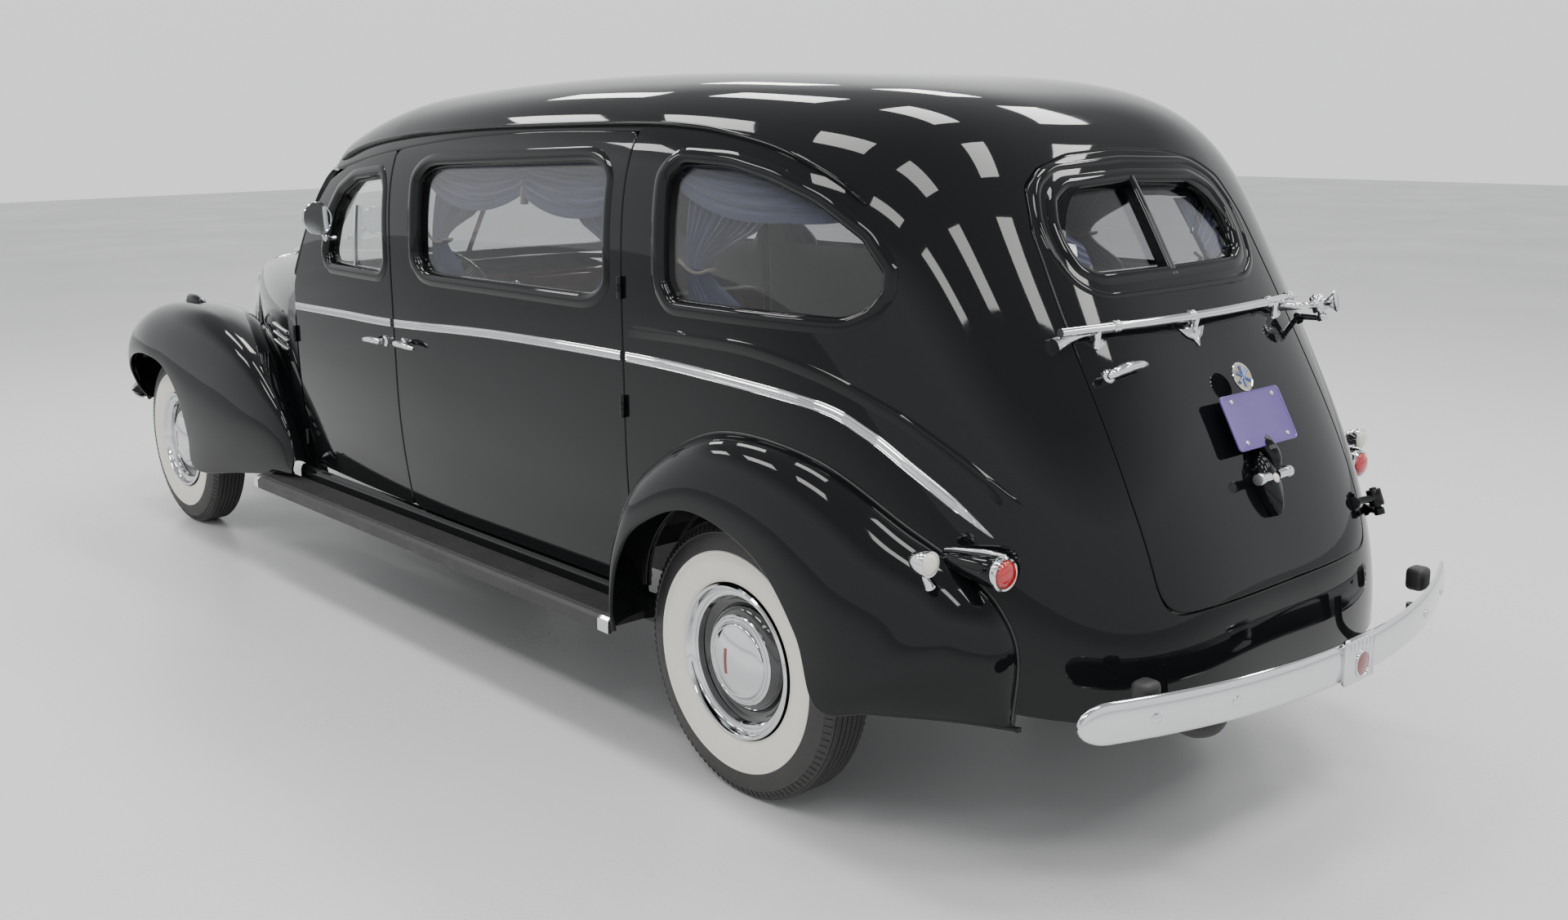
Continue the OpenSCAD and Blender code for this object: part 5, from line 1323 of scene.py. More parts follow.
class HEARSE_OT_tail_fittings(bpy.types.Operator):
    """Rear rail with its feet, collars and crest, hinges, handle, plate, badge and plate lamp"""

    bl_idname = "hearse.tail_fittings"
    bl_label = "Tail Fittings"
    bl_options = {"REGISTER", "UNDO"}

    def execute(self, context):
        self.build(context.scene.hearse_sizes)
        return {"FINISHED"}

    def build(self, sizes):
        z = 1.262
        back = float(form_y(0, z)) + 0.042
        left, right = (0.502, back - 0.044, z), (-0.46, back - 0.036, z)
        rail = [left, (0.25, back - 0.012, z), (0, back, z), (-0.25, back - 0.012, z), right]
        parts = [tube("rail_bar", rail, 0.011, *TAIL_BRIGHT, 40)]
        for k, x in enumerate((0.33, 0.06, -0.3, -0.42)):
            y = float(np.interp(x, [p[0] for p in rail[::-1]], [p[1] for p in rail[::-1]]))
            collar = [(-0.011, 0.0115), (-0.009, 0.0145), (-0.004, 0.015), (0, 0.0135), (0.004, 0.015),
                (0.009, 0.0145), (0.011, 0.0115), (-0.011, 0.0115)]
            parts.append(spun(f"collar_{k}", collar, (x, y, z), (1, 0, 0), *TAIL_BRIGHT, 32))
        y = left[1]
        claw = [(0.335, back - 0.024, z - 0.002), (0.4, back - 0.034, z - 0.004),
            (0.45, y - 0.002, z - 0.012), (0.502, y - 0.016, z - 0.03)]
        parts.append(tube("rail_claw", claw, 0.0135, *TAIL_BRIGHT, 20, [0.85, 0.9, 0.8, 0.9, 1.35]))
        for x in (0.39, 0.04, -0.34):
            top = Vector((x, float(np.interp(x, [p[0] for p in rail[::-1]], [p[1] for p in rail[::-1]])), z))
            root = Vector((x - 0.012, float(form_y(x, z - 0.035)) + 0.002, z - 0.035))
            parts.append(tube(f"rail_foot_{x:.2f}", [root, mix(root, top, 0.5) + Vector((0, 0, -0.008)),
                top], 0.012, *TAIL_BRIGHT, 12, [1.5, 0.85, 1.0]))
        crest = [(0, -0.03), (0.011, -0.014), (0.03, -0.006), (0.052, 0.014), (0.03, 0.012), (0.012, 0.014),
            (0, 0.026), (-0.012, 0.014), (-0.03, 0.012), (-0.052, 0.014), (-0.03, -0.006), (-0.011, -0.014)]
        cx, cz = 0.03, z - 0.045
        cy = float(form_y(cx, cz))
        lean = (float(form_y(cx, cz - 0.03)) - float(form_y(cx, cz + 0.03))) / 0.06
        rings = []
        for size, out in ((1.0, 0.001), (1.0, 0.004), (0.92, 0.0062), (0.78, 0.0062), (0.7, 0.0045),
            (0.4, 0.006), (0.01, 0.007)):
            rings.append([(cx + u * size, cy - v * size * lean + out, cz + v * size) for u, v in crest])
        rings.append([(cx + u * 0.01, cy + 0.0005, cz + v * 0.01) for u, v in crest])
        rings.append(rings[0])
        parts.append(mesh_piece("crest", np.array(rings[:-1]),
            grid_faces(len(rings) - 1, len(crest), ring=True, tube=True), *TAIL_BRIGHT))
        self.hinges(parts)
        self.handle()
        self.plate()

    def hinges(self, parts):
        hx = -REAR_DOOR_HALF - 0.048
        low = Vector((hx, float(form_y(hx, 0.755)) + 0.042, 0.755))
        top = Vector((hx, float(form_y(hx, 1.243)) + 0.092, 1.243))
        d = (top - low).normalized()
        sleeve = [(-0.022, 0.0095), (-0.022, 0.017), (-0.019, 0.019), (0.019, 0.019), (0.022, 0.017),
            (0.022, 0.0095), (-0.022, 0.0095)]
        parts.append(spun("sleeve_top", sleeve, top, d, *TAIL_BRIGHT, 32))
        strap_x = -REAR_DOOR_HALF + 0.046
        for c, kind in ((top, "top"), (low, "low")):
            root = Vector((strap_x, float(form_y(strap_x, c.z)) + 0.004, c.z))
            mid = Vector((strap_x - 0.02, c.y - 0.012, c.z))
            arm = tube(f"strap_{kind}", [root, mid, c + Vector((0.014, 0, 0))], 0.011, "tail_door",
                "chrome", ["chrome" if kind == "top" else "black_paint"], 16, [1.5, 0.9, 0.9])
            if kind == "top":
                parts.append(arm)
            else:
                lower = arm
        lower_sleeve = spun("sleeve_low", sleeve, low, d, "tail_door", "chrome", ["black_paint"], 32)
        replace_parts(joined("rear_rail", parts), "rear_door_fittings")
        joined("lower_hinge_strap", [lower, lower_sleeve])
        fixed = []
        for c, m in ((top, "chrome"), (low, "black_paint")):
            foot_x = hx - 0.042
            under = c - d * 0.036
            zf = under.z - 0.016
            q = np.array([foot_x, float(form_y(foot_x, zf)), zf])
            nrm = Vector(form_normal(q))
            foot = Vector(q) + nrm * 0.001
            pin = [(-0.046, 0.0), (-0.046, 0.012), (-0.043, 0.014), (-0.03, 0.014), (-0.026, 0.009),
                (0.026, 0.009), (0.028, 0.0)]
            fixed.append(spun(f"pin_{m}", pin, c, d, "body", "chrome", [m], 32))
            fixed.append(tube(f"stand_{m}", [foot, foot + nrm * 0.012, under - d * 0.002], 0.0105, "body",
                "chrome", [m], 12, [1.6, 1.0, 0.9]))
        top_set = joined("upper_hinge_stand", fixed[:2])
        joined("lower_hinge_stand", fixed[2:])
        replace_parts(top_set, "rear_hinge_pins")
        outward = Vector((-0.35, 0.9, 0.2)).normalized()
        dish = [(0.0, 0.0), (0.0, 0.012), (0.018, 0.013), (0.03, 0.019), (0.038, 0.03), (0.042, 0.031),
            (0.044, 0.026), (0.042, 0.0)]
        spun("hinge_cup", dish, top + outward * 0.004, outward, *TAIL_BRIGHT, 40)

    def handle(self):
        z, x = 1.155, 0.385
        y = float(form_y(x, z))
        n = Vector(form_normal(np.array([x, y, z])))
        base = Vector((x, y, z)) + n * 0.001
        rose = [(0, 0.018), (0.004, 0.0175), (0.009, 0.013), (0.012, 0.0105), (0.03, 0.0105), (0.034, 0.0),
            (-0.002, 0.0), (-0.002, 0.018), (0, 0.018)]
        parts = [spun("handle_rose", rose, base, n, *TAIL_BRIGHT, 32)]
        o = base + n * 0.032
        path = [o + Vector((0.026, -0.004, -0.012)), o + Vector((0.01, 0, -0.003)),
            o + Vector((-0.03, 0.003, 0.004)), o + Vector((-0.085, 0.003, 0.006)),
            o + Vector((-0.118, -0.004, 0.001))]
        parts.append(tube("handle_grip", path, 0.0105, *TAIL_BRIGHT, 24, [0.5, 1.1, 1.25, 1.0, 0.5]))
        joined("rear_door_handle", parts)

    def plate(self):
        low, high = (Vector(c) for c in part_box("licence_plate"))
        px, pz = (low.x + high.x) / 2 + 0.008, 1.018
        lean = math.atan2(float(form_y(0, 0.95)) - float(form_y(0, 1.09)), 0.14)
        y0 = float(form_y(px, pz)) + 0.034
        m = Matrix.Translation((px, y0, pz)) @ Matrix.Rotation(lean, 4, "X")
        w, h, r = 0.127, 0.0695, 0.012
        outline = []
        for cx, cz, start in ((w - r, h - r, 0), (-w + r, h - r, 90), (-w + r, -h + r, 180),
            (w - r, -h + r, 270)):
            outline += [(cx + r * math.cos(math.radians(start + a)),
                cz + r * math.sin(math.radians(start + a))) for a in (0, 22.5, 45, 67.5, 90)]
        layers = [(1.0, 0.0), (1.0, 0.0022), (0.975, 0.0032), (0.95, 0.0022), (0.94, 0.002), (0.3, 0.002),
            (0.001, 0.002)]
        g = [[m @ Vector((u * k, v, t * k)) for u, t in outline] for k,
            v in layers] + [[m @ Vector((u * 0.001, 0, t * 0.001)) for u, t in outline]]
        o = mesh_piece("plate_blank", np.array(g), grid_faces(len(g), len(outline), ring=True, tube=True),
            "tail_door", "plate_enamel", ["plate_enamel"], 20)
        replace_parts(o, "licence_plate")
        for k, (u, t) in enumerate(((-0.09, 0.052), (0.085, 0.052), (-0.09, -0.052), (0.085, -0.052))):
            c = m @ Vector((u, 0.002, t))
            spun(f"plate_screw_{k}", [(0, 0.006), (0.002, 0.0055), (0.0032, 0.003), (0.0035, 0),
                (-0.001, 0), (-0.001, 0.006), (0, 0.006)], c, m.to_3x3() @ Vector((0, 1, 0)), *TAIL_BRIGHT, 16)
        out = m.to_3x3() @ Vector((0, 1, 0))
        c = m @ Vector((0.0, 0.0, 0.107))
        badge = [(0, 0.037), (0.003, 0.037), (0.0042, 0.0355), (0.0036, 0.033), (0.003, 0.0325),
            (0.003, 0.0), (0, 0.0), (0, 0.037)]
        spun("badge_disc", badge, c, out, "tail_door", "chrome", ["badge_enamel", "chrome"], 48, lambda a,
            r, n: 1 if r > 0.033 or n < 0 else 0)
        parts = []
        for k in range(6):
            a = math.radians(60 * k + 30)
            tip = c + m.to_3x3() @ Vector((0.027 * math.cos(a), 0.0036, 0.027 * math.sin(a)))
            parts.append(tube(f"petal_{k}", [c + out * 0.0036, tip], 0.0042, "tail_door", "plate_enamel",
                ["badge_blue"], 4, [0.5, 1.2], 4))
        joined("badge_star", parts)
        back = m @ Vector((0, 0, -0.078))
        arm = [m @ Vector((0, -0.03, -0.03)), m @ Vector((0, -0.012, -0.06)),
            back + Vector((0, 0.008, -0.02)), back + Vector((0, 0.012, -0.075))]
        tube("plate_bracket", arm, 0.016, "tail_door", "black_paint", ["black_paint"], 16, [1.0, 1.3, 1.2, 0.8])
        lx, lz = px + 0.035, 0.862
        ly = float(form_y(lx, lz))
        n = Vector(form_normal(np.array([lx, ly, lz])))
        shape = []
        for k in range(40):
            a = 2 * math.pi * k / 40
            u, t = 0.032 * math.sin(a), 0.075 * math.cos(a)
            shape.append((u * (1.0 if t > 0 else (1 - 0.45 * (t / 0.075) ** 2)), t))
        along = Vector((0, -(n.z), n.y)).normalized()
        rings = []
        for size, depth in ((1.0, 0.0005), (1.0, 0.018), (0.95, 0.026), (0.8, 0.034), (0.55, 0.039),
            (0.25, 0.041), (0.01, 0.042), (0.01, 0.001)):
            rings.append([Vector((lx, ly, lz)) + Vector((1, 0,
                0)) * u * size + along * t * size + n * depth for u, t in shape])
        mesh_piece("plate_lamp_body", np.array(rings), grid_faces(len(rings), 40, ring=True, tube=True),
            "tail_door", "black_paint", ["black_paint"], 40)
        for s in BOTH:
            a = Vector((lx + s * 0.018, ly + 0.022, lz + 0.03))
            barrel = [(0, 0.0), (0, 0.0125), (0.034, 0.0125), (0.036, 0.015), (0.048, 0.015),
                (0.051, 0.0135), (0.052, 0.0)]
            spun(f"plate_lamp_barrel_{SIDE[s]}", barrel, a, (s, 0.08, 0.05), *TAIL_BRIGHT, 32)
        spun("plate_lamp_lens", [(0, 0), (0, 0.012), (0.003, 0.0115), (0.006, 0.007), (0.007, 0)],
            Vector((lx, ly, lz)) + n * 0.039 + along * 0.012, n, "tail_door", "lamp_glass", ["amber_glass"], 24)


class HEARSE_OT_lamps(bpy.types.Operator):
    """Headlamps, the marker lamps on the front fenders, tail lamps and turn lamps"""

    bl_idname = "hearse.lamps"
    bl_label = "Lamps"
    bl_options = {"REGISTER", "UNDO"}

    def execute(self, context):
        self.build(context.scene.hearse_sizes)
        return {"FINISHED"}

    def build(self, sizes):
        low, high = (Vector(c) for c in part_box("rear_lamps"))
        r_out = 0.038
        lamp = Vector((high.x - r_out, low.y, (low.z + high.z) / 2))
        heads, tails = [], []
        hlow, hhigh = (Vector(c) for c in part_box("headlamps"))
        head = Vector((hhigh.x - 0.092, hlow.y, (hlow.z + hhigh.z) / 2))
        for s in BOTH:
            c = Vector((s * head.x, head.y, head.z))
            rim = [(0.034, 0.0915), (0.02, 0.094), (0.006, 0.093), (-0.002, 0.088), (-0.004, 0.083),
                (-0.001, 0.079), (0.006, 0.078), (0.03, 0.08), (0.034, 0.0915)]
            heads.append(spun(f"headlamp_rim_{SIDE[s]}", rim, c, (0, 1, 0), *BRIGHT, 64))
            bowl = [(0.03, 0.079), (0.04, 0.07), (0.055, 0.05), (0.066, 0.02), (0.068, 0.0), (0.07, 0.0),
                (0.068, 0.022), (0.057, 0.052), (0.042, 0.0725), (0.03, 0.0815), (0.03, 0.079)]
            heads.append(spun(f"headlamp_bowl_{SIDE[s]}", bowl, c, (0, 1, 0), *BRIGHT, 48))
            front = [(-0.003 - 0.009 * (1 - (r / 0.079) ** 2) + 0.0006 * (-1) ** k, r) for k,
                r in enumerate(np.linspace(0.079, 0, 22))]
            back = [(0.003 - 0.009 * (1 - (r / 0.079) ** 2), r) for r in np.linspace(0, 0.079, 12)]
            spun(f"headlamp_lens_{SIDE[s]}", front + back + front[:1], c, (0, 1, 0), "body", "clear_glass",
                ["lens_glass"], 64)
            spun(f"headlamp_bulb_{SIDE[s]}", [(0.02, 0), (0.022, 0.008), (0.03, 0.012), (0.045, 0.009),
                (0.065, 0.007), (0.068, 0)], c, (0, 1, 0), "body", "lamp_glass", ["bulb_glass"], 20)
            c = Vector((s * 0.72, FF + 0.038, 0.97))
            pod = [(0.1, 0.0), (0.092, 0.008), (0.06, 0.019), (0.02, 0.0265), (-0.02, 0.028),
                (-0.04, 0.028), (-0.043, 0.0245), (-0.02, 0.022), (-0.02, 0.0)]
            parts = [spun("marker_pod", pod, c, (0, 1, 0.0), *DARK_TRIM, 40)]
            parts.append(tube("marker_blade", [c + Vector((0, -0.035, 0.029)), c + Vector((0, 0.02, 0.028)),
                c + Vector((0, 0.07, 0.016)), c + Vector((0, 0.098, 0.004))], 0.0035, *BRIGHT, 20,
                [0.8, 1.1, 1, 0.4], 4))
            parts.append(spun("marker_rim", [(-0.036, 0.0275), (-0.043, 0.0295), (-0.047, 0.0275),
                (-0.046, 0.0245), (-0.04, 0.024), (-0.036, 0.0275)], c, (0, 1, 0), *BRIGHT, 40))
            parts.append(tube("marker_foot", [c + Vector((0, 0.01, -0.02)),
                c + Vector((s * 0.004, 0.015, -0.05))], 0.012, *DARK_TRIM, 4, [1, 1.5]))
            joined(f"marker_lamp_{SIDE[s]}", parts)
            spun(f"marker_lens_{SIDE[s]}", [(-0.042, 0.0245), (-0.05, 0.0235), (-0.058, 0.018),
                (-0.063, 0.009), (-0.064, 0), (-0.04, 0), (-0.042, 0.0245)], c, (0, 1, 0), "body",
                "clear_glass", ["lens_glass"], 40)
            tails += self.tail(s, Vector((s * lamp.x, lamp.y, lamp.z)))
            self.turn(s)
        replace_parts(joined("headlamp_housings", heads), "headlamps")
        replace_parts(joined("tail_lamp_housings", tails), "rear_lamps")

    def tail(self, s, c):
        pod = [(-0.125, 0.0), (-0.118, 0.007), (-0.09, 0.0175), (-0.05, 0.0255), (0.0, 0.032),
            (0.045, 0.036), (0.078, 0.0375), (0.081, 0.0365), (0.081, 0.032), (0.05, 0.03), (0.05, 0.0)]
        parts = [spun("tail_pod", pod, c, (0, 1, 0), *DARK_TRIM, 56)]
        rim = [(0.076, 0.0378), (0.082, 0.0402), (0.089, 0.0398), (0.0935, 0.036), (0.092, 0.0325),
            (0.084, 0.0318), (0.076, 0.034), (0.076, 0.0378)]
        parts.append(spun("tail_rim", rim, c, (0, 1, 0), *BRIGHT, 56))
        top = [c + Vector((0, y, z)) for y, z in ((0.088, 0.04), (0.05, 0.0395), (0.0, 0.0345),
            (-0.06, 0.0255), (-0.112, 0.0105), (-0.126, 0.001))]
        parts.append(tube("tail_blade", top, 0.0052, *BRIGHT, 40, [1.0, 1.25, 1.1, 0.9, 0.6, 0.3], 5))
        root = Vector((s * (float(form_x(c.y + 0.02, c.z)) - 0.001), c.y + 0.02, c.z))
        parts.append(tube("tail_foot", [root, mix(root, c + Vector((0, 0.02, 0)), 0.6)], 0.018, *DARK_TRIM,
            6, [1.3, 0.9]))
        lens = [(0.078, 0.0322), (0.09, 0.0318), (0.097, 0.0285), (0.1015, 0.022), (0.1035, 0.013),
            (0.1045, 0.006), (0.1045, 0.0), (0.078, 0.0), (0.078, 0.0322)]
        spun(f"tail_lens_{SIDE[s]}", lens, c, (0, 1, 0), "body", "lamp_glass", ["red_glass"], 56)
        return parts

    def turn(self, s):
        c = Vector((s * 0.905, FR + 0.735, 0.806))
        parts = [spun("turn_body", [(-0.045, 0), (-0.043, 0.01), (-0.03, 0.021), (-0.01, 0.0275),
            (0.008, 0.0295), (0.013, 0.0285), (0.013, 0.0255), (0.0, 0.024), (0.0, 0.0)], c, (0, 1, 0),
            *BRIGHT, 48)]
        x = 0.86
        root = Vector((s * x, c.y - 0.03, 0.74))
        parts.append(tube("turn_stalk", [root, c + Vector((-s * 0.02, -0.024, -0.035)),
            c + Vector((0, -0.022, -0.01))], 0.009, *BRIGHT, 16, [1.6, 0.9, 1.0]))
        joined(f"turn_lamp_{SIDE[s]}", parts)
        spun(f"turn_lens_{SIDE[s]}", [(0.008, 0.0255), (0.014, 0.025), (0.02, 0.02), (0.0235, 0.01),
            (0.024, 0), (0.006, 0), (0.008, 0.0255)], c, (0, 1, 0), "body", "lamp_glass", ["amber_glass"], 40)


class HEARSE_OT_side_fittings(bpy.types.Operator):
    """Door handles, door hinges and the driver's mirror"""

    bl_idname = "hearse.side_fittings"
    bl_label = "Side Fittings"
    bl_options = {"REGISTER", "UNDO"}

    def execute(self, context):
        self.build(context.scene.hearse_sizes)
        return {"FINISHED"}

    def build(self, sizes):
        for s in BOTH:
            self.handle(s, POST_Y - 0.064, 1.014, -1, f"{SIDE[s]}_front_door", f"front_door_handle_{SIDE[s]}")
            self.handle(s, POST_Y + 0.069, 1.02, 1, f"{SIDE[s]}_side_door", f"side_door_handle_{SIDE[s]}")
            for z in (0.56, 0.955):
                self.hinge(s, COWL_Y - 0.004, z, f"{SIDE[s]}_front_door",
                    f"front_hinge_{SIDE[s]}_{int(z * 100)}")
            for z in (0.62, 0.98, 1.3):
                self.hinge(s, REAR_POST_Y - 0.0005, z, f"{SIDE[s]}_side_door",
                    f"side_hinge_{SIDE[s]}_{int(z * 100)}")
        self.mirror()

    def handle(self, s, y, z, way, body, name):
        p = on_side(s)(np.array([[y, z]]))[0]
        n = Vector(form_normal(p))
        base = Vector(p) + n * 0.0005
        rose = [(0, 0.019), (0.0035, 0.0185), (0.006, 0.014), (0.009, 0.0115), (0.028, 0.0105),
            (0.033, 0.009), (0.034, 0.0), (-0.002, 0.0), (-0.002, 0.019), (0, 0.019)]
        parts = [spun("rose", rose, base, n, body, "chrome", ["chrome"], 36)]
        o = base + n * 0.03
        path = [o + Vector((0, -0.016 * way, 0.001)), o + Vector((0, 0, 0.002)),
            o + Vector((s * 0.004, 0.035 * way, 0.003)), o + Vector((s * 0.003, 0.08 * way, 0.0)),
            o + Vector((-s * 0.003, 0.112 * way, -0.004))]
        parts.append(tube("grip", path, 0.0095, body, "chrome", ["chrome"], 28, [0.45, 1.15, 1.15, 0.95, 0.5]))
        joined(name, parts)

    def hinge(self, s, y, z, body, name):
        x = float(form_x(y, z)) + 0.0065
        barrel = [(-0.03, 0.0), (-0.03, 0.006), (-0.0275, 0.0075), (-0.008, 0.0075), (-0.0075, 0.0065),
            (-0.007, 0.0075), (0.007, 0.0075), (0.0075, 0.0065), (0.008, 0.0075), (0.0275, 0.0075),
            (0.03, 0.006), (0.03, 0.0)]
        spun(name, barrel, (s * x, y, z), (0, 0, 1), body, "black_paint", ["black_paint"], 24)

    def mirror(self):
        c = Vector((0.905, COWL_Y + 0.468, 1.408))
        axis = Vector((-0.12, 0.985, 0.06)).normalized()
        shell = [(-0.03, 0.0), (-0.029, 0.012), (-0.023, 0.032), (-0.012, 0.049), (0.0, 0.055),
            (0.005, 0.0555), (0.007, 0.054), (0.006, 0.051), (0.003, 0.05), (0.003, 0.0)]
        parts = [spun("mirror_shell", shell, c, axis, "left_front_door", "chrome", ["black_paint"], 56)]
        rim = [(0.002, 0.0555), (0.0055, 0.057), (0.009, 0.0555), (0.009, 0.052), (0.005, 0.0505),
            (0.002, 0.0555)]
        parts.append(spun("mirror_rim", rim, c, axis, "left_front_door", "chrome", ["chrome"], 56))
        parts.append(spun("mirror_face", [(0.0035, 0.0), (0.0035, 0.0512), (0.005, 0.0512), (0.005, 0.0)],
            c, axis, "left_front_door", "chrome", ["chrome"], 56))
        y, z = COWL_Y + 0.42, 1.335
        p = Vector(on_side(1)(np.array([[y, z]]))[0])
        n = Vector(form_normal(np.array(p)))
        joint = p + n * 0.03
        parts.append(tube("mirror_arm", [p - n * 0.002, joint,
            mix(joint, c, 0.55) + Vector((0, -0.02, -0.004)), c - axis * 0.03], 0.0065, "left_front_door",
            "chrome", ["chrome"], 30, [1.6, 1.0, 0.9, 1.1]))
        parts.append(spun("mirror_ball", [(-0.012, 0), (-0.0105, 0.007), (-0.005, 0.0115), (0.005, 0.0115),
            (0.0105, 0.007), (0.012, 0)], joint, (0, 0, 1), "left_front_door", "chrome", ["chrome"], 24))
        joined("door_mirror", parts)


def cushion(name, low, high, crown, flutes, body):
    """A stuffed pad between two corners: sides that pull in, a crowned top and sewn flutes along it."""
    low, high = Vector(low), Vector(high)
    bpy.ops.object.select_all(action="DESELECT")
    bpy.ops.mesh.primitive_cube_add(size=1, location=(low + high) / 2)
    o = bpy.context.active_object
    o.name = o.data.name = name
    o.scale = high - low
    bpy.ops.object.transform_apply(location=True, rotation=True, scale=True)
    size = high - low
    small = min(size)
    modify(o, "BEVEL", width=small * 0.3, segments=4)
    modify(o, "REMESH", mode="VOXEL", voxel_size=0.011)
    modify(o, "CORRECTIVE_SMOOTH", iterations=6, use_only_smooth=True)
    n = len(o.data.vertices)
    p = np.empty(n * 3)
    o.data.vertices.foreach_get("co", p)
    p = p.reshape(-1, 3)
    lo, sz = np.array(low), np.array(size)
    u = np.clip((p - lo) / sz * 2 - 1, -1, 1)
    thin = int(np.argmin(sz[1:])) + 1
    wide = [k for k in (0, 1, 2) if k != thin]
    dome = (1 - u[:, wide[0]] ** 6) * (1 - u[:, wide[1]] ** 4)
    channel = np.abs(np.sin(np.pi * flutes * (u[:, 0] + 1) / 2)) ** 0.55
    p[:, thin] += np.sign(u[:, thin]) * np.abs(u[:, thin]) ** 2 * dome * crown * (0.35 + 0.65 * channel)
    pull = 0.012 * (1 - u[:, thin] ** 2)
    for k in wide:
        p[:, k] -= np.sign(u[:, k]) * np.abs(u[:, k]) ** 12 * pull
    o.data.vertices.foreach_set("co", p.ravel())
    finish_piece(o, body, "seat_cloth", ["seat_cloth"], 60)
    return o


class HEARSE_OT_cabin(bpy.types.Operator):
    """Driver's bench, dashboard and steering wheel with its column and shift lever"""

    bl_idname = "hearse.cabin"
    bl_label = "Cabin"
    bl_options = {"REGISTER", "UNDO"}

    def execute(self, context):
        self.build(context.scene.hearse_sizes)
        return {"FINISHED"}

    def build(self, sizes):
        low, high = (Vector(c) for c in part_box("front_seat"))
        top = low.z + 0.3
        back_y = POST_Y + 0.112
        block("seat_box", (low.x + 0.03, low.y + 0.02, low.z), (high.x - 0.03, back_y - 0.02, top - 0.16),
            0.012, "body", "seat_cloth", ["seat_cloth"])
        base = cushion("seat_cushion", (low.x + 0.012, low.y + 0.01, top - 0.155),
            (high.x - 0.012, back_y - 0.01, top - 0.02), sizes.seat_crown, 18, "body")
        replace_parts(base, "front_seat")
        cushion("seat_back", (low.x + 0.012, back_y - 0.005, top - 0.05),
            (high.x - 0.012, high.y - 0.02, high.z - 0.03), sizes.seat_crown * 0.6, 18, "body")
        z = top - 0.088
        edge = [(low.x + 0.02, low.y + 0.012, z), (high.x - 0.02, low.y + 0.012, z)]
        tube("seat_piping", edge, 0.004, "body", "seat_cloth", ["welting"], 20, None, 4)
        self.dash()
        self.wheel()

    def dash(self):
        set_materials(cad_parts["dashboard"], "dash_enamel")
        y = COWL_Y + 0.051
        for k, x in enumerate((0.34, 0.12, -0.12)):
            r = 0.05 if k == 0 else 0.032
            bezel = [(0, r), (0.006, r + 0.001), (0.009, r - 0.003), (0.007, r - 0.006), (0.003, r - 0.007),
                (0, r)]
            spun(f"dial_bezel_{k}", bezel, (x, y, 1.05), (0, 1, 0), *BRIGHT, 40)
            spun(f"dial_face_{k}", [(0.0, 0), (0.0, r - 0.005), (0.003, r - 0.006), (0.003, 0)],
                (x, y, 1.05), (0, 1, 0), "body", "dash_enamel", ["dial_face"], 40)
            tube(f"dial_needle_{k}", [(x, y + 0.0045, 1.05), (x - r * 0.4, y + 0.0045, 1.05 + r * 0.45)],
                0.0012, "body", "lamp_glass", ["red_enamel"], 0, [1, 0.3], 3)
        block("glove_lid", (-0.5, y - 0.002, 1.01), (-0.22, y + 0.007, 1.09), 0.005, "body", "dash_enamel",
            ["dash_enamel"])
        for k, x in enumerate((0.22, 0.06, 0.0, -0.06)):
            spun(f"dash_knob_{k}", [(0, 0.004), (0.012, 0.004), (0.014, 0.0085), (0.02, 0.0095),
                (0.024, 0.007), (0.025, 0), (-0.001, 0), (-0.001, 0.004), (0, 0.004)],
                (x, COWL_Y + 0.075, 0.94), (0, 1, 0), *BRIGHT, 20)
        for k in range(3):
            z = 1.03 + 0.018 * k
            block(f"dash_trim_{k}", (-0.06, y, z), (0.06, y + 0.004, z + 0.006), 0.0018, *BRIGHT, 2)

    def wheel(self):
        lean = math.radians(52)
        c = Vector((0.34, COWL_Y + 0.3, 1.09))
        axis = Vector((0, math.sin(lean), math.cos(lean)))
        up = Vector((0, math.cos(lean), -math.sin(lean)))
        side = Vector((1, 0, 0))
        ring = []
        for k in range(24):
            a = 2 * math.pi * k / 24
            r = 0.011 - 0.0006 * (1 if k % 2 else 0)
            ring.append((r * math.sin(a), 0.2 + r * math.cos(a)))
        ring.append(ring[0])
        parts = [spun("rim", ring, c, axis, "body", "wheel_bakelite", ["wheel_bakelite"], 96)]
        for a in (math.pi / 2, math.pi / 2 + 2.0944, math.pi / 2 - 2.0944):
            d = side * math.cos(a) + up * math.sin(a)
            e = side * -math.sin(a) + up * math.cos(a)
            for w in (-0.011, 0.0, 0.011):
                parts.append(tube("spoke", [c + d * 0.02 + e * w * 0.5 - axis * 0.012,
                    c + d * 0.1 + e * w - axis * 0.008, c + d * 0.195 + e * w], 0.0028, *BRIGHT, 10, None, 3))
        hub = [(-0.03, 0.0), (-0.03, 0.024), (-0.01, 0.03), (0.008, 0.031), (0.014, 0.027), (0.016, 0.02),
            (0.018, 0.019), (0.024, 0.012), (0.026, 0.0)]
        parts.append(spun("hub", hub, c, axis, "body", "wheel_bakelite", ["wheel_bakelite"], 40))
        parts.append(spun("horn_ring", [(0.014, 0.027), (0.018, 0.0265), (0.018, 0.021), (0.015, 0.02),
            (0.014, 0.027)], c, axis, *BRIGHT, 40))
        parts.append(tube("column", [c - axis * 0.03, c - axis * 0.465], 0.0175, "body", "frame_steel",
            ["dash_enamel"], 0))
        parts.append(tube("shift_lever", [c - axis * 0.07, c - axis * 0.066 - side * 0.09,
            c - axis * 0.05 - side * 0.16], 0.005, *BRIGHT, 10, None, 4))
        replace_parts(joined("steering_wheel_detail", parts), "steering_wheel")


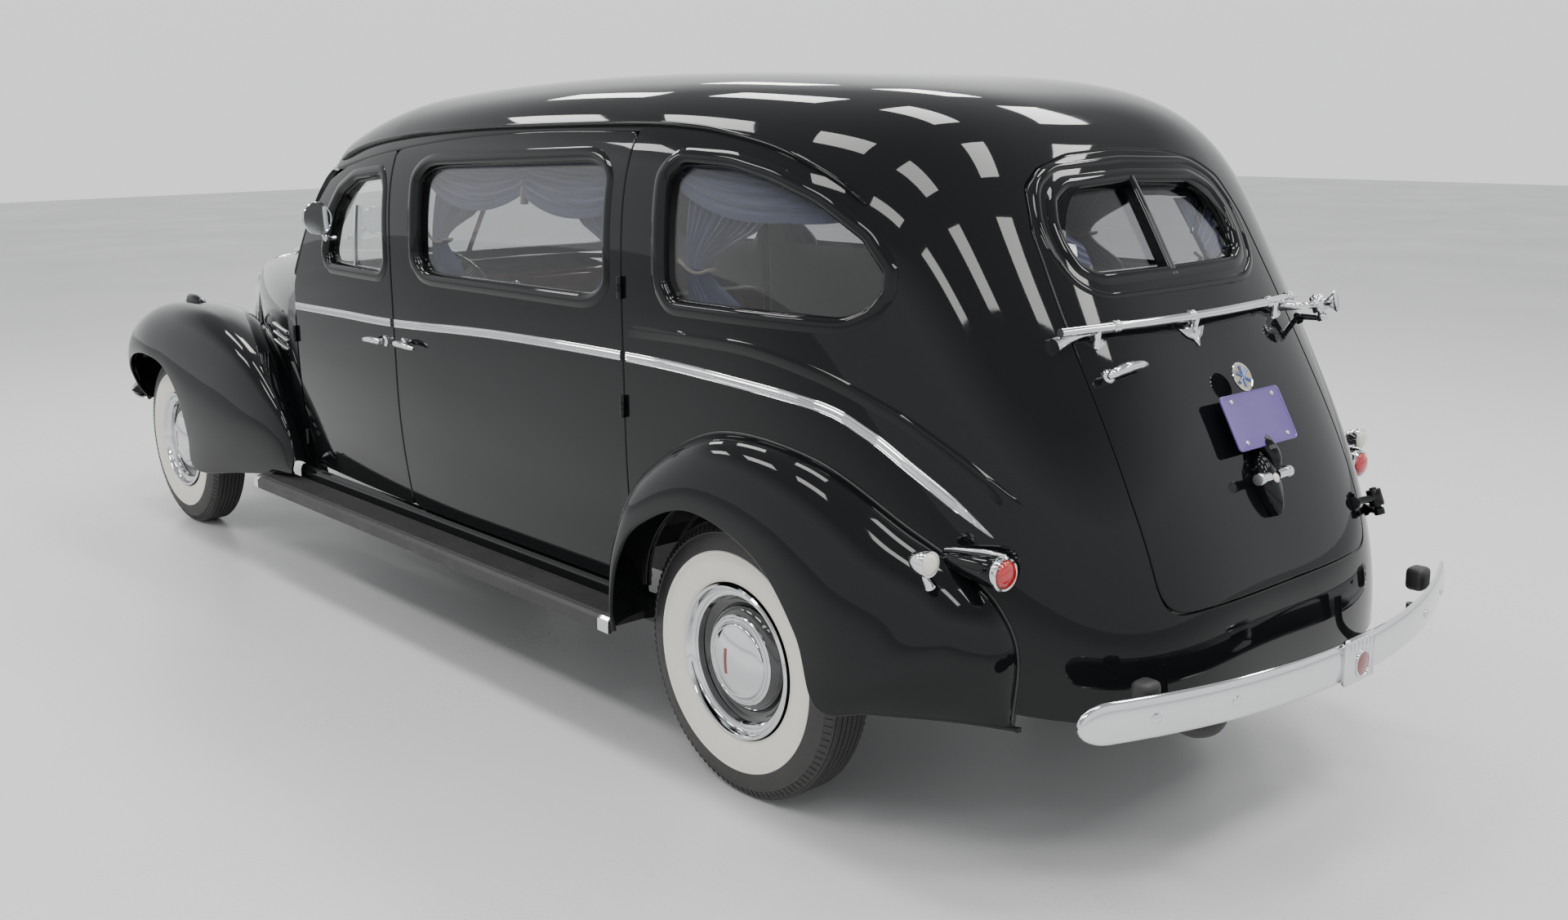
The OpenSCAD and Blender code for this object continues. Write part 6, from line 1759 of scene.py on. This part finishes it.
class HEARSE_OT_drapes(bpy.types.Operator):
    """Gathered side drapes with tie-backs, swags with fringe and tassels, and the rails they hang from"""

    bl_idname = "hearse.drapes"
    bl_label = "Drapes"
    bl_options = {"REGISTER", "UNDO"}

    def execute(self, context):
        self.build(context.scene.hearse_sizes)
        return {"FINISHED"}

    def build(self, sizes):
        for s in BOTH:
            y0, y1 = POST_Y + 0.13, REAR_POST_Y - 0.055
            self.window(f"door_{SIDE[s]}", s, f"{SIDE[s]}_side_door", y0, y1, lambda y: 1.625, 1.262, 0.072,
                on_side(s))
            top = lambda a: float(np.interp(a, (0.07, 0.35, 0.6, 0.8, 0.9), (1.655, 1.65, 1.585, 1.5, 1.42)))
            self.window(f"quarter_{SIDE[s]}", s, "body", 0.085, 0.88, top, 1.262, 0.05, on_quarter(s))

    def window(self, name, s, body, a, b, top, low, depth, place):
        w = b - a
        rail = np.array([(t, top(t) - 0.004) for t in np.linspace(a, b, 24)])
        rod = place(rail, depth + 0.012)
        tube(f"drape_rail_{name}", rod, 0.004, body, "chrome", ["chrome"], 0, None, 4)
        for end, start, way in (("front", a, 1), ("rear", b, -1)):
            g = self.side_drape(start, way, w * 0.34, top, low, depth, place)
            o = mesh_piece(f"drape_{end}_{name}", g, grid_faces(*g.shape[:2]), body, "seat_cloth",
                ["drape_velvet"], 80, outward=False)
            band = self.tie(f"drape_tie_{end}_{name}", start, way, w * 0.34, low, depth, place, body)
        mid = (a + b) / 2
        for k, (l, r) in enumerate(((a, mid + 0.02), (mid - 0.02, b))):
            g = self.swag(l, r, top, depth - 0.006 + 0.003 * k, place)
            o = mesh_piece(f"swag_{k}_{name}", g, grid_faces(*g.shape[:2]), body, "seat_cloth",
                ["drape_velvet"], 80, outward=False)
            fringe = self.fringe(f"swag_fringe_{k}_{name}", g[-1], body)
        c = Vector(place(np.array([[mid, top(mid) - 0.06]]), depth - 0.004)[0])
        self.tassel(f"tassel_{name}", c, body)

    def side_drape(self, start, way, w, top, low, depth, place):
        rows, cols, folds = 56, 110, 11
        tie = low + 0.1
        g = []
        u = np.linspace(0, 1, cols)
        for v in np.linspace(0, 1, rows):
            zt = top(start + way * w / 2) - 0.006
            z = zt + (low - 0.01 - zt) * v
            if z > tie:
                k = (zt - z) / (zt - tie)
                inner = w * (1 - 0.78 * smooth(k) ** 1.3)
            else:
                k = (tie - z) / (tie - low)
                inner = w * (0.22 + 0.26 * float(smooth(k)))
            pinch = inner / w
            wave = np.sin(2 * np.pi * folds * u + 1.6 * np.sin(2.3 * u * np.pi) + 0.5 * v)
            fine = 0.25 * np.sin(2 * np.pi * folds * 2.1 * u + 3 * v)
            amp = 0.0085 * (0.45 + 0.55 * pinch)
            sag = -0.035 * u * (1 - abs(2 * min(1, v * 1.3) - 1)) * (1 if z > tie else 0)
            p = np.stack([start + way * (0.012 + inner * u), np.full(cols, z) + sag], -1)
            d = depth + 0.014 + amp * (wave + fine)
            g.append(self.at(place, p, d))
        return np.array(g)

    def at(self, place, p, d):
        outer, inner = place(p, 0.03), place(p, 0.11)
        return outer + (inner - outer) * ((d - 0.03) / 0.08)[:, None]

    def tie(self, name, start, way, w, low, depth, place, body):
        z = low + 0.1
        u = np.linspace(0, 1, 20)
        p = np.stack([start + way * (0.004 + 0.27 * w * u), z - 0.018 * u * (1 - u) * 4 + 0.02 * (1 - u)], -1)
        front = self.at(place, p, np.full(20, depth - 0.002))
        back = self.at(place, p[::-1], np.full(20, depth + 0.03))
        return tube(name, np.vstack([front, back]), 0.0045, body, "seat_cloth", ["gold_braid"], 0, None, 3)

    def swag(self, l, r, top, depth, place):
        rows, cols = 40, 70
        u = np.linspace(0, 1, cols)
        g = []
        for v in np.linspace(0, 1, rows):
            drop = 0.02 + 0.075 * v + 0.065 * v * (1 - (2 * u - 1) ** 2)
            zt = np.array([top(l + (r - l) * t) for t in u])
            fold = 0.006 * np.sin(2 * np.pi * 4.5 * v + 0.8 * np.cos(np.pi * u)) * np.sin(np.pi * np.clip(u,
                0.04, 0.96)) ** 0.6
            p = np.stack([l + (r - l) * u, zt - drop + 0.016], -1)
            g.append(self.at(place, p, depth + fold))
        return np.array(g)

    def fringe(self, name, edge, body):
        n = 3
        p = curve(edge[::3], 160)
        down = np.array([0, 0, -1.0])
        wave = 0.0012 * (np.arange(len(p)) % 2)
        t = np.gradient(p, axis=0)
        side = np.cross(t, down)
        side /= np.linalg.norm(side, axis=1, keepdims=True)
        g = np.array([p + down * 0.02 * k / n + side * (wave * k / n)[:, None] for k in range(n + 1)])
        return mesh_piece(name, g, grid_faces(*g.shape[:2]), body, "seat_cloth", ["drape_velvet"], 30,
            outward=False)

    def tassel(self, name, c, body):
        shape = [(0.03, 0.0), (0.03, 0.002), (0.0, 0.002), (-0.002, 0.006), (-0.008, 0.009),
            (-0.014, 0.0085), (-0.018, 0.006), (-0.02, 0.0065), (-0.024, 0.0085), (-0.04, 0.0105),
            (-0.07, 0.0125), (-0.075, 0.012), (-0.075, 0.0)]
        spun(name, shape, c, (0, 0, 1), body, "seat_cloth", ["gold_braid"], 24, None, 50)


class HEARSE_OT_load_space(bpy.types.Operator):
    """Polished deck with rollers, rub strips and pins, side rails and the floor's covering"""

    bl_idname = "hearse.load_space"
    bl_label = "Load Space"
    bl_options = {"REGISTER", "UNDO"}

    def execute(self, context):
        self.build(context.scene.hearse_sizes)
        return {"FINISHED"}

    def build(self, sizes):
        set_materials(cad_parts["casket_deck"], "deck_wood")
        set_materials(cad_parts["floor"], "dark_floor")
        low, high = (Vector(c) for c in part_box("casket_deck"))
        z = high.z
        for k, y in enumerate(np.linspace(low.y + 0.25, high.y - 0.18, 6)):
            for s in BOTH:
                parts = [tube("roller", [(s * 0.12, y, z + 0.009), (s * 0.29, y, z + 0.009)], 0.0135,
                    "body", "step_rubber", ["step_rubber"], 0)]
                for x in (0.115, 0.295):
                    parts.append(block("roller_end", (s * x - 0.006, y - 0.02, z - 0.001),
                        (s * x + 0.006, y + 0.02, z + 0.018), 0.004, *BRIGHT, 2))
                joined(f"deck_roller_{k}_{SIDE[s]}", parts)
        for i, x in enumerate((-0.42, -0.36, -0.06, 0.0, 0.06, 0.36, 0.42)):
            path = np.stack([np.full(40, x), np.linspace(low.y + 0.02, high.y - 0.02, 40),
                np.full(40, z - 0.0005)], -1)
            sweep(f"deck_strip_{i}", path, np.tile((0, 0, 1.0), (40, 1)), arc_section(0.012, 0.004, 8), *BRIGHT)
        for s in BOTH:
            a = np.linspace(0.06, 0.98, 60)
            p = on_quarter(s)(np.stack([a, np.full(60, 1.225)], -1), 0.062)
            tube(f"inner_rail_{SIDE[s]}", p, 0.008, *BRIGHT, 0)
            p = on_quarter(s)(np.stack([a, np.full(60, 0.98)], -1), 0.033)
            n = form_normal(on_quarter(s)(np.stack([a, np.full(60, 0.98)], -1)))
            sweep(f"inner_moulding_{SIDE[s]}", p, -n, arc_section(0.02, 0.009), "body", "chrome", ["deck_wood"])
        for y in (low.y + 0.12, high.y - 0.3):
            spun(f"bier_pin_{y:.1f}", [(0, 0.016), (0.004, 0.016), (0.006, 0.009), (0.06, 0.008),
                (0.066, 0.011), (0.074, 0.011), (0.079, 0.006), (0.08, 0), (-0.001, 0), (-0.001, 0.016),
                (0, 0.016)], (0.22, y, z), (0, 0, 1), *BRIGHT, 24)


class HEARSE_OT_running_gear(bpy.types.Operator):
    """Engine with its radiator and fan, and the finishes of the frame, axles, springs and tank"""

    bl_idname = "hearse.running_gear"
    bl_label = "Running Gear"
    bl_options = {"REGISTER", "UNDO"}

    def execute(self, context):
        self.build(context.scene.hearse_sizes)
        return {"FINISHED"}

    def build(self, sizes):
        for n in ("chassis_frame", "front_axle", "rear_axle", "knuckle_left", "knuckle_right",
            "leaf_springs", "fuel_tank"):
            set_materials(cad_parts[n], "frame_steel")
        set_materials(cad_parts["exhaust"], "dull_steel")
        low, high = (Vector(c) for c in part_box("engine"))
        y0, y1 = low.y, low.y + 0.9
        parts = [block("crankcase", (-0.17, y0 + 0.1, 0.48), (0.17, y1, 0.66), 0.02, *IRON)]
        parts.append(block("cylinder_block", (-0.13, y0 + 0.1, 0.64), (0.13, y1 - 0.04, 0.8), 0.014, *IRON))
        parts.append(block("cylinder_head", (-0.12, y0 + 0.11, 0.798), (0.12, y1 - 0.05, 0.845), 0.012, *IRON))
        for k in range(8):
            y = y0 + 0.16 + k * 0.088
            plug = [(0, 0.013), (0.012, 0.013), (0.014, 0.008), (0.03, 0.007), (0.034, 0.004), (0.038, 0),
                (-0.002, 0), (-0.002, 0.013), (0, 0.013)]
            parts.append(spun("plug", plug, (0.0, y, 0.844), (0, 0, 1), "body", "engine_iron",
                ["bulb_glass"], 16))
            for x in (-0.09, 0.09):
                nut = [(0, 0.011), (0.01, 0.011), (0.012, 0.006), (0.02, 0.005), (0.02, 0), (-0.002, 0),
                    (-0.002, 0.011), (0, 0.011)]
                parts.append(spun("head_nut", nut, (x, y + 0.03, 0.844), (0, 0, 1), "body", "engine_iron",
                    ["dull_steel"], 6))
            lead = [(0.0, y, 0.88), (-0.03, y + 0.01, 0.9), (-0.1, mix(y, y0 + 0.5, 0.5), 0.885),
                (-0.15, y0 + 0.5 + (k - 3.5) * 0.012, 0.84)]
            parts.append(tube("plug_lead", lead, 0.0035, "body", "step_rubber", ["step_rubber"], 20, None, 3))
            port = [(0.12, y, 0.74), (0.17, y + 0.004, 0.735), (0.19, mix(y, y0 + 0.48, 0.1), 0.715)]
            parts.append(tube("port", port, 0.021, "body", "dull_steel", ["dull_steel"], 8, None, 4))
        parts.append(tube("manifold", [(0.195, y0 + 0.13, 0.715), (0.2, y0 + 0.45, 0.71),
            (0.195, y0 + 0.82, 0.7), (0.18, y0 + 0.86, 0.66)], 0.027, "body", "dull_steel", ["dull_steel"], 30))
        parts.append(spun("carburettor", [(-0.03, 0), (-0.03, 0.03), (0.02, 0.032), (0.03, 0.022),
            (0.05, 0.022), (0.055, 0.0)], (0.19, y0 + 0.5, 0.79), (0, 0, 1), "body", "engine_iron",
            ["dull_steel"], 24))
        parts.append(spun("air_cleaner", [(0, 0), (0, 0.055), (0.006, 0.07), (0.03, 0.074), (0.05, 0.07),
            (0.06, 0.05), (0.066, 0.012), (0.07, 0)], (0.165, y0 + 0.5, 0.845), (0, 0, 1), *PAINTED, 48))
        parts.append(spun("distributor", [(0, 0), (0, 0.025), (0.05, 0.028), (0.055, 0.036), (0.085, 0.036),
            (0.1, 0.026), (0.104, 0)], (-0.155, y0 + 0.5, 0.74), (0, 0, 1), "body", "wheel_bakelite",
            ["wheel_bakelite"], 32))
        parts.append(spun("generator", [(0, 0), (0, 0.05), (0.012, 0.056), (0.17, 0.056), (0.182, 0.05),
            (0.182, 0)], (-0.2, y0 + 0.14, 0.65), (0, 1, 0), *IRON, 36))
        parts.append(spun("pulley", [(0, 0), (0, 0.062), (0.006, 0.062), (0.012, 0.052), (0.018, 0.062),
            (0.024, 0.062), (0.024, 0)], (0, y0 + 0.062, 0.69), (0, 1, 0), *IRON, 36))
        for k in range(4):
            a = k * math.pi / 2 + 0.5
            d = Vector((math.cos(a), 0, math.sin(a)))
            e = Vector((-math.sin(a), 0, math.cos(a)))
            c = Vector((0, y0 + 0.045, 0.69))
            q = [c + d * r + e * w + Vector((0, t, 0)) for r,
                wd in ((0.03, 0.02), (0.12, 0.045), (0.19, 0.05)) for w, t in ((-wd, 0.018), (wd, -0.018))]
            blade = mesh_piece("fan_blade", q, [(0, 1, 3, 2), (2, 3, 5, 4)], *IRON, 30, outward=False)
            modify(blade, "SOLIDIFY", thickness=0.003, offset=0)
            parts.append(blade)
        parts.append(block("gearbox", (-0.088, y1 - 0.002, 0.38), (0.088, high.y, 0.6), 0.03, *IRON))
        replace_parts(joined("engine_detail", parts), "engine")
        core = [block("radiator_core", (-0.2, y0 - 0.09, 0.5), (0.2, y0 - 0.03, 0.9), 0.004, "body",
            "engine_iron", ["radiator_core"])]
        core.append(block("radiator_tank", (-0.205, y0 - 0.1, 0.885), (0.205, y0 - 0.02, 0.95), 0.02,
            "body", "engine_iron", ["black_paint"]))
        core.append(tube("radiator_hose", [(0, y0 - 0.03, 0.92), (0, y0 + 0.04, 0.92), (0, y0 + 0.13, 0.86),
            (0, y0 + 0.15, 0.83)], 0.022, "body", "step_rubber", ["step_rubber"], 20))
        joined("radiator", core)
        self.tank_straps()

    def tank_straps(self):
        low, high = (Vector(c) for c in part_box("fuel_tank"))
        for s in BOTH:
            x = s * (high.x - low.x) * 0.3
            loop = [(x, low.y - 0.002, high.z + 0.001), (x, low.y - 0.002, low.z - 0.002),
                (x, high.y + 0.002, low.z - 0.002), (x, high.y + 0.002, high.z + 0.001)]
            tube(f"tank_strap_{SIDE[s]}", loop, 0.004, "body", "frame_steel", ["dull_steel"], 0, None, 3)


class HEARSE_OT_finishes(bpy.types.Operator):
    """Paint, plating, glass, rubber, cloth, wood and metal finishes"""

    bl_idname = "hearse.finishes"
    bl_label = "Finishes"
    bl_options = {"REGISTER", "UNDO"}

    def execute(self, context):
        self.build(context.scene.hearse_sizes)
        return {"FINISHED"}

    def build(self, sizes):
        haze_group()
        film_group()
        weave_group()
        p = tuple(sizes.paint_colour)
        finish("black_paint", p, tuple(c * 1.25 + 0.0004 for c in p), (0.02, 0.05), 2.5, 55.0, 0.006,
            0.0003, 0.05, Specular_IOR_Level=0.26)
        finish("chrome", (0.62, 0.63, 0.65), (0.72, 0.73, 0.74), (0.03, 0.1), 6.0, 120.0, 0.02, 0.0003,
            0.06, Metallic=1.0)
        finish("dull_steel", (0.25, 0.24, 0.23), (0.36, 0.34, 0.32), (0.3, 0.55), 12.0, 240.0, 0.15, 0.0006,
            0.5, Metallic=1.0)
        finish("step_rubber", (0.012, 0.012, 0.013), (0.024, 0.024, 0.025), (0.38, 0.6), 9.0, 600.0, 0.25,
            0.0004, 0.25)
        finish("welting", (0.01, 0.01, 0.011), (0.018, 0.018, 0.019), (0.3, 0.5), 20.0, 900.0, 0.3, 0.0003, 0.1)
        finish("tyre_black", (0.011, 0.011, 0.012), (0.022, 0.021, 0.021), (0.34, 0.58), 8.0, 500.0, 0.2,
            0.0004, 0.35, (0.14, 0.13, 0.12))
        finish("whitewall", (0.74, 0.71, 0.64), (0.82, 0.79, 0.72), (0.36, 0.5), 7.0, 420.0, 0.1, 0.0004,
            0.12, (0.4, 0.38, 0.33))
        finish("wheel_black", (0.004, 0.0045, 0.005), (0.007, 0.0075, 0.008), (0.03, 0.08), 5.0, 60.0, 0.01,
            0.0002, 0.1, Coat_Weight=1.0, Coat_Roughness=0.02)
        finish("plate_enamel", tuple(sizes.plate_colour), tuple(c * 1.1 for c in sizes.plate_colour),
            (0.18, 0.32), 9.0, 150.0, 0.05, 0.0002, 0.05, Coat_Weight=0.6)
        finish("red_enamel", (0.13, 0.002, 0.003), (0.22, 0.004, 0.005), (0.12, 0.25), 14.0, 200.0, 0.05,
            0.0002, Coat_Weight=1.0)
        finish("badge_enamel", (0.35, 0.3, 0.2), (0.55, 0.48, 0.34), (0.2, 0.35), 30.0, 300.0, 0.1, 0.0003,
            Metallic=0.6)
        finish("badge_blue", (0.02, 0.06, 0.25), (0.04, 0.1, 0.36), (0.15, 0.3), 30.0, 300.0, 0.1, 0.0003,
            Coat_Weight=1.0)
        finish("trim_cloth", (0.035, 0.03, 0.03), (0.05, 0.043, 0.042), (0.8, 0.95), 6.0, 700.0, 0.2,
            0.0004, weave=700.0, Sheen_Weight=0.3)
        finish("headliner", (0.1, 0.095, 0.1), (0.14, 0.13, 0.135), (0.85, 0.97), 5.0, 600.0, 0.2, 0.0004,
            weave=600.0, Sheen_Weight=0.4)
        finish("seat_cloth", (0.07, 0.04, 0.035), (0.1, 0.06, 0.05), (0.75, 0.92), 6.0, 500.0, 0.3, 0.0006,
            weave=520.0, Sheen_Weight=0.5)
        d = tuple(sizes.drape_colour)
        finish("drape_velvet", tuple(c * 0.75 for c in d), tuple(c * 1.25 for c in d), (0.62, 0.82), 8.0,
            400.0, 0.15, 0.0004, weave=800.0, Sheen_Weight=0.8, Sheen_Roughness=0.4)
        finish("gold_braid", (0.13, 0.09, 0.06), (0.24, 0.18, 0.13), (0.5, 0.75), 60.0, 700.0, 0.5, 0.001,
            weave=900.0, Sheen_Weight=0.5)
        finish("dash_enamel", (0.05, 0.022, 0.012), (0.11, 0.05, 0.028), (0.12, 0.25), 5.0, 80.0, 0.03,
            0.0003, Coat_Weight=0.8)
        finish("wheel_bakelite", (0.014, 0.008, 0.007), (0.03, 0.016, 0.013), (0.15, 0.3), 20.0, 100.0,
            0.05, 0.0002, Coat_Weight=0.4)
        finish("dial_face", (0.5, 0.46, 0.36), (0.6, 0.56, 0.46), (0.3, 0.45), 40.0, 300.0, 0.05, 0.0002)
        finish("engine_iron", (0.05, 0.06, 0.058), (0.1, 0.115, 0.11), (0.45, 0.7), 14.0, 160.0, 0.4, 0.001,
            0.3)
        finish("frame_steel", (0.012, 0.012, 0.013), (0.024, 0.023, 0.023), (0.35, 0.6), 10.0, 180.0, 0.25,
            0.0008, 0.6)
        finish("radiator_core", (0.03, 0.03, 0.028), (0.09, 0.085, 0.075), (0.4, 0.6), 300.0, 500.0, 0.6,
            0.001, Metallic=0.7)
        finish("dark_floor", (0.02, 0.019, 0.019), (0.032, 0.03, 0.029), (0.7, 0.92), 9.0, 420.0, 0.4,
            0.0008, weave=420.0)
        self.wood()
        glass("clear_glass", (0.9, 0.93, 0.92))
        glass("tinted_glass", tuple(sizes.tint_colour))
        glass("lens_glass", (0.93, 0.94, 0.92), (0.02, 0.06))
        glass("bulb_glass", (0.9, 0.88, 0.8), (0.1, 0.2))
        finish("amber_glass", (0.62, 0.6, 0.5), (0.75, 0.72, 0.62), (0.05, 0.12), 60.0, 300.0, 0.4, 0.0008,
            Coat_Weight=1.0, Coat_Roughness=0.02)
        finish("red_glass", (0.3, 0.004, 0.006), (0.5, 0.01, 0.01), (0.05, 0.12), 60.0, 300.0, 0.4, 0.0008,
            Coat_Weight=1.0, Coat_Roughness=0.02)

    def wood(self):
        m = finish("deck_wood", (0.1, 0.045, 0.02), (0.22, 0.11, 0.05), (0.14, 0.3), 4.0, 160.0, 0.08,
            0.0004, Coat_Weight=0.7, Coat_Roughness=0.08)
        t = m.node_tree
        shader = t.nodes["Principled BSDF"]
        place = add_node(t, "ShaderNodeTexCoord").outputs["Object"]
        stretch = add_node(t, "ShaderNodeMapping", {"Vector": place, "Scale": (14.0, 0.7, 14.0)})
        grain = add_node(t, "ShaderNodeTexNoise", {"Vector": stretch.outputs[0], "Scale": 4.0,
            "Detail": 8.0, "Roughness": 0.65, "Distortion": 0.6})
        ramp = add_node(t, "ShaderNodeValToRGB", {"Fac": grain.outputs[0]})
        ramp.color_ramp.elements[0].position, ramp.color_ramp.elements[0].color = 0.35, (0.06, 0.024, 0.01, 1)
        ramp.color_ramp.elements[1].position, ramp.color_ramp.elements[1].color = 0.68, (0.24, 0.12, 0.052, 1)
        t.links.new(ramp.outputs[0], shader.inputs["Base Color"])


class HEARSE_OT_stage(bpy.types.Operator):
    """Pale floor, soft overhead light panels and the camera"""

    bl_idname = "hearse.stage"
    bl_label = "Stage"
    bl_options = {"REGISTER", "UNDO"}

    def execute(self, context):
        self.build(context.scene.hearse_sizes)
        return {"FINISHED"}

    def build(self, sizes):
        bpy.ops.object.select_all(action="DESELECT")
        bpy.ops.mesh.primitive_plane_add(size=60, location=(0, 0, 0))
        floor = bpy.context.active_object
        floor.name = floor.data.name = "studio_floor"
        finish("studio_floor", (0.66, 0.665, 0.67), (0.71, 0.715, 0.72), (0.25, 0.4), 0.7, 30.0, 0.02, 0.0005)
        floor.data.materials.append(MATERIALS["studio_floor"])
        world = bpy.data.worlds.new("studio")
        bpy.context.scene.world = world
        world.use_nodes = True
        t = world.node_tree
        back = t.nodes["Background"]
        place = add_node(t, "ShaderNodeTexCoord").outputs["Generated"]
        z = add_node(t, "ShaderNodeSeparateXYZ", {0: place}).outputs[2]
        ramp = add_node(t, "ShaderNodeValToRGB", {"Fac": z})
        e = ramp.color_ramp.elements
        e[0].position, e[0].color = 0.0, (0.9, 0.91, 0.92, 1)
        e[1].position, e[1].color = 0.35, (0.97, 0.98, 0.99, 1)
        top = ramp.color_ramp.elements.new(0.55)
        top.color = (0.4, 0.405, 0.41, 1)
        t.links.new(ramp.outputs[0], back.inputs["Color"])
        back.inputs["Strength"].default_value = sizes.room_light
        for i, y in enumerate((-4.6, -1.9, 0.8, 3.5, 6.2)):
            for j, x in enumerate((-4.2, -1.4, 1.4, 4.2)):
                lamp = bpy.data.lights.new(f"panel_{i}_{j}", "AREA")
                lamp.shape = "RECTANGLE"
                lamp.size, lamp.size_y = 0.75, 1.5
                lamp.energy = sizes.panel_light
                lamp.color = (1.0, 0.99, 0.97)
                o = bpy.data.objects.new(lamp.name, lamp)
                o.location = (x, y, 5.2)
                bpy.context.scene.collection.objects.link(o)
        self.camera()

    def camera(self):
        data = bpy.data.cameras.new("camera")
        data.sensor_width = 36.0
        data.lens = 35.56
        data.shift_y = -0.0265
        data.clip_end = 200
        azimuth, pitch, roll = math.radians(138.55), math.radians(11.395), math.radians(-0.64)
        ahead = Vector((-math.sin(azimuth) * math.cos(pitch), math.cos(azimuth) * math.cos(pitch),
            -math.sin(pitch)))
        right = Vector((math.cos(azimuth), math.sin(azimuth), 0))
        up = right.cross(ahead)
        side = right * math.cos(roll) + up * math.sin(roll)
        up = up * math.cos(roll) - right * math.sin(roll)
        m = Matrix((side, up, -ahead)).transposed().to_4x4()
        m.translation = Vector((3.231, 4.592, 1.765))
        o = bpy.data.objects.new("camera", data)
        o.matrix_world = m
        bpy.context.scene.collection.objects.link(o)
        bpy.context.scene.camera = o


class HearseSizes(bpy.types.PropertyGroup):
    paint_colour: FloatVectorProperty(name="Paint", description="Colour of the body's paint",
        default=(0.0035, 0.0042, 0.0048), size=3, min=0, max=1, subtype="COLOR")
    plate_colour: FloatVectorProperty(name="Plate", description="Colour of the blank plate's enamel",
        default=(0.07, 0.035, 0.22), size=3, min=0, max=1, subtype="COLOR")
    drape_colour: FloatVectorProperty(name="Drapes", description="Colour of the drapes and swags",
        default=(0.03, 0.038, 0.105), size=3, min=0, max=1, subtype="COLOR")
    tint_colour: FloatVectorProperty(name="Glass Tint",
        description="Colour of the glass round the load space", default=(0.66, 0.67, 0.68), size=3, min=0,
        max=1, subtype="COLOR")
    belt_width: FloatProperty(name="Belt Moulding",
        description="Height of the bright moulding along the belt", default=0.028, min=0.01, max=0.05,
        unit="LENGTH")
    whitewall_radius: FloatProperty(name="Whitewall Radius",
        description="Outer radius of the pale band on the tyres", default=0.29, min=0.25, max=0.31,
        unit="LENGTH")
    seat_crown: FloatProperty(name="Seat Crown",
        description="How far the middle of the seat's padding stands up", default=0.02, min=0.0, max=0.03,
        unit="LENGTH")
    room_light: FloatProperty(name="Room Light", description="Strength of the light from all round",
        default=1.3, min=0.0, max=3.0)
    panel_light: FloatProperty(name="Panel Light", description="Power of each ceiling panel", default=55.0,
        min=0.0, max=500.0, unit="POWER")


STEPS = (
    "finishes", "stage", "shell", "doors", "fenders", "nose", "mouldings", "wheels", "running_boards",
        "bumpers",
    "lamps", "side_fittings", "tail_fittings", "cabin", "load_space", "drapes", "running_gear",
)


class HEARSE_PT_panel(bpy.types.Panel):
    """Sizes and building steps of the hearse"""

    bl_label = "Hearse"
    bl_idname = "HEARSE_PT_panel"
    bl_space_type = "VIEW_3D"
    bl_region_type = "UI"
    bl_category = "Hearse"

    def draw(self, context):
        sizes = context.scene.hearse_sizes
        for name in HearseSizes.__annotations__:
            self.layout.prop(sizes, name)
        for step in STEPS:
            self.layout.operator(f"hearse.{step}")


CLASSES = (
    HearseSizes, HEARSE_OT_finishes, HEARSE_OT_stage, HEARSE_OT_shell, HEARSE_OT_doors, HEARSE_OT_fenders,
        HEARSE_OT_nose,
    HEARSE_OT_mouldings, HEARSE_OT_wheels, HEARSE_OT_running_boards, HEARSE_OT_bumpers, HEARSE_OT_lamps,
        HEARSE_OT_side_fittings,
    HEARSE_OT_tail_fittings, HEARSE_OT_cabin, HEARSE_OT_load_space, HEARSE_OT_drapes,
        HEARSE_OT_running_gear, HEARSE_PT_panel,
)


def register():
    for c in CLASSES:
        bpy.utils.register_class(c)
    bpy.types.Scene.hearse_sizes = PointerProperty(type=HearseSizes)


def unregister():
    del bpy.types.Scene.hearse_sizes
    for c in reversed(CLASSES):
        bpy.utils.unregister_class(c)


def main():
    register()
    for step in STEPS:
        if getattr(bpy.ops.hearse, step)() != {"FINISHED"}:
            raise RuntimeError(f"the step {step} didn't finish")


if __name__ == "__main__":
    main()
